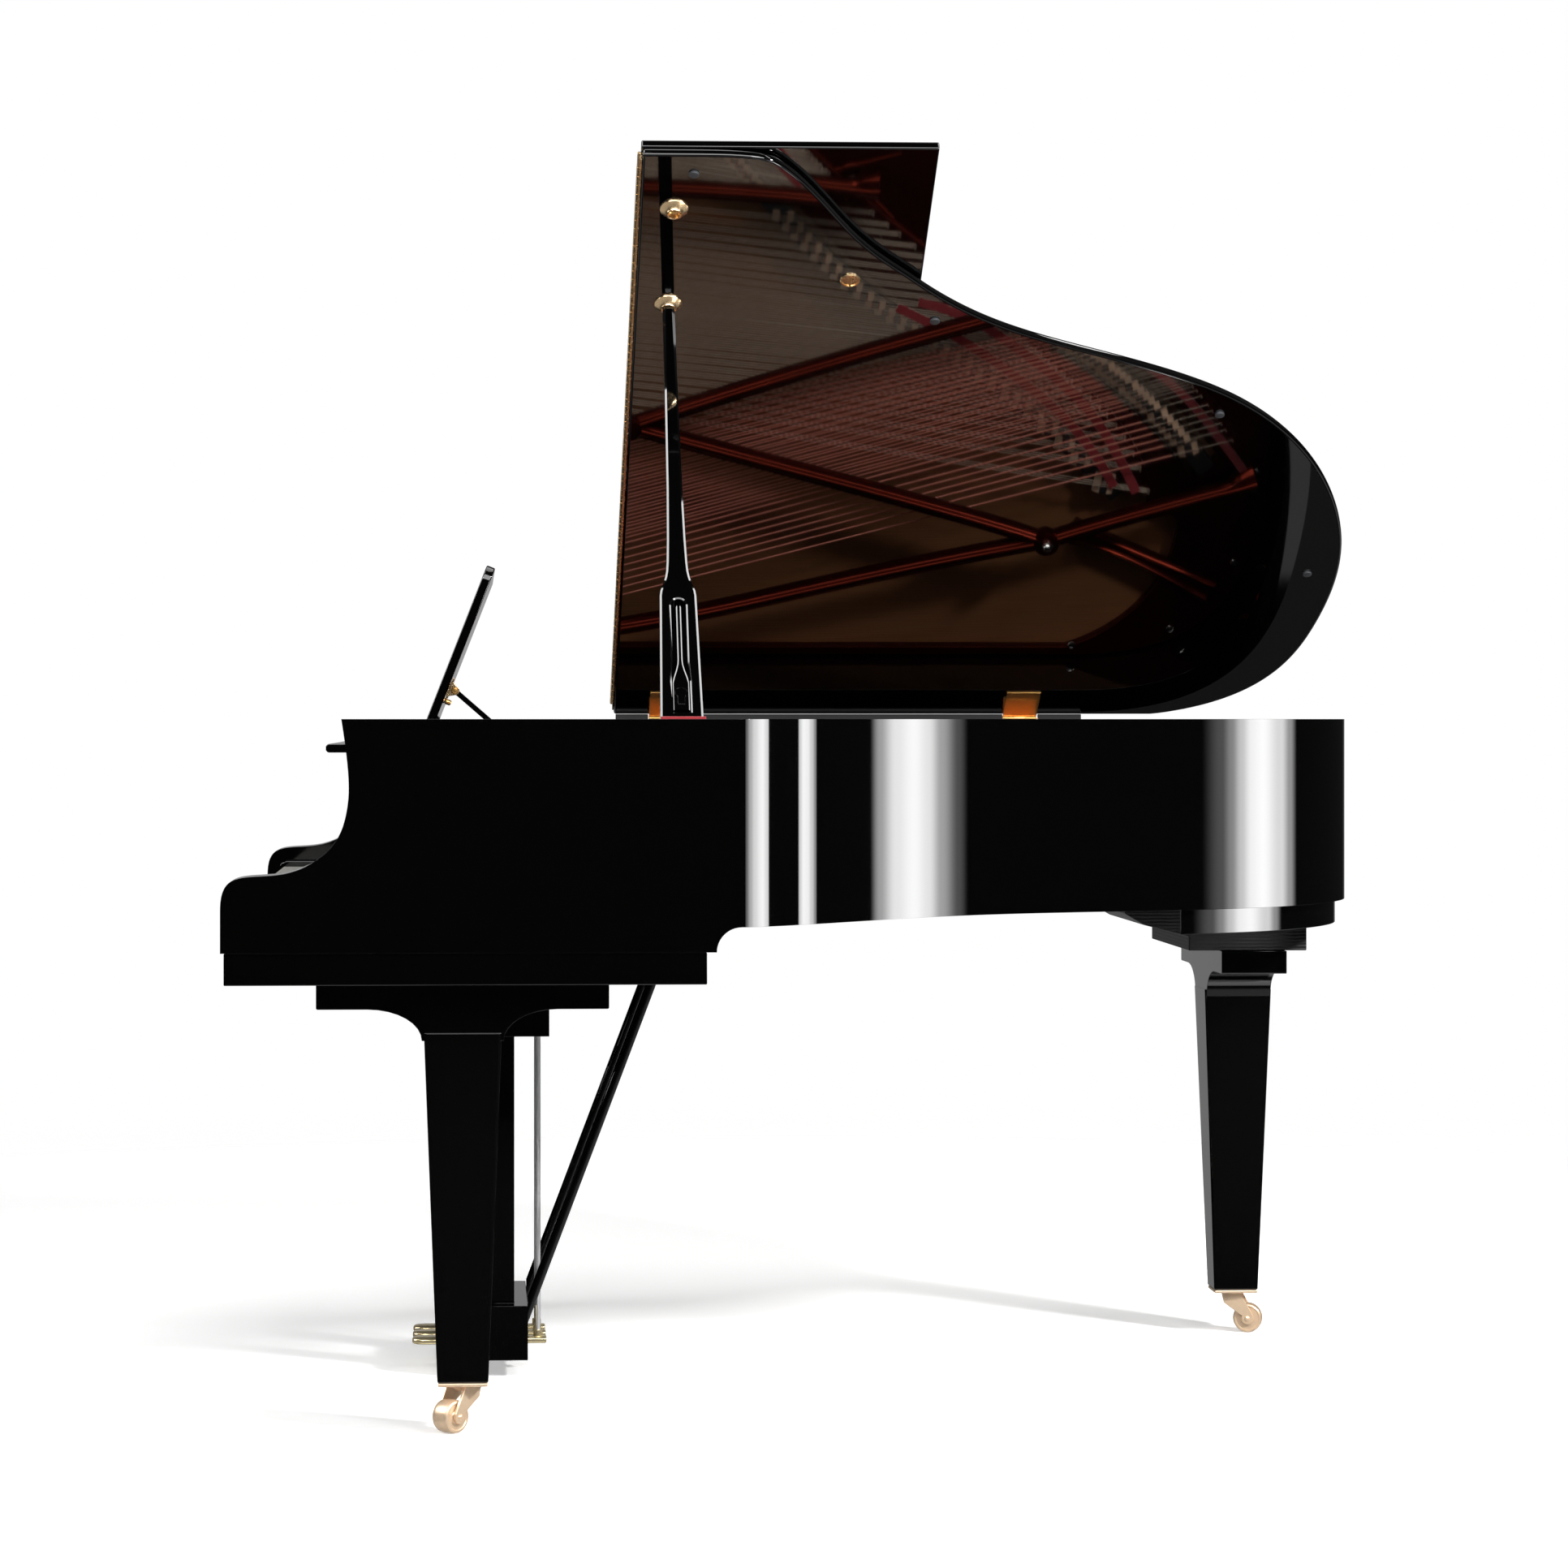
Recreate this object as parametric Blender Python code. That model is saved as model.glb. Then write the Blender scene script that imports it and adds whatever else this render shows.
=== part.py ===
"""A 1.73 m grand piano: case, iron plate and strings, action, lid with its props, legs and pedals.

Case coordinates: x runs from the bass side to the treble side, y from the fronts of the arms back
to the tail, and z up from the floor. Every mesh is written in them. CASE_ORIGIN then puts the
middle of the case, on the floor, at the scene's origin.
"""

import math

import bmesh
import bpy
from mathutils import Vector

# The running fit between pieces that touch.
GAP = 0.0003
SINK = 0.002

# Keys: the pitch of the white keys sets the width of the whole case.
KEY_PITCH = 0.0235
WHITE_KEYS = 52
KEY_SLIT = 0.0010
KEY_FRONT = 0.0293
KEY_BACK = 0.470
KEY_HEIGHT = 0.0220
KEY_TOP_DROP = 0.244
KEY_SLOT_BACK = 0.239
SHARP_WIDTH = 0.0095
SHARP_FRONT = 0.083
SHARP_CAP_BACK = 0.180
SHARP_BACK = 0.236
SHARP_RISE = 0.012
SHARP_PLAY = 0.0012
SHARP_END_PLAY = 0.002
SHARP_BAR = 0.020
SHARP_BAR_HEIGHT = 0.0115
SHARP_BAR_DROP = 0.0035
SHARP_BAR_SEAT = 0.0008
BALANCE_Y = 0.270
BALANCE_WIDTH = 0.006
SHARP_SHIFT = {"A": 0.0027, "C": -0.0027, "D": 0.0027, "F": -0.0035, "G": 0.0}

# Case.
KEY_CLEARANCE = 0.0035
KEY_BLOCK_WIDTH = 0.053
ARM_THICKNESS = 0.078
RIM_THICKNESS = 0.042
LENGTH = 1.730
RIM_TOP = 0.980
RIM_DEPTH = 0.283
ARM_DROP = 0.317
ARM_DEPTH = 0.205
CHEEK_LENGTH = 0.672
KEYBED_THICKNESS = 0.0435
KEYBED_INSET = 0.004
KEYBED_FRONT = 0.0045
KEYBED_BACK = 0.659
KEY_SLIP_THICKNESS = 0.016
KEY_SLIP_DROP = 0.262
KEY_BLOCK_DROP = 0.235
KEY_BLOCK_BACK = 0.160

WIDTH = WHITE_KEYS * KEY_PITCH + 2 * (KEY_CLEARANCE + KEY_BLOCK_WIDTH + GAP + ARM_THICKNESS)
MIDDLE = WIDTH / 2

# Lid.
LID_OVERHANG = 0.0115
LID_GAP = 0.004
LID_THICKNESS = 0.013
LID_ANGLE = math.radians(31.5)
LID_EDGE = 0.001
FOLD_Y = 0.575
FOLD_CLEARANCE = 0.004
FOLD_RISE = 0.001
FLAP_THICKNESS = 0.0125
FLAP_DEPTH = 0.424
HINGE_YS = (0.667, 1.268)
HINGE_WIDTH = 0.057
HINGE_AXIS_OUT = 0.006
HINGE_AXIS_UP = 0.001
KNUCKLE_RADIUS = 0.0045
KNUCKLE_BORE = 0.0020
HINGE_PIN_RADIUS = 0.0015
LEAF_THICKNESS = 0.0015
RIM_LEAF_LENGTH = 0.030
LID_LEAF_LENGTH = 0.080
PIANO_HINGE_LEAF = 0.0012
PIANO_HINGE_RADIUS = 0.0025
PIANO_HINGE_MARGIN = 0.015

CASE_ORIGIN = Vector((-WIDTH / 2, -(LENGTH + LID_OVERHANG) / 2, 0.0))

# Prop and its cups on the lid.
PROP_Y = 0.628
PROP_PIVOT_X_IN = 0.067
PROP_PIVOT_DROP = 0.022
PROP_THICKNESS = 0.019
PROP_FOOT_WIDTH = 0.062
PROP_LUG_WIDTH = 0.026
PROP_LUG_TOP = 0.0165
PROP_EAR = 0.006
PROP_EAR_DEPTH = 0.018
PROP_EAR_TOP = 0.008
PROP_EAR_PLAY = 0.001
PROP_BASE_THICKNESS = 0.018
PROP_BASE_REACH = 0.013
PROP_SWING_ROOM = 0.0015
PROP_PIN_RADIUS = 0.003
PROP_BORE_RADIUS = 0.0035
# The prop's outline: width and chamfer at heights above its pivot, tapering to its tip.
PROP_OUTLINE = [
    (0.0180, 0.0595, 0.0025), (0.1720, 0.0505, 0.0025), (0.1800, 0.0470, 0.0030), (0.1920, 0.0380, 0.0040),
    (0.2100, 0.0320, 0.0045), (0.2700, 0.0270, 0.0050), (0.4200, 0.0225, 0.0052),
]
PROP_TIP_WIDTH = 0.0166
PROP_TIP_THICKNESS = 0.0160
PROP_TIP_CHAMFER = 0.0046
PROP_NECK = 0.012
PROP_NECK_GAIN = 0.0012
CUP_FULL = 1.163
CUP_HALF = 1.388
CUP_HEIGHT = 0.0115
CUP_BASE_RADIUS = 0.0205
CUP_MOUTH_RADIUS = 0.0115
CUP_BORE_RADIUS = 0.0090
CUP_BORE_DEPTH = 0.008
GROOVE_WIDTH = 0.026
GROOVE_DEPTH = 0.0095
GROOVE_START = 0.032
GROOVE_END = 0.168
SHORT_PROP_THICKNESS = 0.0075
SHORT_PROP_PLAY = 0.0012
SHORT_PROP_FOOT_PLAY = 0.004
# The short prop's outline: half its width at heights above its foot.
SHORT_PROP_OUTLINE = [(0, 0.0110), (0.018, 0.0110), (0.030, 0.0085), (0.040, 0.0068)]
SHORT_PROP_TIP = 0.0062

# Heights of the scale, measured down from the top of the rim.
TREBLE_STRING_DROP = 0.1145
BASS_STRING_DROP = 0.0955
STRING_THICKNESS = 0.0012
SOUNDBOARD_DROP = 0.150
SOUNDBOARD_THICKNESS = 0.009
RIB_HEIGHT = 0.022
RIB_WIDTH = 0.024
RIB_COUNT = 8
RIB_FRONT_SPACE = 0.050
RIB_TAIL_SPACE = 0.180
RIB_END_SPACE = 0.004
PLATE_THICKNESS = 0.0205
STRUT_DROP = 0.060
STRUT_HEIGHT = 0.024
STRUT_WIDTH = 0.022
PIN_BLOCK_THICKNESS = 0.040
WEB_FRONT = 0.236
WEB_BACK = 0.445
PIN_BLOCK_BACK = 0.440
AGRAFFE_WIDTH = 0.014
BRIDGE_WIDTH = 0.030
AGRAFFE_MARGIN = 0.006
AGRAFFE_SET_IN = 0.001
HITCH_WIDTH = 0.034
HITCH_RIDGE = 0.016
PLATE_INSET = 0.004
PLATE_SIDE_INSET = 0.003
BASS_OPENING_WIDTH = 0.056
BRACKET_WIDTH = 0.030
BRACKET_RISE = 0.006
STRUT_POST_RADIUS = 0.010
NODE_RADIUS = 0.0198
BELLY_FRONT = 0.556
BELLY_THICKNESS = 0.030
BRACE_DROP = 0.200
BRACE_WIDTH = 0.060

# Action.
KEY_FRAME_THICKNESS = 0.018
KEY_FRAME_BACK = 0.500
HAMMER_Y = 0.452
HAMMER_THICKNESS = 0.013
HAMMER_TOP_DROP = 0.130
ACTION_BEAM_DROP = 0.194
ACTION_BEAM_HEIGHT = 0.028
ACTION_BEAM_FRONT = 0.380
DAMPER_Y = 0.495
DAMPER_DEPTH = 0.020
DAMPER_HEAD = 0.0070
DAMPER_RAIL_DROP = 0.207
DAMPER_RAIL_HEIGHT = 0.015
DAMPER_WIRE = 0.0024

# Front furniture.
STRETCHER_THICKNESS = 0.029
STRETCHER_BOTTOM_DROP = 0.215
TRAY_DROP = 0.040
TRAY_THICKNESS = 0.012
TRAY_FRONT = 0.2365
TRAY_BACK = 0.535
DESK_WIDTH = 0.740
DESK_HEIGHT = 0.276
DESK_THICKNESS = 0.013
DESK_Y = 0.273
DESK_LEAN = math.radians(21.4)
DESK_BEVEL = 0.003
TRAY_SIDE_PLAY = 0.0015
STAY_EAR = 0.006
STAY_EAR_PLAY = 0.001
STAY_EAR_HEIGHT = 0.014
STAY_PIN_RADIUS = 0.0018
STAY_BORE_RADIUS = 0.0022
STAY_PIVOT_UP = 0.092
STAY_PIVOT_BACK = 0.008
STAY_ANGLE = math.radians(49)
STAY_WIDTH = 0.030
STAY_THICKNESS = 0.008
FALLBOARD_PIVOT = (0.185, 0.212)
FALLBOARD_TOP_DROP = 0.034
FALLBOARD_THICKNESS = 0.0155
FALLBOARD_LIP = 0.033
FALLBOARD_LIP_THICKNESS = 0.012
FALLBOARD_ROUNDING = 0.003
FALLBOARD_BACK = 0.0035
FALLBOARD_TAPER = 0.001
FALLBOARD_SIDE_PLAY = 0.0008

# Legs, casters and skirt.
LEG_BLOCK_LENGTH = 0.400
LEG_BLOCK_HEIGHT = 0.0355
LEG_TOP_WIDTH = 0.106
LEG_FOOT_WIDTH = 0.070
CORBEL_HEIGHT = 0.043
CORBEL_REACH = 0.130
CORBEL_PLAY = 0.003
LEG_CHAMFER = 0.003
LEG_BLOCK_EDGE = 0.0015
LEG_NECK = 0.020
LEG_SHOULDER = 0.120
LEG_SHOULDER_SHARE = 0.90
LEG_NECK_SHARE = 0.98
LEG_Y = 0.3273
LEG_INSET = 0.105
TAIL_LEG_X = 0.445
TAIL_LEG_IN = 0.174
CASTER_HEIGHT = 0.070
CASTER_PLATE = 0.068
CASTER_PLATE_THICKNESS = 0.0045
CASTER_STUD = 0.011
CASTER_TRAIL = 0.024
WHEEL_RADIUS = 0.023
WHEEL_WIDTH = 0.028
WHEEL_PLAY = 0.0012
WHEEL_EDGE = 0.88
WHEEL_FLAT = 0.36
FORK_SIDE = 0.0045
FORK_HEAD = 0.008
FORK_HEAD_RADIUS = 0.017
FORK_SOCKET_RADIUS = 0.0066
STUD_RADIUS = 0.006
# The fork's cheek: its corners back from the swivel, above the foot of the head, then round the axle.
CHEEK_TOP = [(-0.015, 0.001), (-0.015, 0.006), (0.013, 0.006)]
CHEEK_FOOT = [(0.008, 0.010), (0.009, 0.0), (0.004, -0.008), (-0.004, -0.008), (-0.009, 0.0)]
FORK_BRIDGE = (-0.014, 0.004)
FORK_BRIDGE_RISE = (0.0015, 0.0055)
AXLE_PLAY = 0.0006
AXLE_RADIUS = 0.003
SKIRT_INSET = 0.015
SKIRT_THICKNESS = 0.022
SKIRT_HEIGHT = 0.037
SKIRT_IN = 0.340
TAIL_BLOCK_LENGTH = 0.380
TAIL_BLOCK_AHEAD = 0.201
TAIL_BLOCK_BEHIND = 0.084
TAIL_BLOCK_FOOT = 0.101
TAIL_BLOCK_COVE = (0.171, 0.040)
TAIL_BLOCK_EDGE = 0.020
TAIL_BLOCK_TOE = 0.022

# Lyre.
LYRE_WIDTH = 0.300
LYRE_FRONT = 0.345
LYRE_HEAD_BACK = 0.455
LYRE_HEAD_HEIGHT = 0.112
LYRE_POST = 0.050
LYRE_POST_SPACING = 0.190
LYRE_BOX_BACK = 0.423
LYRE_BOX_TOP = 0.107
LYRE_SLOT_FLOOR = 0.005
LYRE_SLOT_ROOF = 0.016
LYRE_BOX_BOTTOM = 0.026
PEDAL_SPACING = 0.066
PEDAL_SLOT = 0.034
PEDAL_WIDTH = 0.026
PEDAL_TOE_WIDTH = 0.042
PEDAL_THICKNESS = 0.011
PEDAL_TIP = 0.250
PEDAL_TAIL = 0.452
PEDAL_AXLE_Y = 0.395
PEDAL_HEIGHT = 0.046
PEDAL_AXLE_RADIUS = 0.003
PEDAL_BORE_RADIUS = 0.0036
ROD_Y = 0.439
ROD_RADIUS = 0.004
ROD_HOLE_RADIUS = 0.007
ROD_TRAVEL_ROOM = 0.012
BRACE_ROD_RADIUS = 0.0075
BRACE_ROD_TOP_Y = 0.622
BRACE_ROD_SPACING = 0.200

# Heights that follow from the sizes above.
ARM_BOTTOM = RIM_TOP - ARM_DROP
RIM_BOTTOM = RIM_TOP - RIM_DEPTH
KEYBED_TOP = ARM_BOTTOM - GAP
KEYBED_BOTTOM = KEYBED_TOP - KEYBED_THICKNESS
SOUNDBOARD_TOP = RIM_TOP - SOUNDBOARD_DROP
SOUNDBOARD_BOTTOM = SOUNDBOARD_TOP - SOUNDBOARD_THICKNESS
TREBLE_STRINGS = RIM_TOP - TREBLE_STRING_DROP
BASS_STRINGS = RIM_TOP - BASS_STRING_DROP
PLATE_BOTTOM = SOUNDBOARD_TOP + GAP
PLATE_TOP = PLATE_BOTTOM + PLATE_THICKNESS
KEY_TOP = RIM_TOP - KEY_TOP_DROP
KEY_BOTTOM = KEY_TOP - KEY_HEIGHT
KEYS_START = (WIDTH - WHITE_KEYS * KEY_PITCH) / 2
TRAY_TOP = RIM_TOP - TRAY_DROP
TRAY_BOTTOM = TRAY_TOP - TRAY_THICKNESS
LID_BOTTOM = RIM_TOP + LID_GAP
LID_TOP = LID_BOTTOM + LID_THICKNESS
TAIL_LEG_Y = LENGTH - TAIL_LEG_IN
SKIRT_START = LENGTH - SKIRT_IN
LID_AXIS = Vector((-HINGE_AXIS_OUT, 0.0, RIM_TOP + HINGE_AXIS_UP))


def plan(shares):
    """Plan points from their shares of the case's width and of its length behind the belly rail's front."""
    return [(x * WIDTH, BELLY_FRONT + y * (LENGTH - BELLY_FRONT)) for x, y in shares]


# Guide points of the bent side: from the straight bass side, round the tail, to the treble side.
BENT_GUIDE = plan([
    (0, 0.6934), (0, 0.9319), (0.2112, 1.0128), (0.4157, 0.9957),
    (0.6346, 0.8296), (0.7117, 0.4847), (0.829, 0.3245), (1, 0.161),
    (1, 0.1227),
])
BENT_STEPS = 44

# Guide points of the arm's front edge, down from the top of the rim.
ARM_GUIDE = [
    (0.1633, 0), (0.1756, 0.0765), (0.1735, 0.126), (0.1553, 0.1788), (0.0876, 0.2179),
    (0.0022, 0.2072), (0, 0.2459), (0, 0.262),
]
ARM_STEPS = 20

# Plan lines of the scale, all as shares of the same two sizes as the bent side.
TREBLE_BRIDGE = plan([
    (0.9017, 0.0307), (0.8313, 0.046), (0.7241, 0.0843), (0.6302, 0.178),
    (0.5363, 0.2802), (0.4626, 0.3756), (0.3935, 0.5153), (0.3272, 0.632),
    (0.2313, 0.7445),
])
BASS_BRIDGE = plan([(0.4224, 0.655), (0.4023, 0.7061), (0.3587, 0.7743), (0.2682, 0.868)])
HITCH_LINE = plan([
    (0.9185, 0.0843), (0.771, 0.1354), (0.6704, 0.2249), (0.59, 0.3228), (0.5095, 0.4463),
    (0.4344, 0.5826), (0.3982, 0.6312), (0.3426, 0.7164), (0.2896, 0.7675), (0.2212, 0.7956),
])
BASS_HITCH_LINE = plan([(0.4592, 0.7061), (0.4391, 0.7658), (0.3888, 0.8339), (0.3017, 0.9063)])
PLATE_OPENING_BACK = plan([(0.0637, 0.6848), (0.0939, 0.7956), (0.1475, 0.8424), (0.2011, 0.8339)])
PLATE_OPENING_TREBLE = plan([(0.9162, 0.0545)])[0]
STRUTS = [
    plan([(0.067, -0.1329), (0.0764, 0.0298), (0.1327, 0.3015), (0.171, 0.5085), (0.1911, 0.638)]),
    plan([(0.3298, -0.1329), (0.3298, 0.0375)]),
    plan([(0.3298, 0.0375), (0.2722, 0.2956), (0.2226, 0.5281), (0.1911, 0.638)]),
    plan([(0.3298, 0.0375), (0.4036, 0.2896), (0.4472, 0.4906), (0.4773, 0.6124)]),
    plan([(0.6141, -0.1329), (0.6114, 0.1695), (0.5987, 0.293), (0.5913, 0.3782)]),
    plan([(0.1911, 0.638), (0.2132, 0.7189), (0.2628, 0.9361)]),
]
STRUT_POSTS = [STRUTS[line][end] for line, end in ((0, 0), (1, 0), (3, -1), (4, 0), (4, -1), (5, -1))]
PLATE_NODE = STRUTS[0][-1]
BASS_BRACKET = plan([(0.1844, 0.6848), (0.1609, 0.77), (0.1106, 0.8893)])
BASS_STRINGS_FRONT = (0.0858 * WIDTH, 0.3097 * WIDTH)
BASS_STRING_STRIPS = 12
TREBLE_STRINGS_FRONT = ((0.3553 * WIDTH, 0.5953 * WIDTH), (0.6315 * WIDTH, 0.9064 * WIDTH))
TREBLE_STRING_STRIPS = (12, 12)
TREBLE_HITCH_SHARES = ((0.985, 0.345), (0.30, 0.02))
STRING_WIDTH = 0.0025
BRACE_STARTS = (0.1475, 0.5, 0.7989)
BRACE_FOOT = (0.2816, 0.985)
BRACE_BRANCH = (0.4157, 0.4208)

PIVOTS = {}


def remove_everything():
    """Start from an empty scene."""
    for item in list(bpy.data.objects):
        bpy.data.objects.remove(item, do_unlink=True)


def finish(name, colour, roughness, metallic=0.0):
    """A material of one colour."""
    material = bpy.data.materials.get(name) or bpy.data.materials.new(name)
    material.use_nodes = True
    shader = material.node_tree.nodes["Principled BSDF"]
    shader.inputs["Base Color"].default_value = (*colour, 1.0)
    shader.inputs["Roughness"].default_value = roughness
    shader.inputs["Metallic"].default_value = metallic
    return material


def lacquer():
    """Black polyester lacquer."""
    return finish("black_lacquer", (0.008, 0.008, 0.009), 0.05)


def brass():
    """Satin brass."""
    return finish("satin_brass", (0.80, 0.60, 0.36), 0.25, 1.0)


def bronze_paint():
    """The iron plate's bronze paint."""
    return finish("bronze_paint", (0.30, 0.12, 0.05), 0.35, 0.4)


def spruce():
    """Soundboard and rib spruce."""
    return finish("spruce", (0.62, 0.42, 0.22), 0.45)


def dark_wood():
    """Stained inner case wood."""
    return finish("stained_wood", (0.035, 0.025, 0.020), 0.6)


def maple():
    """Pale hardwood of the action and pin block."""
    return finish("maple", (0.60, 0.45, 0.28), 0.5)


def steel():
    """Polished steel."""
    return finish("bright_steel", (0.62, 0.62, 0.64), 0.2, 1.0)


def copper_string():
    """Copper winding of the bass strings."""
    return finish("string_copper", (0.60, 0.26, 0.15), 0.35, 1.0)


def key_white():
    """White key tops."""
    return finish("key_ivory_white", (0.86, 0.85, 0.80), 0.25)


def spline(guide, steps):
    """Points along the smooth curve that a clamped cubic B-spline draws through its guide."""
    guide = [Vector(point) for point in guide]
    spans = len(guide) - 3
    knots = [0] * 3 + list(range(spans + 1)) + [spans] * 3
    points = []
    for step in range(steps + 1):
        t = spans * step / steps
        first = min(int(t), spans - 1)
        near = [guide[first + j].copy() for j in range(4)]
        for level in range(1, 4):
            for j in range(3, level - 1, -1):
                low, high = knots[first + j], knots[first + j + 4 - level]
                share = (t - low) / (high - low)
                near[j] = near[j - 1] * (1 - share) + near[j] * share
        points.append(near[3])
    return points


def beside(line, distance):
    """The line moved to its right by distance."""
    moved = []
    for i, point in enumerate(line):
        along = (line[min(i + 1, len(line) - 1)] - line[max(i - 1, 0)]).normalized()
        moved.append(point + distance * Vector((along.y, -along.x)))
    return moved


def case_path(inset, front=0.0):
    """The case's plan line, moved inwards by inset, from the bass arm round the tail."""
    bent = beside(spline(BENT_GUIDE, BENT_STEPS), inset)
    return [Vector((inset, front)), *bent, Vector((WIDTH - inset, front))]


def ribbon(line, width):
    """The outline of a strip of this width along a line."""
    line = [Vector(point) for point in line]
    return beside(line, width / 2) + beside(line, -width / 2)[::-1]


def sides_at(y, inset):
    """The two x where the inset case line crosses this y, bass side first."""
    path = case_path(inset)
    crossings = []
    for a, b in zip(path, path[1:]):
        if (a.y - y) * (b.y - y) <= 0 and a.y != b.y:
            crossings.append(a.x + (b.x - a.x) * (y - a.y) / (b.y - a.y))
    return min(crossings), max(crossings)


def prism(outline, low, high, plane="xy", mesh=None):
    """A closed prism: an outline in one plane, carried from low to high along the third axis."""
    first, second, along = {"xy": (0, 1, 2), "yz": (1, 2, 0), "xz": (0, 2, 1)}[plane]
    mesh = mesh or bmesh.new()
    ends = []
    for level in (low, high):
        ring = []
        for point in outline:
            place = [0.0, 0.0, 0.0]
            place[first], place[second], place[along] = point[0], point[1], level
            ring.append(mesh.verts.new(place))
        ends.append(ring)
    mesh.faces.new(ends[0])
    mesh.faces.new(ends[1])
    for i in range(len(outline)):
        j = (i + 1) % len(outline)
        mesh.faces.new((ends[0][i], ends[0][j], ends[1][j], ends[1][i]))
    bmesh.ops.recalc_face_normals(mesh, faces=mesh.faces)
    return mesh


def box(x, y, z, mesh=None):
    """A box between three pairs of limits."""
    outline = [(x[0], y[0]), (x[1], y[0]), (x[1], y[1]), (x[0], y[1])]
    return prism(outline, z[0], z[1], mesh=mesh)


def around(centre, size):
    """The two limits of a size about a centre."""
    return centre - size / 2, centre + size / 2


def disc(centre, radius, sides=16, turn=0.0):
    """The corners of a round section, in the plane's own two axes."""
    step = 2 * math.pi / sides
    return [
        (centre[0] + radius * math.cos(turn + step * i), centre[1] + radius * math.sin(turn + step * i))
        for i in range(sides)
    ]


def lofted(sections):
    """A closed solid through rings of points that all have the same count."""
    mesh = bmesh.new()
    rings = [[mesh.verts.new(point) for point in section] for section in sections]
    mesh.faces.new(rings[0])
    mesh.faces.new(rings[-1])
    for low, high in zip(rings, rings[1:]):
        for i in range(len(low)):
            j = (i + 1) % len(low)
            mesh.faces.new((low[i], low[j], high[j], high[i]))
    bmesh.ops.recalc_face_normals(mesh, faces=mesh.faces)
    return mesh


def tube_between(start, end, radius, sides=12):
    """A round rod between two points."""
    start, end = Vector(start), Vector(end)
    along = (end - start).normalized()
    side = along.orthogonal().normalized()
    other = along.cross(side)
    sections = []
    for place in (start, end):
        sections.append([
            place + radius * (math.cos(a) * side + math.sin(a) * other)
            for a in (2 * math.pi * i / sides for i in range(sides))
        ])
    return lofted(sections)


def frame(name, pivot, turn=(0.0, 0.0, 0.0), parent=None):
    """An empty on a joint's axis; what it carries is modelled before the turn."""
    empty = bpy.data.objects.new(name, None)
    bpy.context.scene.collection.objects.link(empty)
    empty.location = Vector(pivot) - PIVOTS[parent.name] if parent else Vector(pivot) + CASE_ORIGIN
    empty.rotation_euler = turn
    empty.parent = parent
    PIVOTS[name] = Vector(pivot)
    return empty


def solid(name, mesh, material, pivot=(0.0, 0.0, 0.0), parent=None):
    """An object from a mesh in case coordinates, with its origin at the pivot."""
    pivot = Vector(pivot)
    for vert in mesh.verts:
        vert.co -= pivot
    data = bpy.data.meshes.new(name)
    mesh.to_mesh(data)
    mesh.free()
    data.materials.append(material)
    item = bpy.data.objects.new(name, data)
    bpy.context.scene.collection.objects.link(item)
    item.location = pivot - PIVOTS[parent.name] if parent else pivot + CASE_ORIGIN
    item.parent = parent
    PIVOTS[name] = pivot
    return item


def combine(body, mesh, operation):
    """Join a mesh to a body, cut it out, or keep what they share."""
    tool = solid(f"{body.name}_tool_{len(body.modifiers)}", mesh, body.data.materials[0],
                 PIVOTS[body.name], body.parent)
    tool.hide_render = True
    tool.display_type = "WIRE"
    modifier = body.modifiers.new(tool.name, "BOOLEAN")
    modifier.operation = operation
    modifier.object = tool
    modifier.solver = "EXACT"
    return body


def make_rim():
    """The bent outer rim, with its two thicker arms at the front."""
    inside = case_path(RIM_THICKNESS, ARM_DEPTH)
    bass_arm = [Vector((ARM_THICKNESS, 0)), Vector((ARM_THICKNESS, ARM_DEPTH))]
    treble_arm = [Vector((WIDTH - ARM_THICKNESS, ARM_DEPTH)), Vector((WIDTH - ARM_THICKNESS, 0))]
    outline = case_path(0) + (bass_arm + inside + treble_arm)[::-1]
    rim = solid("rim", prism(outline, ARM_BOTTOM, RIM_TOP), lacquer())

    clear = 0.02
    edge = [(y, RIM_TOP - drop) for y, drop in spline(ARM_GUIDE, ARM_STEPS)]
    above = [(edge[0][0], RIM_TOP + clear), *edge, (-clear, edge[-1][1]), (-clear, RIM_TOP + clear)]
    combine(rim, prism(above, -clear, WIDTH + clear, "yz"), "DIFFERENCE")

    cove = RIM_BOTTOM - ARM_BOTTOM
    steps = 6
    arc = [
        (CHEEK_LENGTH + cove * (1 - math.cos(a)), ARM_BOTTOM + cove * math.sin(a))
        for a in (math.pi / 2 * i / steps for i in range(steps + 1))
    ]
    far = LENGTH + 2 * clear
    below = [(CHEEK_LENGTH, ARM_BOTTOM - clear), *arc, (far, RIM_BOTTOM), (far, ARM_BOTTOM - clear)]
    return combine(rim, prism(below, -clear, WIDTH + clear, "yz"), "DIFFERENCE")


def make_inner_rim():
    """The inner rim that carries the soundboard, with the blocks that carry the music tray."""
    start = ARM_DEPTH + GAP
    outside = case_path(RIM_THICKNESS + GAP, start)
    inside = case_path(ARM_THICKNESS, start)
    top = SOUNDBOARD_BOTTOM - GAP
    body = solid("inner_rim", prism(outside + inside[::-1], RIM_BOTTOM, top), dark_wood())
    blocks = bmesh.new()
    for x in ((RIM_THICKNESS + GAP, ARM_THICKNESS), (WIDTH - ARM_THICKNESS, WIDTH - RIM_THICKNESS - GAP)):
        box(x, (start, BELLY_FRONT - GAP), (KEYBED_TOP + GAP, TRAY_BOTTOM - GAP), blocks)
    return combine(body, blocks, "UNION")


def make_keybed():
    """The slab under the keys, which the legs and the lyre hang from."""
    mesh = box((KEYBED_INSET, WIDTH - KEYBED_INSET), (KEYBED_FRONT, KEYBED_BACK), (KEYBED_BOTTOM, KEYBED_TOP))
    return solid("keybed", mesh, lacquer())


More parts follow.
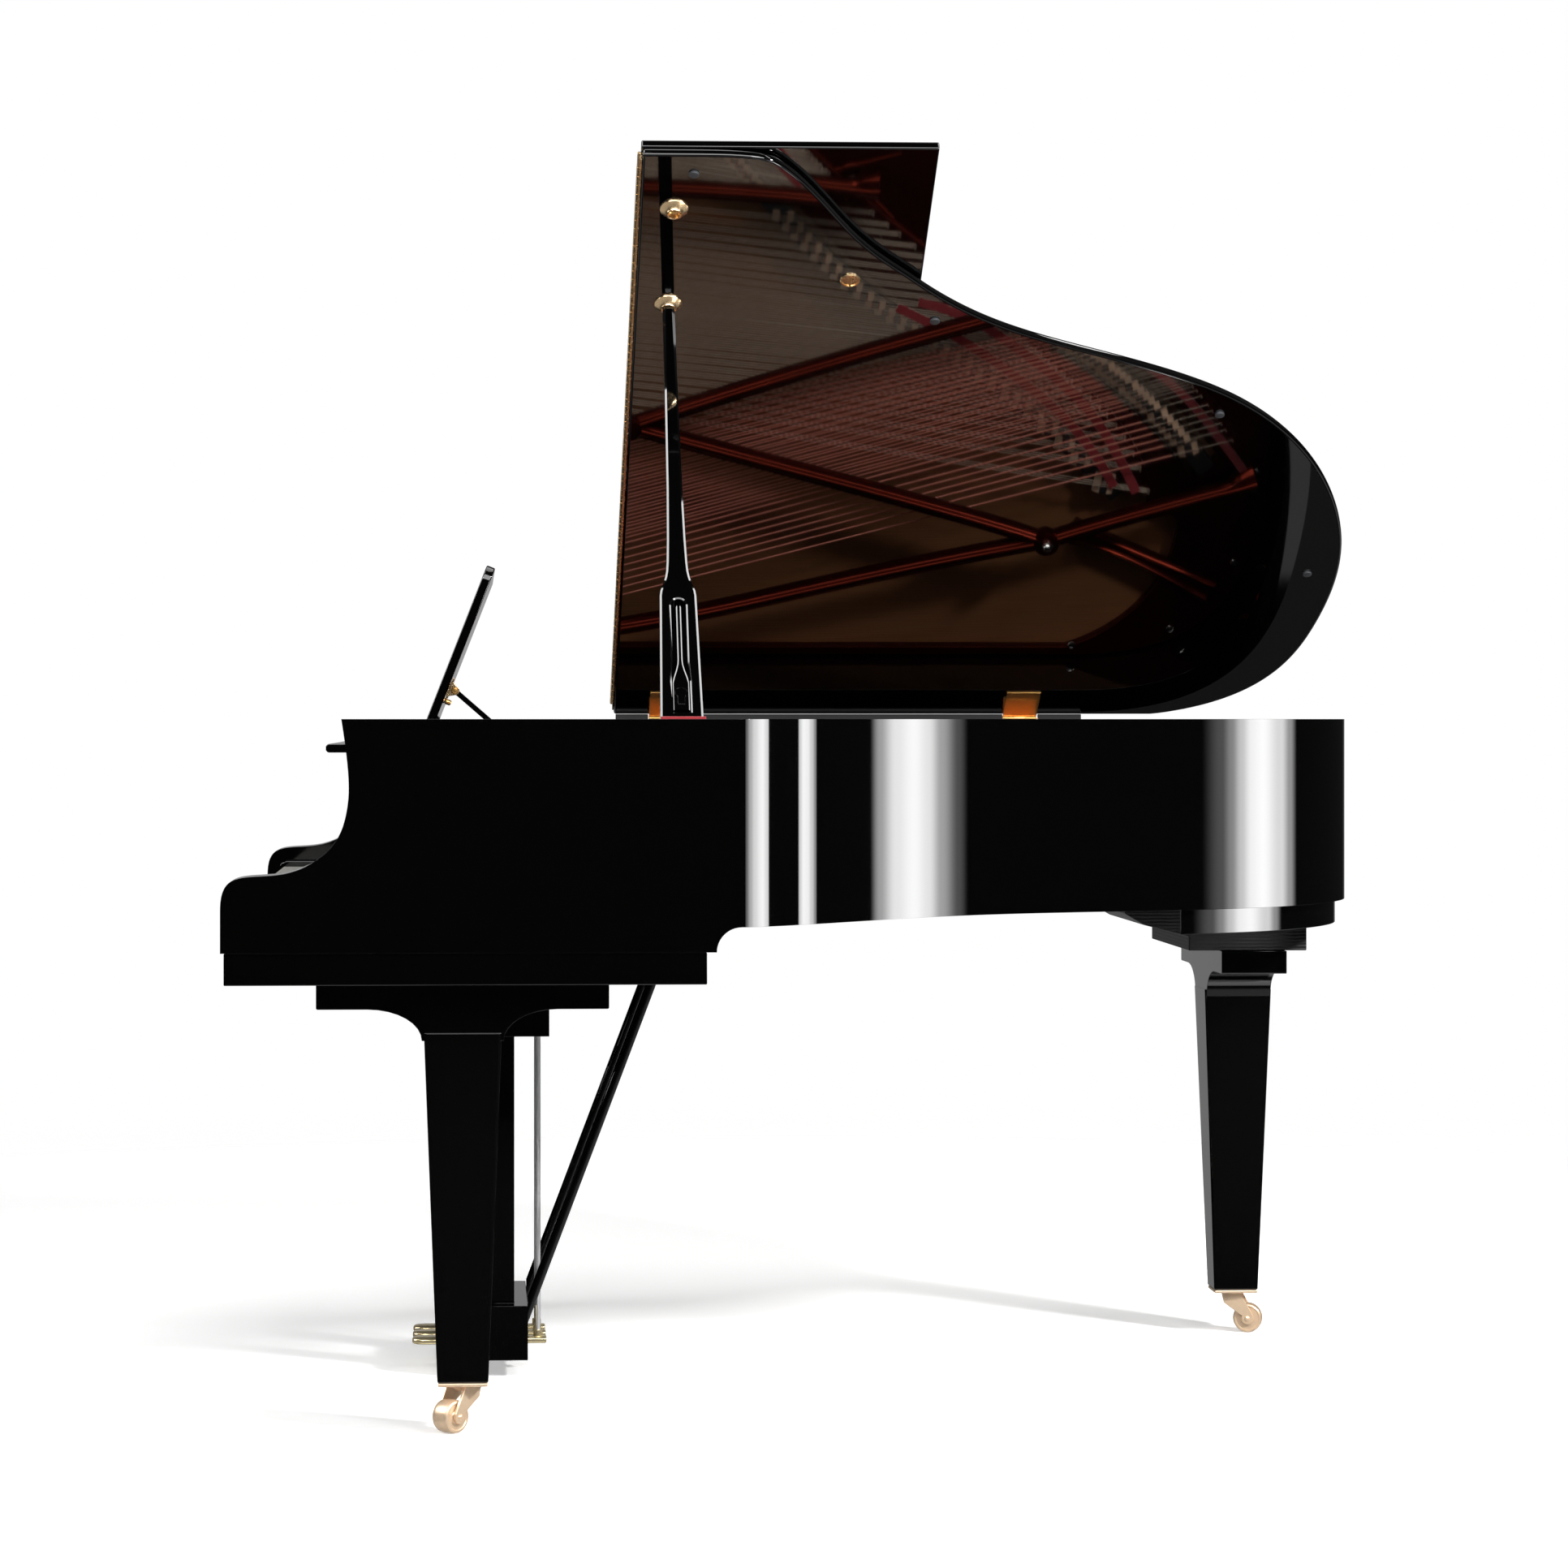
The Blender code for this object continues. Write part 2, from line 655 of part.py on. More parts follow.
def make_belly_rail():
    """The rail between action and soundboard."""
    inset = ARM_THICKNESS + GAP
    mesh = box((inset, WIDTH - inset), (BELLY_FRONT, BELLY_FRONT + BELLY_THICKNESS),
               (KEYBED_TOP + GAP, SOUNDBOARD_BOTTOM - GAP))
    return solid("belly_rail", mesh, dark_wood())


def make_braces():
    """The beams under the soundboard, from the belly rail to the inner rim."""
    back = BELLY_FRONT + BELLY_THICKNESS + GAP
    top = RIM_TOP - BRACE_DROP
    foot = plan([BRACE_FOOT])[0]
    sink = 0.05
    beams = None
    for share in BRACE_STARTS:
        mesh = prism(ribbon([(share * WIDTH, back - sink), foot], BRACE_WIDTH), RIM_BOTTOM, top)
        if beams is None:
            beams = solid("braces", mesh, dark_wood())
        else:
            combine(beams, mesh, "UNION")
    start, height = plan([BRACE_BRANCH])[0]
    side = (sides_at(height, ARM_THICKNESS)[1] + sink, height)
    combine(beams, prism(ribbon([(start, back - sink), side], BRACE_WIDTH), RIM_BOTTOM, top), "UNION")
    inside = case_path(ARM_THICKNESS + GAP, back)
    return combine(beams, prism(inside, RIM_BOTTOM - 0.01, top + 0.01), "INTERSECT")


def make_soundboard():
    """The spruce soundboard with its ribs."""
    outline = case_path(RIM_THICKNESS + GAP, BELLY_FRONT)
    board = solid("soundboard", prism(outline, SOUNDBOARD_BOTTOM, SOUNDBOARD_TOP), spruce())
    ribs = bmesh.new()
    first = BELLY_FRONT + BELLY_THICKNESS + RIB_FRONT_SPACE
    last = LENGTH - RIB_TAIL_SPACE
    for i in range(RIB_COUNT):
        y = first + (last - first) * i / (RIB_COUNT - 1)
        bass, treble = sides_at(y + RIB_WIDTH / 2, ARM_THICKNESS + RIB_END_SPACE)
        box((bass, treble), around(y, RIB_WIDTH), (SOUNDBOARD_BOTTOM - RIB_HEIGHT, SOUNDBOARD_BOTTOM + SINK), ribs)
    return combine(board, ribs, "UNION")


def make_bridges():
    """The long treble bridge and the short bass bridge on the soundboard."""
    low = SOUNDBOARD_TOP + GAP
    solid("treble_bridge", prism(ribbon(spline(TREBLE_BRIDGE, 24), BRIDGE_WIDTH), low,
                                 TREBLE_STRINGS - GAP), maple())
    solid("bass_bridge", prism(ribbon(spline(BASS_BRIDGE, 10), BRIDGE_WIDTH), low, BASS_STRINGS - GAP), maple())


def make_iron_plate():
    """The cast plate: flange, pin field, hitch rail and the struts above the strings."""
    inset = RIM_THICKNESS + PLATE_INSET
    side = ARM_THICKNESS + PLATE_SIDE_INSET
    step = BELLY_FRONT + SINK
    outline = [Vector((side, WEB_FRONT)), Vector((side, step)), *case_path(inset, step),
               Vector((WIDTH - side, step)), Vector((WIDTH - side, WEB_FRONT))]
    plate = solid("iron_plate", prism(outline, PLATE_BOTTOM, PLATE_TOP), bronze_paint())

    over = 0.01
    hitch = beside(spline(HITCH_LINE, 24), -HITCH_WIDTH / 2)
    treble_x, treble_y = PLATE_OPENING_TREBLE
    opening = [Vector((PLATE_OPENING_BACK[0][0], WEB_BACK)), *[Vector(point) for point in PLATE_OPENING_BACK],
               *hitch[::-1], Vector((treble_x, treble_y)), Vector((treble_x, WEB_BACK))]
    combine(plate, prism(opening, PLATE_BOTTOM - over, PLATE_TOP + over), "DIFFERENCE")

    # The bass bridge stands in an opening of its own, behind the hitch rail.
    near = beside(spline(BASS_BRIDGE, 10), -BASS_OPENING_WIDTH / 2)
    far = beside(spline(BASS_BRIDGE, 10), BASS_OPENING_WIDTH / 2)
    combine(plate, prism(near + far[::-1], PLATE_BOTTOM - over, PLATE_TOP + over), "DIFFERENCE")

    raised = bmesh.new()
    low = PLATE_TOP - SINK
    agraffes = around(WEB_BACK - AGRAFFE_WIDTH / 2 - AGRAFFE_SET_IN, AGRAFFE_WIDTH)
    bass = (BASS_STRINGS_FRONT[0] - AGRAFFE_MARGIN, BASS_STRINGS_FRONT[1] + AGRAFFE_MARGIN)
    box(bass, agraffes, (low, BASS_STRINGS - GAP), raised)
    treble = (TREBLE_STRINGS_FRONT[0][0] - AGRAFFE_MARGIN, TREBLE_STRINGS_FRONT[1][1] + AGRAFFE_MARGIN)
    box(treble, agraffes, (low, TREBLE_STRINGS - GAP), raised)
    prism(ribbon(spline(BASS_HITCH_LINE, 10), HITCH_RIDGE), low, BASS_STRINGS - GAP, mesh=raised)
    combine(plate, raised, "UNION")
    treble_hitch = prism(ribbon(spline(HITCH_LINE, 24), HITCH_RIDGE), low, TREBLE_STRINGS - GAP)
    combine(plate, treble_hitch, "UNION")
    combine(plate, prism(ribbon(BASS_BRACKET, BRACKET_WIDTH), PLATE_BOTTOM, PLATE_TOP + BRACKET_RISE), "UNION")

    strut_top = RIM_TOP - STRUT_DROP
    for line in STRUTS:
        outline = ribbon(line, STRUT_WIDTH)
        combine(plate, prism(outline, strut_top - STRUT_HEIGHT, strut_top), "UNION")
    posts = bmesh.new()
    for x, y in STRUT_POSTS:
        prism(disc((x, y), STRUT_POST_RADIUS, 8), low, strut_top - 2 * SINK, mesh=posts)
    combine(plate, posts, "UNION")
    boss = prism(disc(PLATE_NODE, NODE_RADIUS, 16), strut_top - STRUT_HEIGHT - 2 * SINK, strut_top + SINK)
    return combine(plate, boss, "UNION")


def make_pin_block():
    """The laminated block under the plate, which the tuning pins are driven into."""
    side = ARM_THICKNESS + GAP
    mesh = box((side, WIDTH - side), (WEB_FRONT, PIN_BLOCK_BACK),
               (PLATE_BOTTOM - GAP - PIN_BLOCK_THICKNESS, PLATE_BOTTOM - GAP))
    return solid("pin_block", mesh, maple())


def sheet(faces, low, high):
    """A closed sheet between two heights, from plan quads that share their corners."""
    mesh = bmesh.new()
    corners = {}
    uses = {}
    for face in faces:
        for point in face:
            key = tuple(point)
            if key not in corners:
                corners[key] = [mesh.verts.new((*key, z)) for z in (low, high)]
        ring = [corners[tuple(point)] for point in face]
        mesh.faces.new([pair[0] for pair in ring])
        mesh.faces.new([pair[1] for pair in ring])
        for a, b in zip(face, [*face[1:], face[0]]):
            uses.setdefault(frozenset((tuple(a), tuple(b))), []).append((tuple(a), tuple(b)))
    for a, b in (sides[0] for sides in uses.values() if len(sides) == 1):
        mesh.faces.new((corners[a][0], corners[b][0], corners[b][1], corners[a][1]))
    bmesh.ops.recalc_face_normals(mesh, faces=mesh.faces)
    return mesh


def comb(fronts, backs, bar):
    """Plan quads of strips from a front bar to a back bar; each strip has a pair of corners at each end."""
    faces = []
    for row, step in ((fronts, Vector((0, -bar))), (backs, Vector((0, bar)))):
        for a, b in zip(row, row[1:]):
            faces.append((a, b, b + step, a + step))
    for i in range(0, len(fronts), 2):
        faces.append((fronts[i], fronts[i + 1], backs[i + 1], backs[i]))
    return faces


def spread(low, high, count):
    """Evenly spread values from low to high."""
    return [low + (high - low) * i / (count - 1) for i in range(count)]


def string_lines():
    """The centre lines of the string strips: bass ones, then the two treble sections."""
    front = WEB_BACK - AGRAFFE_WIDTH
    rear = spline(BASS_HITCH_LINE, 40)
    bass = []
    for i, x in enumerate(spread(*BASS_STRINGS_FRONT, BASS_STRING_STRIPS)):
        share = 0.96 - 0.92 * i / (BASS_STRING_STRIPS - 1)
        bass.append((Vector((x, front)), rear[round(share * 40)]))
    rear = spline(HITCH_LINE, 200)
    treble = []
    sections = zip(TREBLE_STRINGS_FRONT, TREBLE_STRING_STRIPS, TREBLE_HITCH_SHARES)
    for limits, count, (start, end) in sections:
        for i, x in enumerate(spread(*limits, count)):
            share = start + (end - start) * i / (count - 1)
            treble.append((Vector((x, front)), rear[round(share * 200)]))
    return bass, treble


def make_strings():
    """The wound bass strings, crossing above the plain treble strings, each set as one sheet."""
    half = Vector((STRING_WIDTH / 2, 0))
    names = ("bass_strings", "treble_strings")
    levels = (BASS_STRINGS, TREBLE_STRINGS)
    for name, level, lines, material in zip(names, levels, string_lines(), (copper_string(), steel())):
        fronts = [p for start, _ in lines for p in (start - half, start + half)]
        backs = [p for _, end in lines for p in (end - half, end + half)]
        solid(name, sheet(comb(fronts, backs, 0.006), level, level + STRING_THICKNESS), material)


def make_front_pieces():
    """Key slip, key blocks and the stretcher behind the fallboard."""
    side = ARM_THICKNESS + GAP
    floor = KEYBED_TOP + GAP
    front = (KEYBED_FRONT, KEYBED_FRONT + KEY_SLIP_THICKNESS)
    solid("key_slip", box((side, WIDTH - side), front, (floor, RIM_TOP - KEY_SLIP_DROP)), lacquer())
    near, far, top = front[1] + 0.001, KEY_BLOCK_BACK, RIM_TOP - KEY_BLOCK_DROP
    profile = [(near, floor), (near, top - 0.010), (near + 0.004, top - 0.003), (near + 0.012, top), (far, top),
               (far, floor)]
    for name, x in (("key_block_bass", side), ("key_block_treble", WIDTH - side - KEY_BLOCK_WIDTH)):
        solid(name, prism(profile, x, x + KEY_BLOCK_WIDTH, "yz"), lacquer())
    stretcher = (WEB_FRONT - STRETCHER_THICKNESS - GAP, WEB_FRONT - GAP)
    mesh = box((side, WIDTH - side), stretcher, (RIM_TOP - STRETCHER_BOTTOM_DROP, TRAY_BOTTOM - GAP))
    solid("stretcher", mesh, lacquer())


def sharp_places():
    """The middle of each black key."""
    places = []
    for i in range(WHITE_KEYS - 1):
        letter = "ABCDEFG"[i % 7]
        if letter in SHARP_SHIFT:
            places.append((i + 1, KEYS_START + (i + 1) * KEY_PITCH + SHARP_SHIFT[letter]))
    return places


def make_key_frame(una_corda):
    """The key frame with its balance rail, which slides sideways for the soft pedal."""
    low = KEYBED_TOP + GAP
    top = low + KEY_FRAME_THICKNESS
    keys = (KEYS_START, WIDTH - KEYS_START)
    wide = (ARM_THICKNESS + KEY_CLEARANCE + 0.004, WIDTH - ARM_THICKNESS - KEY_CLEARANCE - 0.004)
    back = KEY_BLOCK_BACK + 0.004
    outline = [(keys[0], KEY_FRONT + 0.004), (keys[1], KEY_FRONT + 0.004), (keys[1], back), (wide[1], back),
               (wide[1], KEY_FRAME_BACK), (wide[0], KEY_FRAME_BACK), (wide[0], back), (keys[0], back)]
    body = solid("key_frame", prism(outline, low, top), maple(), parent=una_corda)
    rail = box(keys, around(BALANCE_Y, BALANCE_WIDTH), (top - 0.002, KEY_BOTTOM - GAP))
    combine(body, rail, "UNION")

    # Hammers stand on a beam that two brackets carry behind the keys.
    beam_top = RIM_TOP - ACTION_BEAM_DROP
    beam_low = beam_top - ACTION_BEAM_HEIGHT
    back = HAMMER_Y + HAMMER_THICKNESS
    beam = box((wide[0] + 0.01, wide[1] - 0.01), (ACTION_BEAM_FRONT, back), (beam_low, beam_top))
    action = solid("action_rail", beam, maple(), parent=una_corda)
    hammers = (BASS_STRINGS_FRONT[0] - 0.008, TREBLE_STRINGS_FRONT[1][1] + 0.008)
    wall = box(hammers, (HAMMER_Y, back), (beam_top - 0.004, RIM_TOP - HAMMER_TOP_DROP))
    combine(action, wall, "UNION")
    brackets = bmesh.new()
    for x in ((wide[0] + 0.01, keys[0] - 0.012), (keys[1] + 0.012, wide[1] - 0.01)):
        box(x, (ACTION_BEAM_FRONT, HAMMER_Y), (top + GAP, beam_low + 0.004), brackets)
    combine(action, brackets, "UNION")


def make_keys(naturals, sharps):
    """The white keys and the black keys, each set joined behind the fallboard."""
    sharp_at = dict(sharp_places())
    notch = SHARP_WIDTH / 2 + SHARP_PLAY
    turn_y = SHARP_FRONT - SHARP_END_PLAY
    outline = []
    for i in range(WHITE_KEYS):
        left = KEYS_START + i * KEY_PITCH + KEY_SLIT / 2
        right = KEYS_START + (i + 1) * KEY_PITCH - KEY_SLIT / 2
        left_back = sharp_at[i] + notch if i in sharp_at else left
        right_back = sharp_at[i + 1] - notch if i + 1 in sharp_at else right
        key = [(left_back, KEY_SLOT_BACK), (left_back, turn_y), (left, turn_y), (left, KEY_FRONT),
               (right, KEY_FRONT), (right, turn_y), (right_back, turn_y), (right_back, KEY_SLOT_BACK)]
        outline += [point for n, point in enumerate(key) if n == 0 or point != key[n - 1]]
    last, first = outline[-1][0], outline[0][0]
    outline[0] = (first, KEY_BACK)
    outline[-1] = (last, KEY_BACK)
    outline = [p for n, p in enumerate(outline) if n == 0 or p != outline[n - 1]]
    solid("natural_keys", prism(outline, KEY_BOTTOM, KEY_TOP), key_white(), PIVOTS[naturals.name], naturals)

    cap = KEY_TOP + SHARP_RISE
    stick = KEY_TOP - 0.0005
    bar_top = KEY_BOTTOM - SHARP_BAR_DROP
    bar_low = bar_top - SHARP_BAR_HEIGHT
    bar_front = SHARP_BACK - SHARP_BAR
    profile = [(SHARP_FRONT, KEY_BOTTOM), (SHARP_FRONT, cap), (SHARP_CAP_BACK, cap), (SHARP_CAP_BACK, stick),
               (SHARP_BACK, stick), (SHARP_BACK, bar_low + 0.002), (bar_front, bar_low + 0.002),
               (bar_front, KEY_BOTTOM)]
    sticks = bmesh.new()
    places = [x for _, x in sharp_places()]
    for x in places:
        prism(profile, *around(x, SHARP_WIDTH), "yz", sticks)
    ends = (places[0] - SHARP_WIDTH / 2 - 0.002, places[-1] + SHARP_WIDTH / 2 + 0.002)
    bar_back = BALANCE_Y - BALANCE_WIDTH / 2 - SHARP_BAR_SEAT
    bar = solid("sharp_keys", box(ends, (bar_front - 0.002, bar_back), (bar_low, bar_top)), lacquer(),
                PIVOTS[sharps.name], sharps)
    combine(bar, sticks, "UNION")


def make_dampers(lift):
    """The damper heads above the strings, their wires between the strings, and the lifting rail below."""
    rail_top = RIM_TOP - DAMPER_RAIL_DROP
    bass, treble = string_lines()

    def x_at(line):
        start, end = line
        return start.x + (end.x - start.x) * (DAMPER_Y - start.y) / (end.y - start.y)

    count_a = TREBLE_STRING_STRIPS[0]
    groups = [
        (bass, BASS_STRINGS, (0, 5, 10)),
        (treble[:count_a], TREBLE_STRINGS, (0, 5, 10)),
        (treble[count_a:], TREBLE_STRINGS, (0, 5)),
    ]
    rear = BELLY_FRONT - 0.0005
    ends = (x_at(bass[0]) - 0.004, x_at(treble[count_a + 6]) + 0.004)
    rail = box(ends, (DAMPER_Y - 0.006, rear), (rail_top - DAMPER_RAIL_HEIGHT, rail_top))
    body = solid("damper_rail", rail, lacquer(), PIVOTS[lift.name], lift)
    wires = bmesh.new()
    heads = bmesh.new()
    head_top = BASS_STRINGS + STRING_THICKNESS + GAP + DAMPER_HEAD
    for lines, strings, spots in groups:
        low = strings + STRING_THICKNESS + GAP
        places = [(x_at(lines[i]) + x_at(lines[i + 1])) / 2 for i in spots]
        for x in places:
            box(around(x, DAMPER_WIRE), around(DAMPER_Y, 0.006), (rail_top - 0.003, low + 0.003), wires)
        box((places[0] - 0.012, places[-1] + 0.012), around(DAMPER_Y, DAMPER_DEPTH), (low, head_top), heads)
    combine(body, wires, "UNION")
    combine(body, heads, "UNION")


def make_lid(axis):
    """The main lid, with the prop cups, the lid leaves of its hinges and the long fold hinge."""
    front = FOLD_Y + FOLD_CLEARANCE
    outline = [Vector((max(p.x, LID_EDGE), p.y)) for p in case_path(-LID_OVERHANG, front)]
    solid("lid_main", prism(outline, LID_BOTTOM, LID_TOP), lacquer(), PIVOTS[axis.name], axis)

    for name, reach in (("prop_cup_full", CUP_FULL), ("prop_cup_half", CUP_HALF)):
        x = LID_AXIS.x + reach
        top = LID_BOTTOM - GAP
        profile = [(CUP_BASE_RADIUS, top), (CUP_BASE_RADIUS, top - 0.0015),
                   (CUP_MOUTH_RADIUS, top - CUP_HEIGHT), (CUP_BORE_RADIUS, top - CUP_HEIGHT),
                   (CUP_BORE_RADIUS, top - CUP_HEIGHT + CUP_BORE_DEPTH)]
        sections = [[(cx, cy, z) for cx, cy in disc((x, PROP_Y), radius, 20)] for radius, z in profile]
        solid(name, lofted(sections), brass(), (x, PROP_Y, top), axis)

    inner = FOLD_Y + 0.001
    strip = box((PIANO_HINGE_MARGIN, WIDTH), (inner, FOLD_Y + PIANO_HINGE_RADIUS + PIANO_HINGE_LEAF),
                (LID_BOTTOM + 0.001, LID_TOP))
    hinge = solid("piano_hinge", strip, brass(), PIVOTS[axis.name], axis)
    rod = prism(disc((FOLD_Y, LID_TOP + FOLD_RISE), PIANO_HINGE_RADIUS, 12), PIANO_HINGE_MARGIN + 0.001,
                WIDTH - 0.001, "yz")
    combine(hinge, rod, "UNION")

    for name, y in zip(("front", "rear"), HINGE_YS):
        make_lid_hinge(name, y, axis)


def make_lid_hinge(name, y, axis):
    """One butt hinge: its rim leaf has the pin and the outer knuckles, its lid leaf the middle knuckle."""
    centre = (LID_AXIS.x, LID_AXIS.z)
    low, high = around(y, HINGE_WIDTH)
    third = HINGE_WIDTH / 3
    rim_z = (RIM_TOP + GAP, RIM_TOP + GAP + LEAF_THICKNESS)
    edge = LID_AXIS.x + KNUCKLE_RADIUS + GAP
    rim_leaf = solid(f"hinge_rim_leaf_{name}", box((edge, edge + RIM_LEAF_LENGTH), (low, high), rim_z), brass())
    outer = bmesh.new()
    for span in ((low, low + third - GAP), (high - third + GAP, high)):
        prism(disc(centre, KNUCKLE_RADIUS, 16), *span, "xz", outer)
    combine(rim_leaf, outer, "UNION")
    tabs = bmesh.new()
    for span in ((low, low + third - GAP), (high - third + GAP, high)):
        box((LID_AXIS.x, edge + 0.003), span, rim_z, tabs)
    combine(rim_leaf, tabs, "UNION")
    pin = prism(disc(centre, HINGE_PIN_RADIUS, 12), low + 0.002, high - 0.002, "xz")
    combine(rim_leaf, pin, "UNION")

    lid_z = (LID_BOTTOM - GAP - LEAF_THICKNESS, LID_BOTTOM - GAP)
    plate = box((edge + 0.0005, LID_AXIS.x + LID_LEAF_LENGTH), (low, high), lid_z)
    lid_leaf = solid(f"hinge_lid_leaf_{name}", plate, brass(), PIVOTS[axis.name], axis)
    middle = (low + third, high - third)
    combine(lid_leaf, prism(disc(centre, KNUCKLE_RADIUS, 16), *middle, "xz"), "UNION")
    tab = box((LID_AXIS.x + KNUCKLE_BORE, edge + 0.004), middle, lid_z)
    combine(lid_leaf, tab, "UNION")
    bore = prism(disc(centre, KNUCKLE_BORE, 12), low - 0.01, high + 0.01, "xz")
    combine(lid_leaf, bore, "DIFFERENCE")


def make_flap(fold):
    """The front flap, folded back onto the main lid."""
    low = LID_TOP + 2 * FOLD_RISE
    mesh = box((LID_EDGE, WIDTH + LID_OVERHANG), (FOLD_Y + PIANO_HINGE_RADIUS + GAP, FOLD_Y + FLAP_DEPTH),
               (low, low + FLAP_THICKNESS))
    return solid("lid_front_flap", mesh, lacquer(), PIVOTS[fold.name], fold)


def prop_geometry():
    """The prop's pivot, its length to the cup's mouth, its lean, and the slope of its end."""
    pivot = Vector((WIDTH - PROP_PIVOT_X_IN, PROP_Y, RIM_TOP - PROP_PIVOT_DROP))
    drop = LID_BOTTOM - GAP - CUP_HEIGHT - GAP - LID_AXIS.z
    x = LID_AXIS.x + CUP_FULL * math.cos(LID_ANGLE) - drop * math.sin(LID_ANGLE)
    z = LID_AXIS.z + CUP_FULL * math.sin(LID_ANGLE) + drop * math.cos(LID_ANGLE)
    reach = Vector((x - pivot.x, 0, z - pivot.z))
    lean = math.atan2(-reach.x, reach.z)
    return pivot, reach.length, lean, lean - LID_ANGLE


def chamfered(width, thickness, chamfer, z, slope=0.0):
    """An eight-sided section of the prop, across x (thickness) and y (width)."""
    w, t, c = width / 2, thickness / 2, chamfer
    corners = [(t, -w + c), (t, w - c), (t - c, w), (-t + c, w), (-t, w - c), (-t, -w + c), (-t + c, -w), (t - c, -w)]
    return [(x, y, z + slope * x) for x, y in corners]


def make_prop(axis, short_axis):
    """The long prop, with the short prop lying in its groove."""
    pivot, length, lean, tilt = prop_geometry()
    thick = PROP_THICKNESS
    first_chamfer = PROP_OUTLINE[0][2]
    sections = [chamfered(PROP_LUG_WIDTH, thick, first_chamfer / 2, z) for z in (-thick / 2, PROP_LUG_TOP)]
    sections += [chamfered(width, thick, chamfer, z) for z, width, chamfer in PROP_OUTLINE]
    neck = (PROP_TIP_WIDTH + PROP_NECK_GAIN, PROP_TIP_THICKNESS + PROP_NECK_GAIN, PROP_TIP_CHAMFER)
    sections.append(chamfered(*neck, length - PROP_NECK))
    tip = (PROP_TIP_WIDTH, PROP_TIP_THICKNESS, PROP_TIP_CHAMFER)
    sections.append(chamfered(*tip, length, math.tan(-tilt)))
    placed = [[(x + pivot.x, y + pivot.y, z + pivot.z) for x, y, z in section] for section in sections]
    prop = solid("lid_prop", lofted(placed), lacquer(), pivot, axis)
    bore = prism(disc((pivot.x, pivot.z), PROP_BORE_RADIUS, 12), PROP_Y - 0.03, PROP_Y + 0.03, "xz")
    combine(prop, bore, "DIFFERENCE")
    face = pivot.x + thick / 2
    groove = box((face - GROOVE_DEPTH, face + 0.01), around(PROP_Y, GROOVE_WIDTH),
                 (pivot.z + GROOVE_START, pivot.z + GROOVE_END))
    combine(prop, groove, "DIFFERENCE")

    # The short prop fills the groove less a little play, and carries its own pin.
    floor = face - GROOVE_DEPTH + GAP
    x = (floor, floor + SHORT_PROP_THICKNESS)
    low, high = pivot.z + GROOVE_START + SHORT_PROP_FOOT_PLAY, pivot.z + GROOVE_END - SHORT_PROP_PLAY
    outline = [(half, low + rise) for rise, half in SHORT_PROP_OUTLINE] + [(SHORT_PROP_TIP, high)]
    profile = [(PROP_Y + y, z) for y, z in outline] + [(PROP_Y - y, z) for y, z in outline[::-1]]
    solid("short_prop", prism(profile, *x, "yz"), lacquer(), PIVOTS[short_axis.name], short_axis)


def make_prop_foot():
    """The bracket inside the rim that the prop's pin runs through."""
    pivot = prop_geometry()[0]
    room = PROP_THICKNESS / 2 * math.sqrt(2) + PROP_SWING_ROOM
    wall = WIDTH - RIM_THICKNESS - GAP
    x = (pivot.x - PROP_BASE_REACH, wall)
    top = pivot.z - room
    base = box(x, around(PROP_Y, PROP_FOOT_WIDTH), (top - PROP_BASE_THICKNESS, top))
    foot = solid("prop_foot", base, brass())
    ears = bmesh.new()
    for side in (-1, 1):
        y = PROP_Y + side * (PROP_LUG_WIDTH / 2 + PROP_EAR_PLAY + PROP_EAR / 2)
        box(around(pivot.x, PROP_EAR_DEPTH), around(y, PROP_EAR), (top - SINK, pivot.z + PROP_EAR_TOP), ears)
    combine(foot, ears, "UNION")
    half = PROP_LUG_WIDTH / 2 + PROP_EAR
    combine(foot, prism(disc((pivot.x, pivot.z), PROP_PIN_RADIUS, 12), PROP_Y - half, PROP_Y + half, "xz"), "UNION")


def make_fallboard(axis):
    """The fallboard, standing open behind the keys, with its lip forward."""
    pivot_y, pivot_drop = FALLBOARD_PIVOT
    top = RIM_TOP - FALLBOARD_TOP_DROP
    low = RIM_TOP - pivot_drop - FALLBOARD_ROUNDING
    back = pivot_y + FALLBOARD_BACK
    face = back - FALLBOARD_THICKNESS
    tip = face - FALLBOARD_LIP
    under = top - FALLBOARD_LIP_THICKNESS
    profile = [
        (tip, top - FALLBOARD_ROUNDING), (tip + FALLBOARD_ROUNDING, top), (back - FALLBOARD_TAPER, top),
        (back, low), (face + 2 * FALLBOARD_TAPER, low), (face - FALLBOARD_TAPER, under),
        (tip + FALLBOARD_ROUNDING, under), (tip, under + FALLBOARD_ROUNDING),
    ]
    side = ARM_THICKNESS + FALLBOARD_SIDE_PLAY
    solid("fallboard", prism(profile, side, WIDTH - side, "yz"), lacquer(), PIVOTS[axis.name], axis)


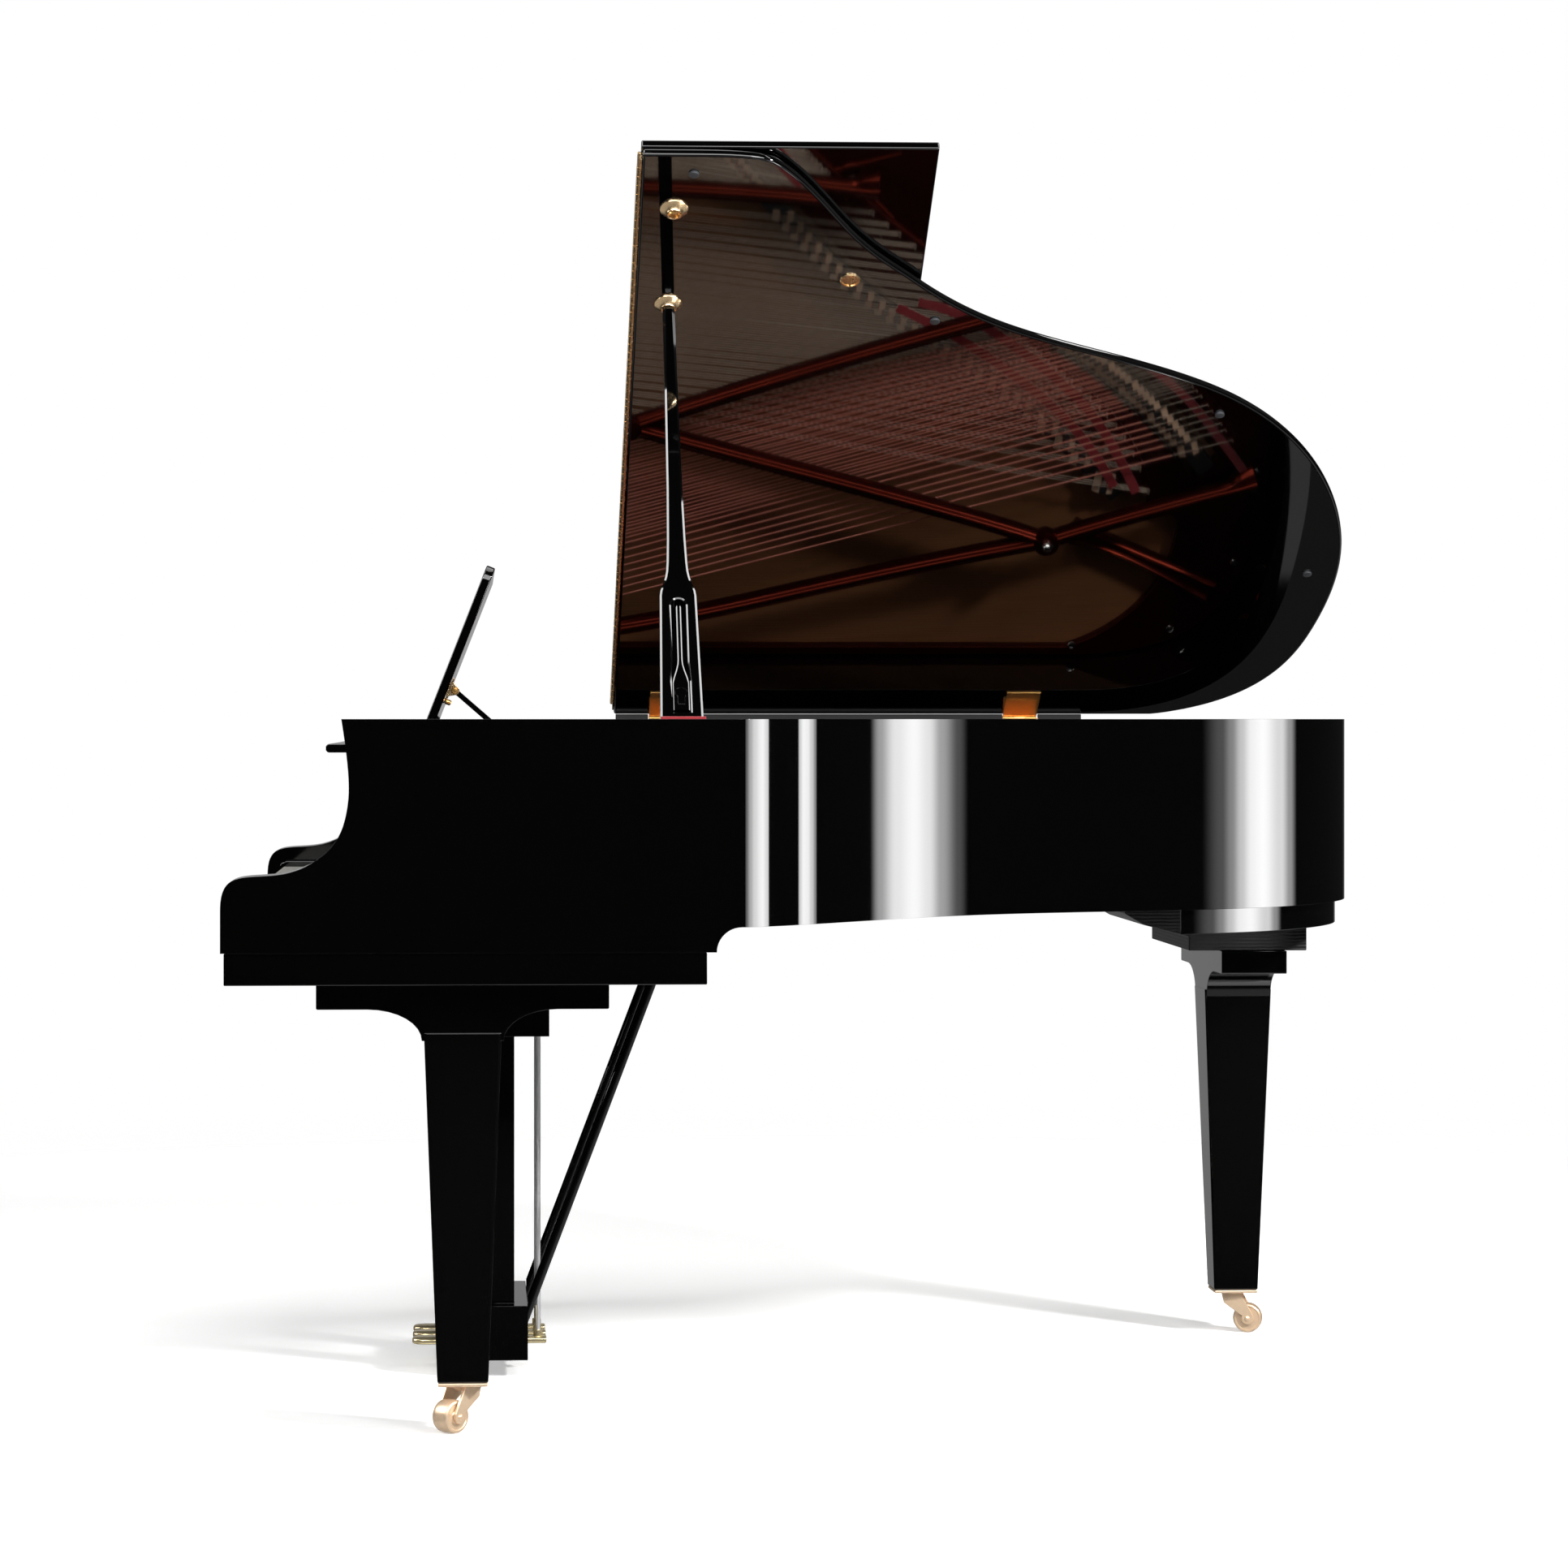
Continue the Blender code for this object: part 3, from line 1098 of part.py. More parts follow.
def make_music_desk(slide, fold, stay_axis):
    """The sliding tray, the desk panel that stands on it, and the stay behind the panel."""
    side = RIM_THICKNESS + TRAY_SIDE_PLAY
    tray = box((side, WIDTH - side), (TRAY_FRONT, TRAY_BACK), (TRAY_BOTTOM, TRAY_TOP))
    solid("music_tray", tray, lacquer(), PIVOTS[slide.name], slide)

    pivot = PIVOTS[fold.name]
    across = around(MIDDLE, DESK_WIDTH)
    bevel = DESK_BEVEL
    profile = [
        (pivot.y - DESK_THICKNESS, pivot.z + bevel), (pivot.y - DESK_THICKNESS + bevel, pivot.z),
        (pivot.y, pivot.z), (pivot.y, pivot.z + DESK_HEIGHT - bevel), (pivot.y - bevel, pivot.z + DESK_HEIGHT),
        (pivot.y - DESK_THICKNESS + bevel, pivot.z + DESK_HEIGHT),
        (pivot.y - DESK_THICKNESS, pivot.z + DESK_HEIGHT - bevel),
    ]
    panel = solid("music_desk", prism(profile, *across, "yz"), lacquer(), pivot, fold)
    joint = PIVOTS[stay_axis.name]
    ears = bmesh.new()
    for side in (-1, 1):
        x = MIDDLE + side * (STAY_WIDTH / 2 + STAY_EAR_PLAY + STAY_EAR / 2)
        box(around(x, STAY_EAR), (pivot.y - SINK, joint.y + STAY_THICKNESS / 2), around(joint.z, STAY_EAR_HEIGHT),
            ears)
    combine(panel, ears, "UNION")
    reach = STAY_WIDTH + 2 * STAY_EAR_PLAY + STAY_EAR
    pin = prism(disc((joint.y, joint.z), STAY_PIN_RADIUS, 8), *around(MIDDLE, reach), "yz")
    combine(panel, pin, "UNION")

    height = STAY_PIVOT_UP * math.cos(DESK_LEAN) - STAY_PIVOT_BACK * math.sin(DESK_LEAN) - STAY_THICKNESS / 2
    length = height / math.cos(STAY_ANGLE)
    across = around(MIDDLE, STAY_WIDTH)
    half = STAY_THICKNESS / 2
    steps = 6
    arc = [math.pi * i / steps for i in range(steps + 1)]
    profile = [(joint.y + half * math.cos(a), joint.z + half * math.sin(a)) for a in arc]
    profile += [(joint.y - half * math.cos(a), joint.z - length - half * math.sin(a)) for a in arc]
    stay = solid("desk_stay", prism(profile, *across, "yz"), brass(), joint, stay_axis)
    bore = prism(disc((joint.y, joint.z), STAY_BORE_RADIUS, 8), *around(MIDDLE, 2 * STAY_WIDTH), "yz")
    combine(stay, bore, "DIFFERENCE")


def leg_profile(top):
    """Half of the leg's block and its concave corbel, out from the leg's middle, and the corbel's foot."""
    block_low = top - LEG_BLOCK_HEIGHT
    half_block = LEG_BLOCK_LENGTH / 2
    inner = LEG_TOP_WIDTH / 2 + CORBEL_PLAY
    steps = 8
    corbel = []
    for i in range(steps + 1):
        a = math.pi / 2 * i / steps
        corbel.append((inner + (CORBEL_REACH - inner) * (1 - math.sin(a)),
                       block_low - CORBEL_HEIGHT * (1 - math.cos(a))))
    low = block_low - CORBEL_HEIGHT
    edge = LEG_BLOCK_EDGE
    return [(half_block, top), (half_block, block_low + edge), (half_block - edge, block_low), *corbel,
            (inner - 2 * CORBEL_PLAY, low)], low


def make_leg(name, centre, top, along):
    """A leg: block, corbels and tapering shaft; along is the axis that its block lies on."""
    right, low = leg_profile(top)
    plane = "yz" if along == 1 else "xz"
    across = 1 - along
    profile = [(centre[along] + u, z) for u, z in right] + [(centre[along] - u, z) for u, z in right[::-1]]
    depth = around(centre[across], LEG_TOP_WIDTH - 2 * SINK)
    leg = solid(name, prism(profile, *depth, plane), lacquer())
    chamfer = LEG_CHAMFER

    def section(width, z):
        h = width / 2
        corners = [(h, -h + chamfer), (h, h - chamfer), (h - chamfer, h), (-h + chamfer, h), (-h, h - chamfer),
                   (-h, -h + chamfer), (-h + chamfer, -h), (h - chamfer, -h)]
        return [(centre[0] + x, centre[1] + y, z) for x, y in corners]

    shaft = lofted([
        section(LEG_FOOT_WIDTH - 2 * SINK, CASTER_HEIGHT), section(LEG_FOOT_WIDTH, CASTER_HEIGHT + SINK),
        section(LEG_TOP_WIDTH * LEG_SHOULDER_SHARE, low - LEG_SHOULDER),
        section(LEG_TOP_WIDTH * LEG_NECK_SHARE, low - LEG_NECK), section(LEG_TOP_WIDTH, low + LEG_NECK / 2),
    ])
    return combine(leg, shaft, "UNION")


def make_caster(name, centre, swivel, roll):
    """A brass caster: plate with its stud, swivelling fork and wheel."""
    top = CASTER_HEIGHT - GAP
    low = top - CASTER_PLATE_THICKNESS
    plate = solid(f"caster_plate_{name}", box(around(centre[0], CASTER_PLATE), around(centre[1], CASTER_PLATE),
                                              (low, top)), brass())
    stud = prism(disc(centre, STUD_RADIUS, 12), low - CASTER_STUD, low + SINK)
    combine(plate, stud, "UNION")

    # The fork trails along +y before its swivel turns it.
    x, y = centre
    head_top = low - GAP
    head_low = head_top - FORK_HEAD
    head = prism(disc(centre, FORK_HEAD_RADIUS, 16), head_low, head_top)
    fork = solid(f"caster_fork_{name}", head, brass(), PIVOTS[swivel.name], swivel)
    axle_y, axle_z = y + CASTER_TRAIL, WHEEL_RADIUS
    inner = WHEEL_WIDTH / 2 + WHEEL_PLAY
    cheeks = bmesh.new()
    profile = [(y + back, head_low + up) for back, up in CHEEK_TOP]
    profile += [(axle_y + back, axle_z + up) for back, up in CHEEK_FOOT]
    for side in (-1, 1):
        near = x + side * inner
        far = near + side * FORK_SIDE
        prism(profile, min(near, far), max(near, far), "yz", cheeks)
    combine(fork, cheeks, "UNION")
    bridge = box((x - inner - FORK_SIDE / 2, x + inner + FORK_SIDE / 2), [y + back for back in FORK_BRIDGE],
                 [head_low + up for up in FORK_BRIDGE_RISE])
    combine(fork, bridge, "UNION")
    half = inner + FORK_SIDE * 0.75
    combine(fork, prism(disc((axle_y, axle_z), AXLE_RADIUS, 12), x - half, x + half, "yz"), "UNION")
    socket = prism(disc(centre, FORK_SOCKET_RADIUS, 12), low - CASTER_STUD - 2 * SINK, top)
    combine(fork, socket, "DIFFERENCE")

    sections = []
    for offset, radius in ((-0.5, WHEEL_EDGE), (-WHEEL_FLAT, 1.0), (WHEEL_FLAT, 1.0), (0.5, WHEEL_EDGE)):
        ring = disc((axle_y, axle_z), WHEEL_RADIUS * radius, 24, -math.pi / 2)
        sections.append([(x + offset * WHEEL_WIDTH, cy, cz) for cy, cz in ring])
    wheel = solid(f"caster_wheel_{name}", lofted(sections), brass(), PIVOTS[roll.name], roll)
    bore = prism(disc((axle_y, axle_z), AXLE_RADIUS + AXLE_PLAY, 12), x - WHEEL_WIDTH, x + WHEEL_WIDTH, "yz")
    combine(wheel, bore, "DIFFERENCE")


def make_tail_pieces():
    """The curved skirt under the tail and the block that carries the tail leg."""
    outside = [p for p in case_path(SKIRT_INSET) if p.y > SKIRT_START]
    inside = [p for p in case_path(SKIRT_INSET + SKIRT_THICKNESS) if p.y > SKIRT_START]
    top = RIM_BOTTOM - GAP
    solid("tail_skirt", prism(outside + inside[::-1], top - SKIRT_HEIGHT, top), lacquer())
    low = KEYBED_BOTTOM
    front = TAIL_LEG_Y - TAIL_BLOCK_AHEAD
    back = TAIL_LEG_Y + TAIL_BLOCK_BEHIND
    foot = TAIL_LEG_Y - TAIL_BLOCK_FOOT
    cove, rise = TAIL_BLOCK_COVE
    profile = [(front, top), (back, top), (back, low), (foot, low), (foot, low + TAIL_BLOCK_TOE),
               (TAIL_LEG_Y - cove, low + rise), (front, top - TAIL_BLOCK_EDGE)]
    block = prism(profile, *around(TAIL_LEG_X, TAIL_BLOCK_LENGTH), "yz")
    body = solid("tail_leg_block", block, dark_wood())
    room = case_path(SKIRT_INSET + SKIRT_THICKNESS + GAP)
    return combine(body, prism(room, low - SINK, top + SINK), "INTERSECT")


def pedal_places():
    """The x of the left, middle and right pedal."""
    return {"left": MIDDLE - PEDAL_SPACING, "middle": MIDDLE, "right": MIDDLE + PEDAL_SPACING}


def make_lyre():
    """The lyre: head, two posts and pedal box in one frame, and the two rods that brace it."""
    top = KEYBED_BOTTOM - GAP
    head_low = top - LYRE_HEAD_HEIGHT
    width = around(MIDDLE, LYRE_WIDTH)
    post_y = (LYRE_BOX_BACK - 0.020 - LYRE_POST, LYRE_BOX_BACK - 0.020)
    head = box(around(MIDDLE, LYRE_WIDTH - 0.02), (LYRE_FRONT, LYRE_HEAD_BACK), (head_low, top))
    lyre = solid("lyre_frame", head, lacquer())
    posts = bmesh.new()
    for side in (-1, 1):
        x = around(MIDDLE + side * LYRE_POST_SPACING / 2, LYRE_POST)
        box(x, post_y, (LYRE_BOX_TOP - 0.004, head_low + 0.004), posts)
    combine(lyre, posts, "UNION")
    combine(lyre, box(width, (LYRE_FRONT - 0.02, LYRE_BOX_BACK), (LYRE_BOX_BOTTOM, LYRE_BOX_TOP)), "UNION")
    slots = bmesh.new()
    holes = bmesh.new()
    for x in pedal_places().values():
        box(around(x, PEDAL_SLOT), (LYRE_FRONT - 0.05, LYRE_BOX_BACK + 0.02),
            (LYRE_BOX_BOTTOM + LYRE_SLOT_FLOOR, LYRE_BOX_TOP - LYRE_SLOT_ROOF), slots)
        prism(disc((x, ROD_Y), ROD_HOLE_RADIUS, 12), head_low - 0.01, top + 0.01, mesh=holes)
    combine(lyre, slots, "DIFFERENCE")
    combine(lyre, holes, "DIFFERENCE")
    axle = prism(disc((PEDAL_AXLE_Y, PEDAL_HEIGHT), PEDAL_AXLE_RADIUS, 12), *around(MIDDLE, LYRE_WIDTH - 0.02), "yz")
    combine(lyre, axle, "UNION")

    for name, side in (("bass", -1), ("treble", 1)):
        x = MIDDLE + side * BRACE_ROD_SPACING / 2
        foot_z = LYRE_BOX_TOP - 0.012
        start = Vector((x, LYRE_BOX_BACK + GAP, foot_z))
        end = Vector((x, BRACE_ROD_TOP_Y, KEYBED_BOTTOM - GAP))
        line = (end - start).normalized()
        rod = tube_between(start - 0.03 * line, end + 0.03 * line, BRACE_ROD_RADIUS, 12)
        brace = solid(f"lyre_brace_{name}", rod, lacquer())
        room = box((x - 0.02, x + 0.02), (LYRE_BOX_BACK + GAP, BRACE_ROD_TOP_Y + 0.05),
                   (foot_z - 0.03, KEYBED_BOTTOM - GAP))
        combine(brace, room, "INTERSECT")


def make_pedals(axes, lifts):
    """Three brass pedals on the lyre's axle, each lifting a steel rod."""
    for name, x in pedal_places().items():
        wide, toe = PEDAL_WIDTH / 2, PEDAL_TOE_WIDTH / 2
        waist = PEDAL_TIP + 0.062
        steps = 6
        tip = [(x + toe * math.sin(a), PEDAL_TIP + toe * 0.8 * (1 - math.cos(a)))
               for a in (math.pi / 2 * i / steps for i in range(steps + 1))]
        right = [*tip, (x + toe * 0.9, waist - 0.022), (x + wide, waist), (x + wide, PEDAL_TAIL - 0.004),
                 (x + wide - 0.004, PEDAL_TAIL)]
        left = [(2 * x - px, py) for px, py in right[::-1]]
        outline = right + left[:-1]
        z = around(PEDAL_HEIGHT, PEDAL_THICKNESS)
        pedal = solid(f"pedal_{name}", prism(outline, *z), brass(), PIVOTS[axes[name].name], axes[name])
        bore = prism(disc((PEDAL_AXLE_Y, PEDAL_HEIGHT), PEDAL_BORE_RADIUS, 12), x - 0.05, x + 0.05, "yz")
        combine(pedal, bore, "DIFFERENCE")
        rod = tube_between((x, ROD_Y, z[1] + GAP), (x, ROD_Y, KEYBED_BOTTOM - ROD_TRAVEL_ROOM), ROD_RADIUS, 12)
        solid(f"pedal_rod_{name}", rod, steel(), PIVOTS[lifts[name].name], lifts[name])


def build():
    """Make every piece, with each moving one on an empty that lies on its joint's axis."""
    remove_everything()
    make_rim()
    make_inner_rim()
    make_keybed()
    make_belly_rail()
    make_braces()
    make_soundboard()
    make_bridges()
    make_iron_plate()
    make_pin_block()
    make_strings()
    make_front_pieces()
    make_tail_pieces()
    make_prop_foot()
    make_lyre()

    una_corda = frame("una_corda_slide", (0, 0, 0))
    balance = (MIDDLE, BALANCE_Y, KEY_BOTTOM)
    make_key_frame(una_corda)
    make_keys(frame("natural_dip", balance, parent=una_corda), frame("sharp_dip", balance, parent=una_corda))
    make_dampers(frame("damper_lift", (MIDDLE, DAMPER_Y, RIM_TOP - DAMPER_RAIL_DROP)))

    lid_axis = frame("lid_lift", LID_AXIS, (0, -LID_ANGLE, 0))
    make_lid(lid_axis)
    make_flap(frame("flap_fold", (MIDDLE, FOLD_Y, LID_TOP + FOLD_RISE), parent=lid_axis))
    pivot, _, lean, _ = prop_geometry()
    prop_axis = frame("prop_fold", pivot, (0, -lean, 0))
    short_x = pivot.x + PROP_THICKNESS / 2
    short_z = pivot.z + GROOVE_START + SHORT_PROP_FOOT_PLAY
    short_axis = frame("short_prop_flip", (short_x, PROP_Y, short_z), parent=prop_axis)
    make_prop(prop_axis, short_axis)

    pivot_y, pivot_drop = FALLBOARD_PIVOT
    make_fallboard(frame("fallboard_close", (MIDDLE, pivot_y, RIM_TOP - pivot_drop)))
    slide = frame("tray_slide", (MIDDLE, TRAY_FRONT, TRAY_TOP))
    fold = frame("desk_fold", (MIDDLE, DESK_Y, TRAY_TOP + GAP), (-DESK_LEAN, 0, 0), slide)
    stay_at = (MIDDLE, DESK_Y + STAY_PIVOT_BACK, TRAY_TOP + GAP + STAY_PIVOT_UP)
    stay_axis = frame("stay_fold", stay_at, (DESK_LEAN + STAY_ANGLE, 0, 0), fold)
    make_music_desk(slide, fold, stay_axis)

    legs = {
        "treble": ((WIDTH - LEG_INSET, LEG_Y), 1, math.radians(-135)),
        "bass": ((LEG_INSET, LEG_Y), 1, math.radians(-60)),
        "tail": ((TAIL_LEG_X, TAIL_LEG_Y), 0, math.radians(-12)),
    }
    for name, (centre, along, heading) in legs.items():
        make_leg(f"leg_{name}", centre, KEYBED_BOTTOM - GAP, along)
        swivel = frame(f"caster_swivel_{name}", (*centre, CASTER_HEIGHT), (0, 0, heading))
        axle = (centre[0], centre[1] + CASTER_TRAIL, WHEEL_RADIUS)
        make_caster(name, centre, swivel, frame(f"caster_roll_{name}", axle, parent=swivel))

    axes, lifts = {}, {}
    for name, x in pedal_places().items():
        axes[name] = frame(f"pedal_press_{name}", (x, PEDAL_AXLE_Y, PEDAL_HEIGHT))
        lifts[name] = frame(f"pedal_rod_lift_{name}", (x, ROD_Y, PEDAL_HEIGHT))
    make_pedals(axes, lifts)


build()
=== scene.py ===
import math
import random

import bmesh
import bpy
from mathutils import Matrix, Vector


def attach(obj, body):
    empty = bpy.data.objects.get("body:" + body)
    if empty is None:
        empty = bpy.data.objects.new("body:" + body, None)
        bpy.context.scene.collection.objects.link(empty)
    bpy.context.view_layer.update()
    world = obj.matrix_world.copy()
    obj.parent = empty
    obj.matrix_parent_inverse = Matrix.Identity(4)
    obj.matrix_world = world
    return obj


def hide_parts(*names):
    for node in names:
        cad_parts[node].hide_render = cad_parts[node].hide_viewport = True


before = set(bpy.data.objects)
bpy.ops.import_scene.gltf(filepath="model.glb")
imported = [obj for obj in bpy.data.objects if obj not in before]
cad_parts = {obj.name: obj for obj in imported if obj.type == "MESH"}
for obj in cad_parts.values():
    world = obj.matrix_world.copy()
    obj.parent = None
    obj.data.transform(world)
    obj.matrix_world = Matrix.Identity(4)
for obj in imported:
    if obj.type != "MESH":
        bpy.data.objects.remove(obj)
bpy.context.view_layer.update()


# Studio: a pale floor and white surroundings, soft overhead light, two tall strip boxes towards the
# tail, and a camera at the treble side that looks across the piano at the height of its rim.
def linear(hexcode):
    """The linear colour of an sRGB hex value."""
    parts = [int(hexcode[i:i + 2], 16) / 255 for i in (0, 2, 4)]
    return (*[p / 12.92 if p <= 0.04045 else ((p + 0.055) / 1.055) ** 2.4 for p in parts], 1.0)


def node(tree, kind, settings=None, **links):
    """Add a node, set its properties and sockets, and link its inputs from (node, output) pairs."""
    item = tree.nodes.new(kind)
    for name, value in (settings or {}).items():
        if hasattr(item, name):
            setattr(item, name, value)
        else:
            item.inputs[name.replace("_", " ")].default_value = value
    for name, (source, output) in links.items():
        tree.links.new(source.outputs[output], item.inputs[name.replace("_", " ")])
    return item


def material(name, **settings):
    """A material with a Principled surface, its sockets set; returns it with its tree and shader."""
    made = bpy.data.materials.new(name)
    made.use_nodes = True
    shader = made.node_tree.nodes["Principled BSDF"]
    for socket, value in settings.items():
        shader.inputs[socket.replace("_", " ")].default_value = value
    return made, made.node_tree, shader


def object_from(name, mesh, *finishes):
    """A scene object at the origin from a bmesh."""
    data = bpy.data.meshes.new(name)
    mesh.to_mesh(data)
    mesh.free()
    for item in finishes:
        data.materials.append(item)
    item = bpy.data.objects.new(name, data)
    bpy.context.scene.collection.objects.link(item)
    return item


floor_paint, tree, shader = material("matt_floor_paint", Roughness=0.6, Specular_IOR_Level=0.2)
place = node(tree, "ShaderNodeTexCoord")
speckle = node(tree, "ShaderNodeTexNoise", {"Scale": 3.0, "Detail": 2.0}, Vector=(place, "Object"))
tone = node(tree, "ShaderNodeMixRGB", {"Color1": linear("F6F6F5"), "Color2": linear("FBFBFA")}, Fac=(speckle, "Fac"))
tree.links.new(tone.outputs["Color"], shader.inputs["Base Color"])
reach = node(tree, "ShaderNodeVectorMath", {"operation": "LENGTH"})
tree.links.new(place.outputs["Object"], reach.inputs[0])
fade = node(tree, "ShaderNodeMapRange", {"From Min": 1.8, "From Max": 4.6, "interpolation_type": "SMOOTHSTEP"},
            Value=(reach, "Value"))
rays = node(tree, "ShaderNodeLightPath")
in_gloss = node(tree, "ShaderNodeMath", {"operation": "MULTIPLY"})
tree.links.new(rays.outputs["Is Glossy Ray"], in_gloss.inputs[0])
in_gloss.inputs[1].default_value = 0.98
gone = node(tree, "ShaderNodeMath", {"operation": "MAXIMUM"})
tree.links.new(fade.outputs["Result"], gone.inputs[0])
tree.links.new(in_gloss.outputs[0], gone.inputs[1])
bright = node(tree, "ShaderNodeMath", {"operation": "MULTIPLY"})
tree.links.new(rays.outputs["Is Camera Ray"], bright.inputs[0])
bright.inputs[1].default_value = 0.42
tree.links.new(bright.outputs[0], shader.inputs["Emission Strength"])
shader.inputs["Emission Color"].default_value = (1, 1, 1, 1)
clear = node(tree, "ShaderNodeBsdfTransparent")
blend = node(tree, "ShaderNodeMixShader")
tree.links.new(gone.outputs[0], blend.inputs[0])
tree.links.new(shader.outputs[0], blend.inputs[1])
tree.links.new(clear.outputs[0], blend.inputs[2])
tree.links.new(blend.outputs[0], tree.nodes["Material Output"].inputs["Surface"])
mesh = bmesh.new()
bmesh.ops.create_circle(mesh, cap_ends=True, segments=64, radius=5)
floor = object_from("floor", mesh, floor_paint)

world = bpy.context.scene.world or bpy.data.worlds.new("studio")
bpy.context.scene.world = world
world.use_nodes = True
tree = world.node_tree
tree.nodes.clear()
path = node(tree, "ShaderNodeLightPath")
seen = node(tree, "ShaderNodeMath", {"operation": "MAXIMUM"})
tree.links.new(path.outputs["Is Camera Ray"], seen.inputs[0])
tree.links.new(path.outputs["Is Transmission Ray"], seen.inputs[1])
heading = node(tree, "ShaderNodeTexCoord")
sides = node(tree, "ShaderNodeSeparateXYZ", Vector=(heading, "Generated"))
wall = node(tree, "ShaderNodeMapRange", {"From Min": -0.93, "From Max": -0.985, "To Min": 0.012, "To Max": 0.35},
            Value=(sides, "X"))
height = node(tree, "ShaderNodeMath", {"operation": "ABSOLUTE"})
tree.links.new(sides.outputs["Z"], height.inputs[0])
rise = node(tree, "ShaderNodeMapRange", {"From Min": 0.27, "From Max": 0.42, "To Max": 0.42}, Value=(height, "Value"))
fall = node(tree, "ShaderNodeMapRange", {"From Min": 0.70, "From Max": 0.84, "To Min": 1.0, "To Max": 0.0},
            Value=(height, "Value"))
ring = node(tree, "ShaderNodeMath", {"operation": "MULTIPLY"})
tree.links.new(rise.outputs["Result"], ring.inputs[0])
tree.links.new(fall.outputs["Result"], ring.inputs[1])
low_ring = node(tree, "ShaderNodeMapRange", {"From Min": -0.05, "From Max": 0.05, "To Min": 1.0, "To Max": 0.22},
                Value=(sides, "Z"))
dimmed = node(tree, "ShaderNodeMath", {"operation": "MULTIPLY"})
tree.links.new(ring.outputs[0], dimmed.inputs[0])
tree.links.new(low_ring.outputs["Result"], dimmed.inputs[1])
ground = node(tree, "ShaderNodeMapRange", {"From Min": -0.94, "From Max": -0.965, "To Min": 0.0, "To Max": 1.4},
              Value=(sides, "Z"))
below = node(tree, "ShaderNodeMath", {"operation": "MAXIMUM"})
tree.links.new(dimmed.outputs[0], below.inputs[0])
tree.links.new(ground.outputs["Result"], below.inputs[1])
surround = node(tree, "ShaderNodeMath", {"operation": "MAXIMUM"})
tree.links.new(wall.outputs["Result"], surround.inputs[0])
tree.links.new(below.outputs[0], surround.inputs[1])
mirrored = node(tree, "ShaderNodeMix")
tree.links.new(path.outputs["Is Glossy Ray"], mirrored.inputs[0])
mirrored.inputs[2].default_value = 0.28
tree.links.new(surround.outputs[0], mirrored.inputs[3])
strength = node(tree, "ShaderNodeMix")
tree.links.new(seen.outputs[0], strength.inputs[0])
tree.links.new(mirrored.outputs[0], strength.inputs[2])
strength.inputs[3].default_value = 1.0
background = node(tree, "ShaderNodeBackground", {"Color": (1, 1, 1, 1)})
tree.links.new(strength.outputs[0], background.inputs["Strength"])
output = node(tree, "ShaderNodeOutputWorld")
tree.links.new(background.outputs[0], output.inputs["Surface"])


def soft_lamp(name, place, aim, size, power):
    """A rectangular softbox pointed at a place."""
    data = bpy.data.lights.new(name, "AREA")
    data.shape = "RECTANGLE"
    data.size, data.size_y = size
    data.energy = power
    lamp = bpy.data.objects.new(name, data)
    lamp.location = place
    lamp.rotation_euler = (Vector(aim) - Vector(place)).to_track_quat("-Z", "Y").to_euler()
    lamp.visible_camera = False
    bpy.context.scene.collection.objects.link(lamp)
    return lamp


def strip_box(name, x, y, z, glow, shares):
    """A tall strip box facing the player, brighter or dimmer across its width, seen only in reflections."""
    lamp = soft_lamp(name, ((x[0] + x[1]) / 2, y, (z[0] + z[1]) / 2), ((x[0] + x[1]) / 2, y - 1, (z[0] + z[1]) / 2),
                     (x[1] - x[0], z[1] - z[0]), glow * math.pi * (x[1] - x[0]) * (z[1] - z[0]))
    lamp.visible_diffuse = False
    lamp.data.use_nodes = True
    tree = lamp.data.node_tree
    across = node(tree, "ShaderNodeNewGeometry")
    parts = node(tree, "ShaderNodeSeparateXYZ", Vector=(across, "Parametric"))
    ramp = node(tree, "ShaderNodeValToRGB", Fac=(parts, "X"))
    ramp.color_ramp.interpolation = "EASE"
    for place, share in shares:
        stop = ramp.color_ramp.elements.new(place)
        stop.color = (share, share, share, 1)
    for stop in list(ramp.color_ramp.elements)[:: len(ramp.color_ramp.elements) - 1]:
        stop.color = (0, 0, 0, 1)
    tree.links.new(ramp.outputs["Color"], tree.nodes["Emission"].inputs["Strength"])
    return lamp


soft_lamp("overhead_box", (-0.55, 0.2, 4.4), (-0.55, 0.2, 0), (3.1, 2.8), 82)
soft_lamp("tail_key", (2.7, 3.0, 2.9), (0.1, 0.2, 0.8), (0.45, 0.45), 240)
soft_lamp("treble_wire_box", (3.3, 1.3, 2.6), (0.1, 0.2, 0.9), (0.9, 0.9), 45)
soft_lamp("bass_wire_box", (3.3, -1.7, 2.7), (0.0, 0.3, 0.9), (0.7, 0.7), 45)
soft_lamp("keyboard_box", (0.4, -4.2, 2.4), (0, -0.6, 0.9), (1.6, 1.6), 40)
lid_edge_box = soft_lamp("lid_edge_box", (2.95, -0.25, 6.5), (-0.37, -0.25, 0), (0.3, 0.3), 1.2)
lid_edge_box.visible_diffuse = False
for name, x, y in (("prop_left_box", 0.85, -2.28), ("prop_right_box", 0.62, 2.12)):
    edge_box = soft_lamp(name, (x, y, 4.4), (0.45, -0.24, 1.3), (1.0, 1.1), 12 * math.pi * 1.1)
    edge_box.visible_diffuse = False
wire_wall = soft_lamp("wire_wall", (3.6, -0.2, 2.9), (0.2, 0.1, 0.9), (3.6, 2.2), 160)
wire_wall.visible_diffuse = False
arm_edge_box = soft_lamp("arm_edge_box", (0.8, -4.2, 3.1), (0.7, -0.8, 0.8), (2.6, 2.4), 110)
arm_edge_box.visible_diffuse = False
BAND = (0.62, 1.0)
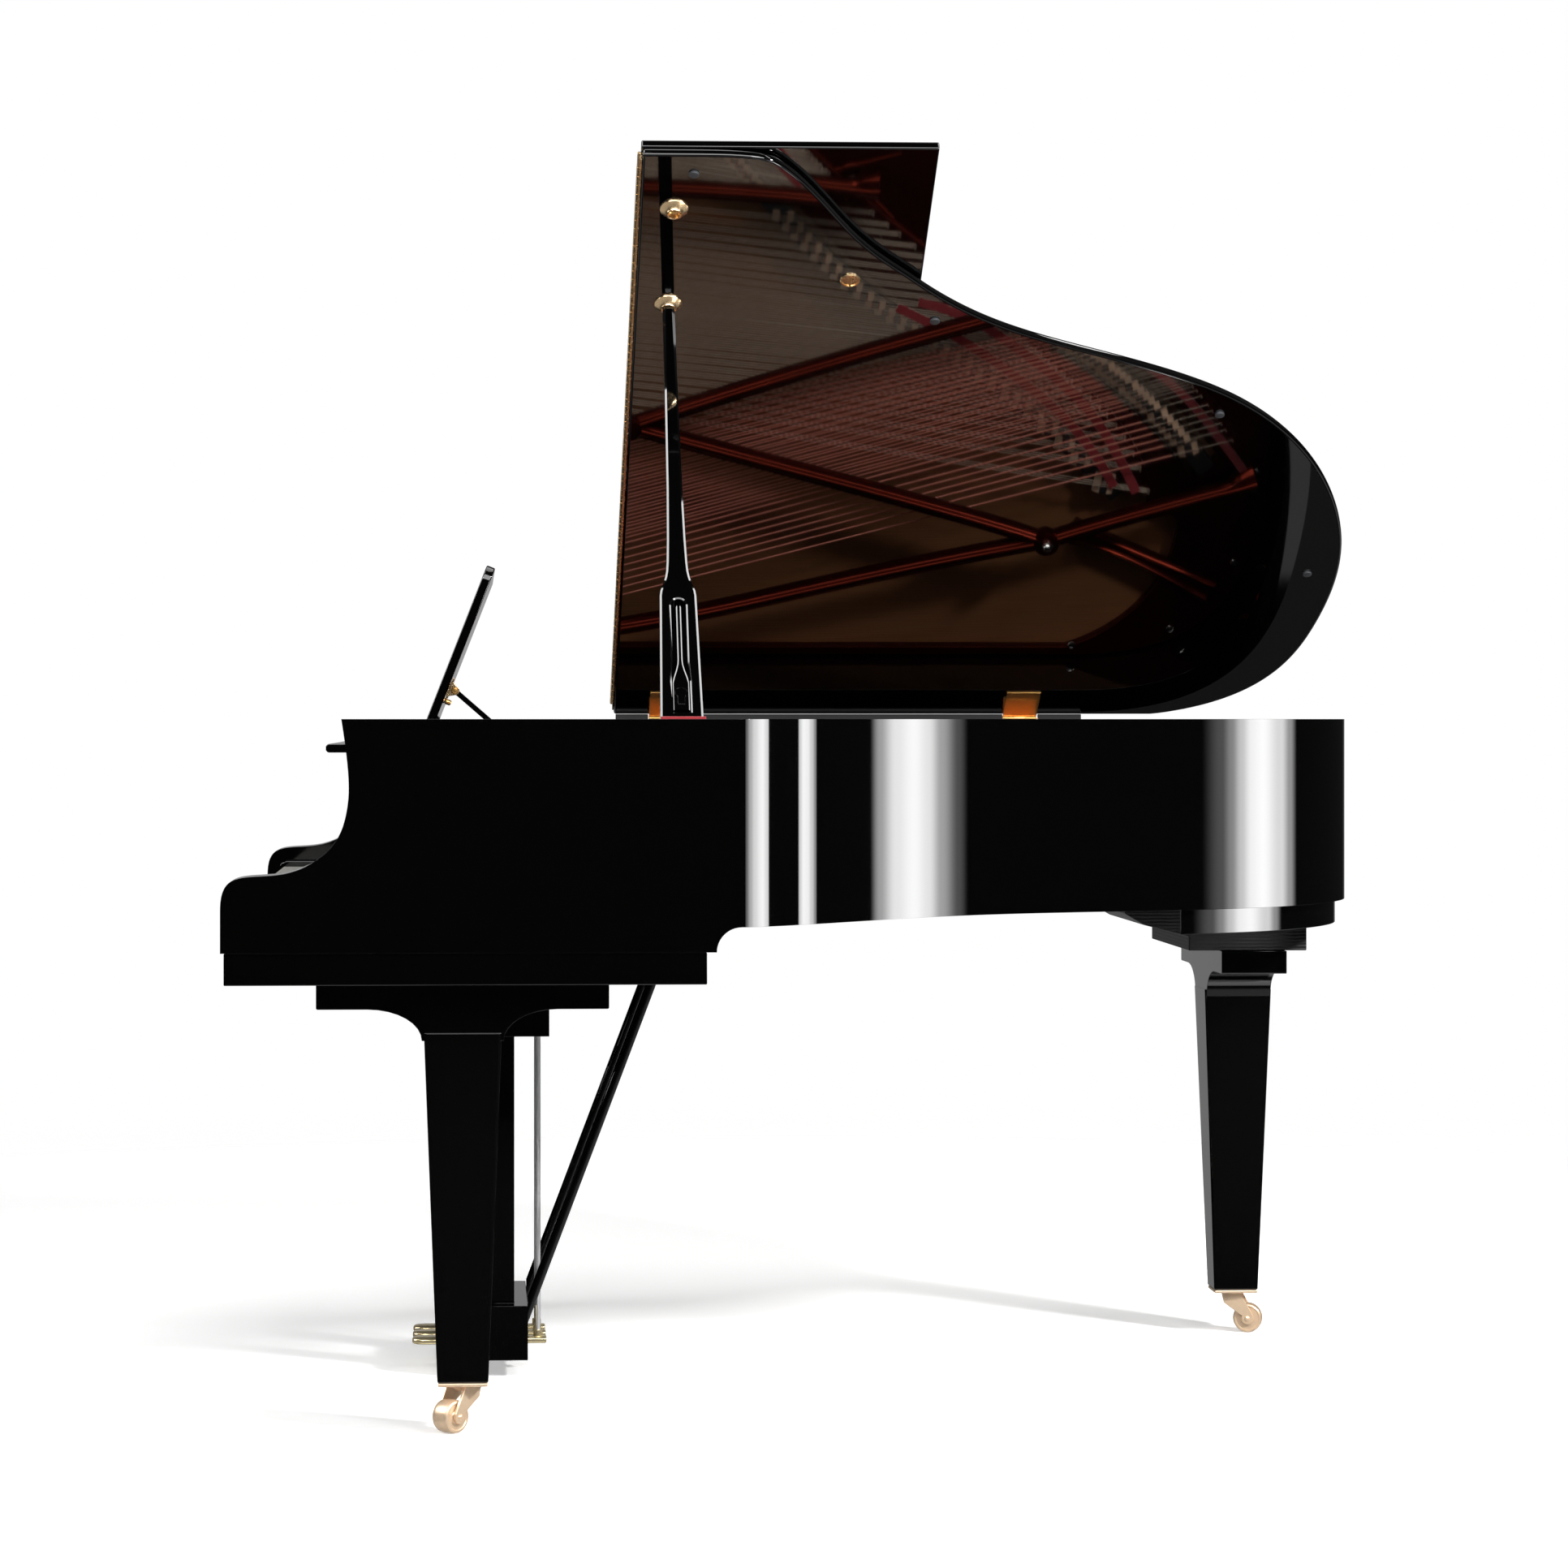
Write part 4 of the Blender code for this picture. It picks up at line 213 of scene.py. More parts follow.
strip_box("cheek_card", (0.82, 1.76), 0.7, BAND, 15, [(0.2, 0.16), (0.5, 0.57), (0.67, 0.88), (0.88, 1.15), (0.98, 0.8)])
strip_box("shoulder_card", (0.638, 0.670), 0.0, BAND, 15, [(0.1, 0.6), (0.31, 0.88), (0.53, 0.82), (0.74, 0.55), (0.94, 0.2)])
strip_box("hollow_card", (0.401, 0.491), 0.25, BAND, 15, [(0.14, 0.29), (0.32, 0.7), (0.5, 0.9), (0.62, 0.77), (0.73, 0.37),
                                                         (0.89, 0.08)])
strip_box("tail_card", (0.060, 0.302), 0.75, BAND, 15, [(0.24, 0.09), (0.35, 0.27), (0.46, 0.63), (0.57, 0.95), (0.67, 0.98),
                                                       (0.86, 0.55), (0.94, 0.2)])

FOCAL_PX = 5525
FRAME_PX = 1932
SHIFT_X = 0.05
camera_data = bpy.data.cameras.new("camera")
camera_data.sensor_width = 36
camera_data.lens = 36 * FOCAL_PX / FRAME_PX
camera_data.shift_x = SHIFT_X
camera_data.shift_y = -80 / FRAME_PX
camera_data.clip_end = 100
camera = bpy.data.objects.new("camera", camera_data)
camera.location = (6.825, -0.5315, 0.980)
turn = math.atan((385 - SHIFT_X * FRAME_PX) / FOCAL_PX)
camera.rotation_euler = (math.pi / 2, 0, math.pi / 2 - turn)
bpy.context.scene.collection.objects.link(camera)
bpy.context.scene.camera = camera
bpy.context.scene.view_settings.view_transform = "Standard"


# Rim: beech veneers glued and bent round a form, with two thicker arms at the front, sprayed with
# black polyester, sanded flat and buffed to a mirror. It shows as deep black with sharp reflections
# that waver very slightly. Plan lines run from the bass arm round the tail to the treble arm.
CASE_WIDTH = 1.4916
CASE_LENGTH = 1.730
CASE_CORNER = Vector((-0.7458, -0.87075, 0))
RIM_TOP = 0.980
RIM_FOOT = 0.697
ARM_FOOT = 0.663
ARM_THICKNESS = 0.078
RIM_THICKNESS = 0.042
BELLY_FRONT = 0.556
GAP = 0.0003

polyester, tree, shader = material("black_polyester_lacquer", Base_Color=linear("020202"), IOR=1.55)
place = node(tree, "ShaderNodeTexCoord")
haze = node(tree, "ShaderNodeTexNoise", {"Scale": 6.0, "Detail": 3.0}, Vector=(place, "Object"))
gloss = node(tree, "ShaderNodeMapRange", {"To Min": 0.02, "To Max": 0.05}, Value=(haze, "Fac"))
tree.links.new(gloss.outputs["Result"], shader.inputs["Roughness"])
wave = node(tree, "ShaderNodeTexNoise", {"Scale": 2.2, "Detail": 1.0}, Vector=(place, "Object"))
buffed = node(tree, "ShaderNodeBump", {"Strength": 0.04, "Distance": 0.002}, Height=(wave, "Fac"))
tree.links.new(buffed.outputs["Normal"], shader.inputs["Normal"])


def plan(shares):
    """Plan points from their shares of the case's width and of its length behind the belly rail."""
    return [Vector((x * CASE_WIDTH, BELLY_FRONT + y * (CASE_LENGTH - BELLY_FRONT))) for x, y in shares]


def smooth_line(guide, steps):
    """Points along the smooth curve that a clamped cubic B-spline draws through its guide."""
    guide = [Vector(point) for point in guide]
    spans = len(guide) - 3
    knots = [0] * 3 + list(range(spans + 1)) + [spans] * 3
    points = []
    for step in range(steps + 1):
        t = spans * step / steps
        first = min(int(t), spans - 1)
        near = [guide[first + j].copy() for j in range(4)]
        for level in range(1, 4):
            for j in range(3, level - 1, -1):
                low, high = knots[first + j], knots[first + j + 4 - level]
                near[j] = near[j - 1].lerp(near[j], (t - low) / (high - low))
        points.append(near[3])
    return points


def beside(line, distance):
    """The line moved to its right by a distance."""
    moved = []
    for i, point in enumerate(line):
        along = (line[min(i + 1, len(line) - 1)] - line[max(i - 1, 0)]).normalized()
        moved.append(point + distance * Vector((along.y, -along.x)))
    return moved


BENT_SIDE = smooth_line(plan([
    (0, 0.6934), (0, 0.9319), (0.2112, 1.0128), (0.4157, 0.9957), (0.6346, 0.8296), (0.7117, 0.4847),
    (0.829, 0.3245), (1, 0.161), (1, 0.1227),
]), 260)


def case_line(inset, front=0.0):
    """The case's plan line, moved inwards, from the bass arm round the tail to the treble arm."""
    bent = [p for p in beside(BENT_SIDE, inset) if p.x < CASE_WIDTH - inset - 1e-4]
    return [Vector((inset, front)), *bent, Vector((CASE_WIDTH - inset, bent[-1].y - 0.002)),
            Vector((CASE_WIDTH - inset, front))]


def prism(outline, low, high, plane="xy", mesh=None):
    """A closed prism: an outline in one plane, carried from low to high along the third axis."""
    first, second, along = {"xy": (0, 1, 2), "yz": (1, 2, 0), "xz": (0, 2, 1)}[plane]
    mesh = mesh or bmesh.new()
    rings = []
    for level in (low, high):
        ring = []
        for point in outline:
            corner = [0.0, 0.0, 0.0]
            corner[first], corner[second], corner[along] = point[0], point[1], level
            ring.append(mesh.verts.new(corner))
        rings.append(ring)
    faces = [mesh.faces.new(rings[0]), mesh.faces.new(rings[1])]
    for i in range(len(outline)):
        j = (i + 1) % len(outline)
        faces.append(mesh.faces.new((rings[0][i], rings[0][j], rings[1][j], rings[1][i])))
    bmesh.ops.recalc_face_normals(mesh, faces=faces)
    return mesh


def box(x, y, z, mesh=None):
    """A box between three pairs of limits."""
    return prism([(x[0], y[0]), (x[1], y[0]), (x[1], y[1]), (x[0], y[1])], z[0], z[1], mesh=mesh)


def around(centre, size):
    """The two limits of a size about a centre."""
    return centre - size / 2, centre + size / 2


def settled(item):
    """Turn an object's modifiers into its own plain mesh."""
    bpy.context.view_layer.update()
    graph = bpy.context.evaluated_depsgraph_get()
    data = bpy.data.meshes.new_from_object(item.evaluated_get(graph))
    old = item.data
    item.modifiers.clear()
    item.data = data
    bpy.data.meshes.remove(old)
    data.name = item.name
    return item


def carve(item, mesh, operation="DIFFERENCE"):
    """Cut a mesh out of an object, join it on, or keep what they share."""
    tool = object_from("carving_tool", mesh)
    modifier = item.modifiers.new("carving", "BOOLEAN")
    modifier.operation = operation
    modifier.object = tool
    modifier.solver = "EXACT"
    modifier.use_hole_tolerant = True
    settled(item)
    data = tool.data
    bpy.data.objects.remove(tool)
    bpy.data.meshes.remove(data)
    return item


def rounded(item, edge, steps=3, limit=34, place=Matrix.Translation(CASE_CORNER)):
    """Round an object's sharp edges, keep its broad faces true in reflections, and set it in place."""
    for face in item.data.polygons:
        face.use_smooth = True
    modifier = item.modifiers.new("rounding", "BEVEL")
    modifier.width = edge
    modifier.segments = steps
    modifier.limit_method = "ANGLE"
    modifier.angle_limit = math.radians(limit)
    shading = item.modifiers.new("true_faces", "WEIGHTED_NORMAL")
    shading.mode = "FACE_AREA_WITH_ANGLE"
    shading.weight = 100
    settled(item)
    item.data.transform(place)
    return item


def copy_of(name, source, *finishes):
    """A new object with a CAD node's shape, its loose triangles joined into whole faces."""
    mesh = bmesh.new()
    mesh.from_mesh(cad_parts[source].data)
    bmesh.ops.remove_doubles(mesh, verts=mesh.verts, dist=1e-5)
    bmesh.ops.dissolve_limit(mesh, angle_limit=math.radians(0.5), verts=mesh.verts, edges=mesh.edges)
    return object_from(name, mesh, *finishes)


ARM_EDGE = smooth_line([
    (0.1633, 0), (0.1756, -0.0765), (0.1735, -0.126), (0.1553, -0.1788), (0.0876, -0.2179),
    (0.0022, -0.2072), (0, -0.2459), (0, -0.262),
], 64)
CHEEK_LENGTH = 0.672
ARM_DEPTH = 0.205
inside = case_line(RIM_THICKNESS, ARM_DEPTH)
bass_arm = [Vector((ARM_THICKNESS, 0)), Vector((ARM_THICKNESS, ARM_DEPTH))]
treble_arm = [Vector((CASE_WIDTH - ARM_THICKNESS, ARM_DEPTH)), Vector((CASE_WIDTH - ARM_THICKNESS, 0))]
outline = case_line(0) + (bass_arm + inside + treble_arm)[::-1]
rim = object_from("bent_rim", prism(outline, ARM_FOOT, RIM_TOP), polyester)
clear = 0.02
edge = [(y, RIM_TOP + z) for y, z in ARM_EDGE]
above = [(edge[0][0], RIM_TOP + clear), *edge, (-clear, edge[-1][1]), (-clear, RIM_TOP + clear)]
carve(rim, prism(above, -clear, CASE_WIDTH + clear, "yz"))
cove = RIM_FOOT - ARM_FOOT
arc = [(CHEEK_LENGTH + cove * (1 - math.cos(a)), ARM_FOOT + cove * math.sin(a))
       for a in (math.pi / 2 * i / 12 for i in range(13))]
far = CASE_LENGTH + 2 * clear
below = [(CHEEK_LENGTH, ARM_FOOT - clear), *arc, (far, RIM_FOOT), (far, ARM_FOOT - clear)]
carve(rim, prism(below, -clear, CASE_WIDTH + clear, "yz"))
rounded(rim, 0.003, 4)
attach(rim, "case")
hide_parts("rim")

# Tail skirt: a lower band of the same bent veneer under the rim's tail.
SKIRT_INSET = 0.015
SKIRT_THICKNESS = 0.022
SKIRT_HEIGHT = 0.037
SKIRT_START = 1.390
outside = [p for p in case_line(SKIRT_INSET) if p.y > SKIRT_START]
inside = [p for p in case_line(SKIRT_INSET + SKIRT_THICKNESS) if p.y > SKIRT_START]
skirt = object_from("tail_band", prism(outside + inside[::-1], RIM_FOOT - GAP - SKIRT_HEIGHT, RIM_FOOT - GAP),
                    polyester)
rounded(skirt, 0.001)
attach(skirt, "case")
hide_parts("tail_skirt")

# Flat lacquered woodwork of the case: keybed, key slip, key blocks, stretcher and legs, each sawn,
# glued, sprayed and buffed, with its edges rubbed to a small round that catches the light.
for name, source, edge in (
    ("keybed_slab", "keybed", 0.0015), ("key_slip_rail", "key_slip", 0.0015),
    ("bass_key_block", "key_block_bass", 0.0012), ("treble_key_block", "key_block_treble", 0.0012),
    ("stretcher_rail", "stretcher", 0.001), ("treble_leg", "leg_treble", 0.0012),
    ("bass_leg", "leg_bass", 0.0012), ("rear_leg", "leg_tail", 0.0012),
    ("lyre", "lyre_frame", 0.001),
):
    part = rounded(copy_of(name, source, polyester), edge, place=Matrix())
    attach(part, "case")
    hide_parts(source)

# Inner woodwork: inner rim, belly rail and braces of beech, and the pin block of laminated maple. The
# beech is stained nearly black with its grain left open; the block keeps maple's pale close grain.
def dress(names, finish):
    """Give carried-over CAD nodes their finish."""
    for name in names:
        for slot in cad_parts[name].material_slots:
            slot.material = finish


stained, tree, shader = material("black_stained_beech")
place = node(tree, "ShaderNodeTexCoord")
along = node(tree, "ShaderNodeMapping", {"Scale": (1.0, 0.06, 1.0)}, Vector=(place, "Object"))
pores = node(tree, "ShaderNodeTexNoise", {"Scale": 300.0, "Detail": 4.0}, Vector=(along, "Vector"))
tone = node(tree, "ShaderNodeMixRGB", {"Color1": linear("16100C"), "Color2": linear("2B2019")}, Fac=(pores, "Fac"))
tree.links.new(tone.outputs["Color"], shader.inputs["Base Color"])
dry = node(tree, "ShaderNodeMapRange", {"To Min": 0.45, "To Max": 0.7}, Value=(pores, "Fac"))
tree.links.new(dry.outputs["Result"], shader.inputs["Roughness"])
grain = node(tree, "ShaderNodeBump", {"Strength": 0.3, "Distance": 0.0003}, Height=(pores, "Fac"))
tree.links.new(grain.outputs["Normal"], shader.inputs["Normal"])
dress(["inner_rim", "belly_rail", "braces"], stained)

maple, tree, shader = material("planed_maple")
place = node(tree, "ShaderNodeTexCoord")
along = node(tree, "ShaderNodeMapping", {"Scale": (0.08, 1.0, 1.0)}, Vector=(place, "Object"))
flecks = node(tree, "ShaderNodeTexNoise", {"Scale": 260.0, "Detail": 4.0}, Vector=(along, "Vector"))
tone = node(tree, "ShaderNodeMixRGB", {"Color1": linear("D2B184"), "Color2": linear("B48D5E")}, Fac=(flecks, "Fac"))
tree.links.new(tone.outputs["Color"], shader.inputs["Base Color"])
dry = node(tree, "ShaderNodeMapRange", {"To Min": 0.38, "To Max": 0.55}, Value=(flecks, "Fac"))
tree.links.new(dry.outputs["Result"], shader.inputs["Roughness"])
dress(["pin_block"], maple)

# Soundboard: quarter-sawn spruce, its growth rings 2 to 3 mm apart on the long bridge's diagonal, under
# a thin clear varnish. It is glued to the inner rim, with the ribs across its grain underneath.
RING_SPACING_MM = 2.6
spruce, tree, shader = material("varnished_spruce", Specular_IOR_Level=0.3)
place = node(tree, "ShaderNodeTexCoord")
along = node(tree, "ShaderNodeMapping", {"Rotation": (0, 0, math.radians(38)), "Scale": (1.0, 0.02, 1.0)},
             Vector=(place, "Object"))
rings = node(tree, "ShaderNodeTexWave", {"Scale": 100 * math.pi / RING_SPACING_MM, "Distortion": 1.6, "Detail": 2.0,
                                         "Detail Scale": 3.0}, Vector=(along, "Vector"))
silk = node(tree, "ShaderNodeTexNoise", {"Scale": 700.0, "Detail": 3.0}, Vector=(along, "Vector"))
year = node(tree, "ShaderNodeMixRGB", {"Color1": linear("9A6844"), "Color2": linear("75492C")}, Fac=(rings, "Fac"))
tone = node(tree, "ShaderNodeMixRGB", {"blend_type": "MULTIPLY", "Fac": 0.35}, Color1=(year, "Color"),
            Color2=(silk, "Color"))
tree.links.new(tone.outputs["Color"], shader.inputs["Base Color"])
varnish = node(tree, "ShaderNodeMapRange", {"To Min": 0.28, "To Max": 0.42}, Value=(silk, "Fac"))
tree.links.new(varnish.outputs["Result"], shader.inputs["Roughness"])
dress(["soundboard"], spruce)

# Iron plate: sand-cast iron, sprayed with red bronze lacquer over its faint cast skin. A wide flange is
# screwed to the case round the edge, with raised hitch rails, and beaded struts bridge the strings.
SOUNDBOARD_TOP = RIM_TOP - 0.150
PLATE_FOOT = SOUNDBOARD_TOP + GAP
PLATE_TOP = PLATE_FOOT + 0.0205
TREBLE_LEVEL = RIM_TOP - 0.1145
BASS_LEVEL = RIM_TOP - 0.0955
STRUT_TOP = RIM_TOP - 0.060
STRUT_FOOT = STRUT_TOP - 0.024
WEB_FRONT = 0.236
WEB_BACK = 0.445
HITCH_LINE = smooth_line(plan([
    (0.9185, 0.0843), (0.771, 0.1354), (0.6704, 0.2249), (0.59, 0.3228), (0.5095, 0.4463),
    (0.4344, 0.5826), (0.3982, 0.6312), (0.3426, 0.7164), (0.2896, 0.7675), (0.2212, 0.7956),
]), 200)
BASS_HITCH_LINE = smooth_line(plan([(0.4592, 0.7061), (0.4391, 0.7658), (0.3888, 0.8339), (0.3017, 0.9063)]), 60)
TREBLE_BRIDGE = smooth_line(plan([
    (0.9017, 0.0307), (0.8313, 0.046), (0.7241, 0.0843), (0.6302, 0.178),
    (0.5363, 0.2802), (0.4626, 0.3756), (0.3935, 0.5153), (0.3272, 0.632),
    (0.2313, 0.7445),
]), 160)
BASS_BRIDGE = smooth_line(plan([(0.4224, 0.655), (0.4023, 0.7061), (0.3587, 0.7743), (0.2682, 0.868)]), 60)

bronze, tree, shader = material("bronze_lacquered_cast_iron", Metallic=0.97)
place = node(tree, "ShaderNodeTexCoord")
cast = node(tree, "ShaderNodeTexNoise", {"Scale": 240.0, "Detail": 4.0}, Vector=(place, "Object"))
pool = node(tree, "ShaderNodeTexNoise", {"Scale": 9.0, "Detail": 2.0}, Vector=(place, "Object"))
tone = node(tree, "ShaderNodeMixRGB", {"Color1": linear("4A150C"), "Color2": linear("5A1D11")}, Fac=(pool, "Fac"))
tree.links.new(tone.outputs["Color"], shader.inputs["Base Color"])
gloss = node(tree, "ShaderNodeMapRange", {"To Min": 0.24, "To Max": 0.36}, Value=(cast, "Fac"))
tree.links.new(gloss.outputs["Result"], shader.inputs["Roughness"])
skin = node(tree, "ShaderNodeBump", {"Strength": 0.2, "Distance": 0.0004}, Height=(cast, "Fac"))
tree.links.new(skin.outputs["Normal"], shader.inputs["Normal"])


def ribbon(line, width):
    """The outline of a strip of this width along a line."""
    return beside(line, width / 2) + beside(line, -width / 2)[::-1]


def joined(item, *others):
    """Add other objects' meshes to this one."""
    mesh = bmesh.new()
    mesh.from_mesh(item.data)
    for other in others:
        mesh.from_mesh(other.data)
        data = other.data
        bpy.data.objects.remove(other)
        bpy.data.meshes.remove(data)
    mesh.to_mesh(item.data)
    mesh.free()
    return item


def lofted(sections, mesh=None):
    """A closed skin through rings of points that all have the same count."""
    mesh = mesh or bmesh.new()
    rings = [[mesh.verts.new(point) for point in section] for section in sections]
    faces = [mesh.faces.new(rings[0]), mesh.faces.new(rings[-1])]
    for low, high in zip(rings, rings[1:]):
        for i in range(len(low)):
            faces.append(mesh.faces.new((low[i - 1], low[i], high[i], high[i - 1])))
    bmesh.ops.recalc_face_normals(mesh, faces=faces)
    return mesh


def turned(name, profile, centre, finish, sides=40, place=Matrix.Translation(CASE_CORNER)):
    """A turned piece: a closed profile of (radius, height) points spun about an upright axis."""
    mesh = bmesh.new()
    rings = []
    for radius, height in profile:
        rings.append([mesh.verts.new((centre[0] + radius * math.cos(a), centre[1] + radius * math.sin(a), height))
                      for a in (2 * math.pi * i / sides for i in range(sides))])
    for low, high in zip(rings, rings[1:]):
        for i in range(sides):
            mesh.faces.new((low[i - 1], low[i], high[i], high[i - 1]))
    mesh.faces.new(rings[0])
    mesh.faces.new(rings[-1])
    bmesh.ops.recalc_face_normals(mesh, faces=mesh.faces)
    item = object_from(name, mesh, finish)
    for face in item.data.polygons:
        face.use_smooth = True
    item.data.set_sharp_from_angle(angle=math.radians(32))
    item.data.transform(place)
    return item


def strut_bar(line, feet, mesh):
    """A beaded strut along a line; a foot at either end spreads and drops to the flange."""
    total = sum((b - a).length for a, b in zip(line, line[1:]))
    half_bead = [(1.0, 0.0), (0.98, 0.42), (0.90, 0.56), (0.62, 0.62), (0.44, 0.68), (0.36, 0.86), (0.22, 0.97), (0.07, 1.0)]
    bead = [(-u, v) for u, v in half_bead] + half_bead[::-1]
    left, right = beside(line, -1.0), beside(line, 1.0)
    run = 0.0
    sections = []
    for i, point in enumerate(line):
        run += (point - line[i - 1]).length if i else 0.0
        near = min(run if feet[0] else 1.0, total - run if feet[1] else 1.0)
        spread = max(0.0, 1 - near / 0.050) ** 2
        half = 0.0145 + 0.012 * spread
        foot = STRUT_FOOT + (PLATE_TOP - 0.002 - STRUT_FOOT) * min(1.0, 3.2 * spread)
        out = (right[i] - left[i]).normalized()
        sections.append([(*(point + out * u * half), foot + (STRUT_TOP - foot) * v) for u, v in bead])
    return lofted(sections, mesh)


inset = 0.046
side = 0.081
step = BELLY_FRONT + 0.002
outline = [Vector((side, WEB_FRONT)), Vector((side, step)), *case_line(inset, step),
           Vector((CASE_WIDTH - side, step)), Vector((CASE_WIDTH - side, WEB_FRONT))]
plate = object_from("plate_casting", prism(outline, PLATE_FOOT, PLATE_TOP), bronze)
back = plan([(0.0400, 0.6848), (0.0700, 0.7956), (0.1475, 0.8424), (0.2011, 0.8339)])
treble_corner = plan([(0.9162, 0.0545)])[0]
over = 0.01
opening = [Vector((back[0].x, WEB_BACK)), *smooth_line(back, 16), *beside(TREBLE_BRIDGE, 0.029)[::-4], treble_corner,
           Vector((treble_corner.x, WEB_BACK))]
carve(plate, prism(opening, PLATE_FOOT - over, PLATE_TOP + over))
carve(plate, prism(ribbon(BASS_BRIDGE, 0.056), PLATE_FOOT - over, PLATE_TOP + over))
low = PLATE_TOP - 0.003
ridge = WEB_BACK - 0.015, WEB_BACK - 0.001
carve(plate, box((0.122, 0.468), ridge, (low, BASS_LEVEL - GAP)), "UNION")
carve(plate, box((0.524, 1.358), ridge, (low, TREBLE_LEVEL - GAP)), "UNION")
carve(plate, prism(ribbon(BASS_HITCH_LINE, 0.016), low, BASS_LEVEL - GAP), "UNION")
carve(plate, prism(ribbon(HITCH_LINE[::4], 0.016), low, TREBLE_LEVEL - GAP), "UNION")
rounded(plate, 0.0022, 3, 40, Matrix())

STRUT_LINES = [
    (smooth_line(plan([(0.067, -0.1329), (0.0764, 0.0298), (0.1327, 0.3015), (0.171, 0.5085), (0.1911, 0.638)]), 40),
     (True, False)),
    (smooth_line(plan([(0.3298, -0.1329), (0.3298, -0.08), (0.3298, -0.02), (0.3298, 0.0375)]), 16), (True, False)),
    (smooth_line(plan([(0.3298, 0.0375), (0.2722, 0.2956), (0.2226, 0.5281), (0.1911, 0.638)]), 40), (False, False)),
    (smooth_line(plan([(0.3298, 0.0375), (0.4036, 0.2896), (0.4472, 0.4906), (0.4773, 0.6124)]), 40), (False, True)),
    (smooth_line(plan([(0.6141, -0.1329), (0.6114, 0.1695), (0.5987, 0.293), (0.5913, 0.3782)]), 40), (True, True)),
    (smooth_line(plan([(0.1911, 0.638), (0.2132, 0.7189), (0.24, 0.83), (0.2628, 0.9361)]), 30), (False, True)),
]
mesh = bmesh.new()
for line, feet in STRUT_LINES:
    strut_bar(line, feet, mesh)
bracket = smooth_line(plan([(0.1844, 0.6848), (0.175, 0.73), (0.1609, 0.77), (0.1106, 0.8893)]), 24)
left, right = beside(bracket, -1.0), beside(bracket, 1.0)
sections = []
for i, point in enumerate(bracket):
    out = (right[i] - left[i]).normalized()
    half = 0.013 + 0.010 * abs(2 * i / 24 - 1) ** 2
    sections.append([(*(point + out * u * half), PLATE_FOOT + v * (PLATE_TOP + 0.009 - PLATE_FOOT))
                     for u, v in ((-1, 0), (-1, 0.7), (-0.85, 0.92), (-0.6, 1), (-0.25, 0.86), (0.25, 0.86), (0.6, 1),
                                  (0.85, 0.92), (1, 0.7), (1, 0))])
lofted(sections, mesh)
struts = object_from("struts", mesh, bronze)
for face in struts.data.polygons:
    face.use_smooth = True
struts.data.set_sharp_from_angle(angle=math.radians(50))
nose = STRUT_LINES[2][0][0]
knot = STRUT_LINES[0][0][-1]
bosses = []
for name, spot, radius, foot in (("nose", nose, 0.0215, STRUT_FOOT), ("knot", knot, 0.0225, STRUT_FOOT - 0.004)):
    top = STRUT_TOP + 0.0016
    bosses.append(turned(name, [(radius - 0.002, foot), (radius, foot + 0.002), (radius, top - 0.006),
                                (radius - 0.0018, top - 0.0018), (radius - 0.006, top)], spot, bronze, 32, Matrix()))
joined(plate, struts, *bosses)
plate.data.transform(Matrix.Translation(CASE_CORNER))
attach(plate, "case")
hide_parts("iron_plate")

# Bridges: curved maple beams glued to the soundboard. Each string group has its own notched step on top,
# blackened with graphite, so that the bridge reads as a staircase between the strings.
STRINGS_FRONT = 0.431


def spread(low, high, count):
    """Evenly spread values from low to high."""
    return [low + (high - low) * i / (count - 1) for i in range(count)]


def crossing(start, end, line):
    """Where a straight run meets a line; where it misses, the line's nearer end brought onto it."""
    along = (end - start).normalized()
    across = Vector((-along.y, along.x))
    for a, b in zip(line, line[1:]):
        near, far = (a - start).dot(across), (b - start).dot(across)
        if near * far <= 0 and near != far:
            return a.lerp(b, near / (near - far))
    ends = min((line[0], line[-1]), key=lambda p: abs((p - start).dot(across)))
    return start + along * (ends - start).dot(along)


def note_runs(fronts, count, rear, shares, bridge):
    """Each note's run: its agraffe, the middle of its bridge step and its hitch."""
    runs = []
    for x, share in zip(spread(*fronts, count), spread(*shares, count)):
        start, end = Vector((x, STRINGS_FRONT)), rear[round(share * (len(rear) - 1))]
        runs.append((start, crossing(start, end, bridge), end))
    return runs


bass_notes = note_runs((0.129, 0.461), 26, BASS_HITCH_LINE, (0.96, 0.04), BASS_BRIDGE)
tenor_notes = note_runs((0.531, 0.887), 28, HITCH_LINE, (0.985, 0.345), TREBLE_BRIDGE)
treble_notes = note_runs((0.943, 1.351), 34, HITCH_LINE, (0.30, 0.02), TREBLE_BRIDGE)

graphite, tree, shader = material("graphited_maple")
place = node(tree, "ShaderNodeTexCoord")
rubbed = node(tree, "ShaderNodeTexNoise", {"Scale": 150.0, "Detail": 3.0}, Vector=(place, "Object"))
tone = node(tree, "ShaderNodeMixRGB", {"Color1": linear("0E0E0F"), "Color2": linear("1D1C1C")}, Fac=(rubbed, "Fac"))
tree.links.new(tone.outputs["Color"], shader.inputs["Base Color"])
sheen = node(tree, "ShaderNodeMapRange", {"To Min": 0.3, "To Max": 0.45}, Value=(rubbed, "Fac"))
tree.links.new(sheen.outputs["Result"], shader.inputs["Roughness"])


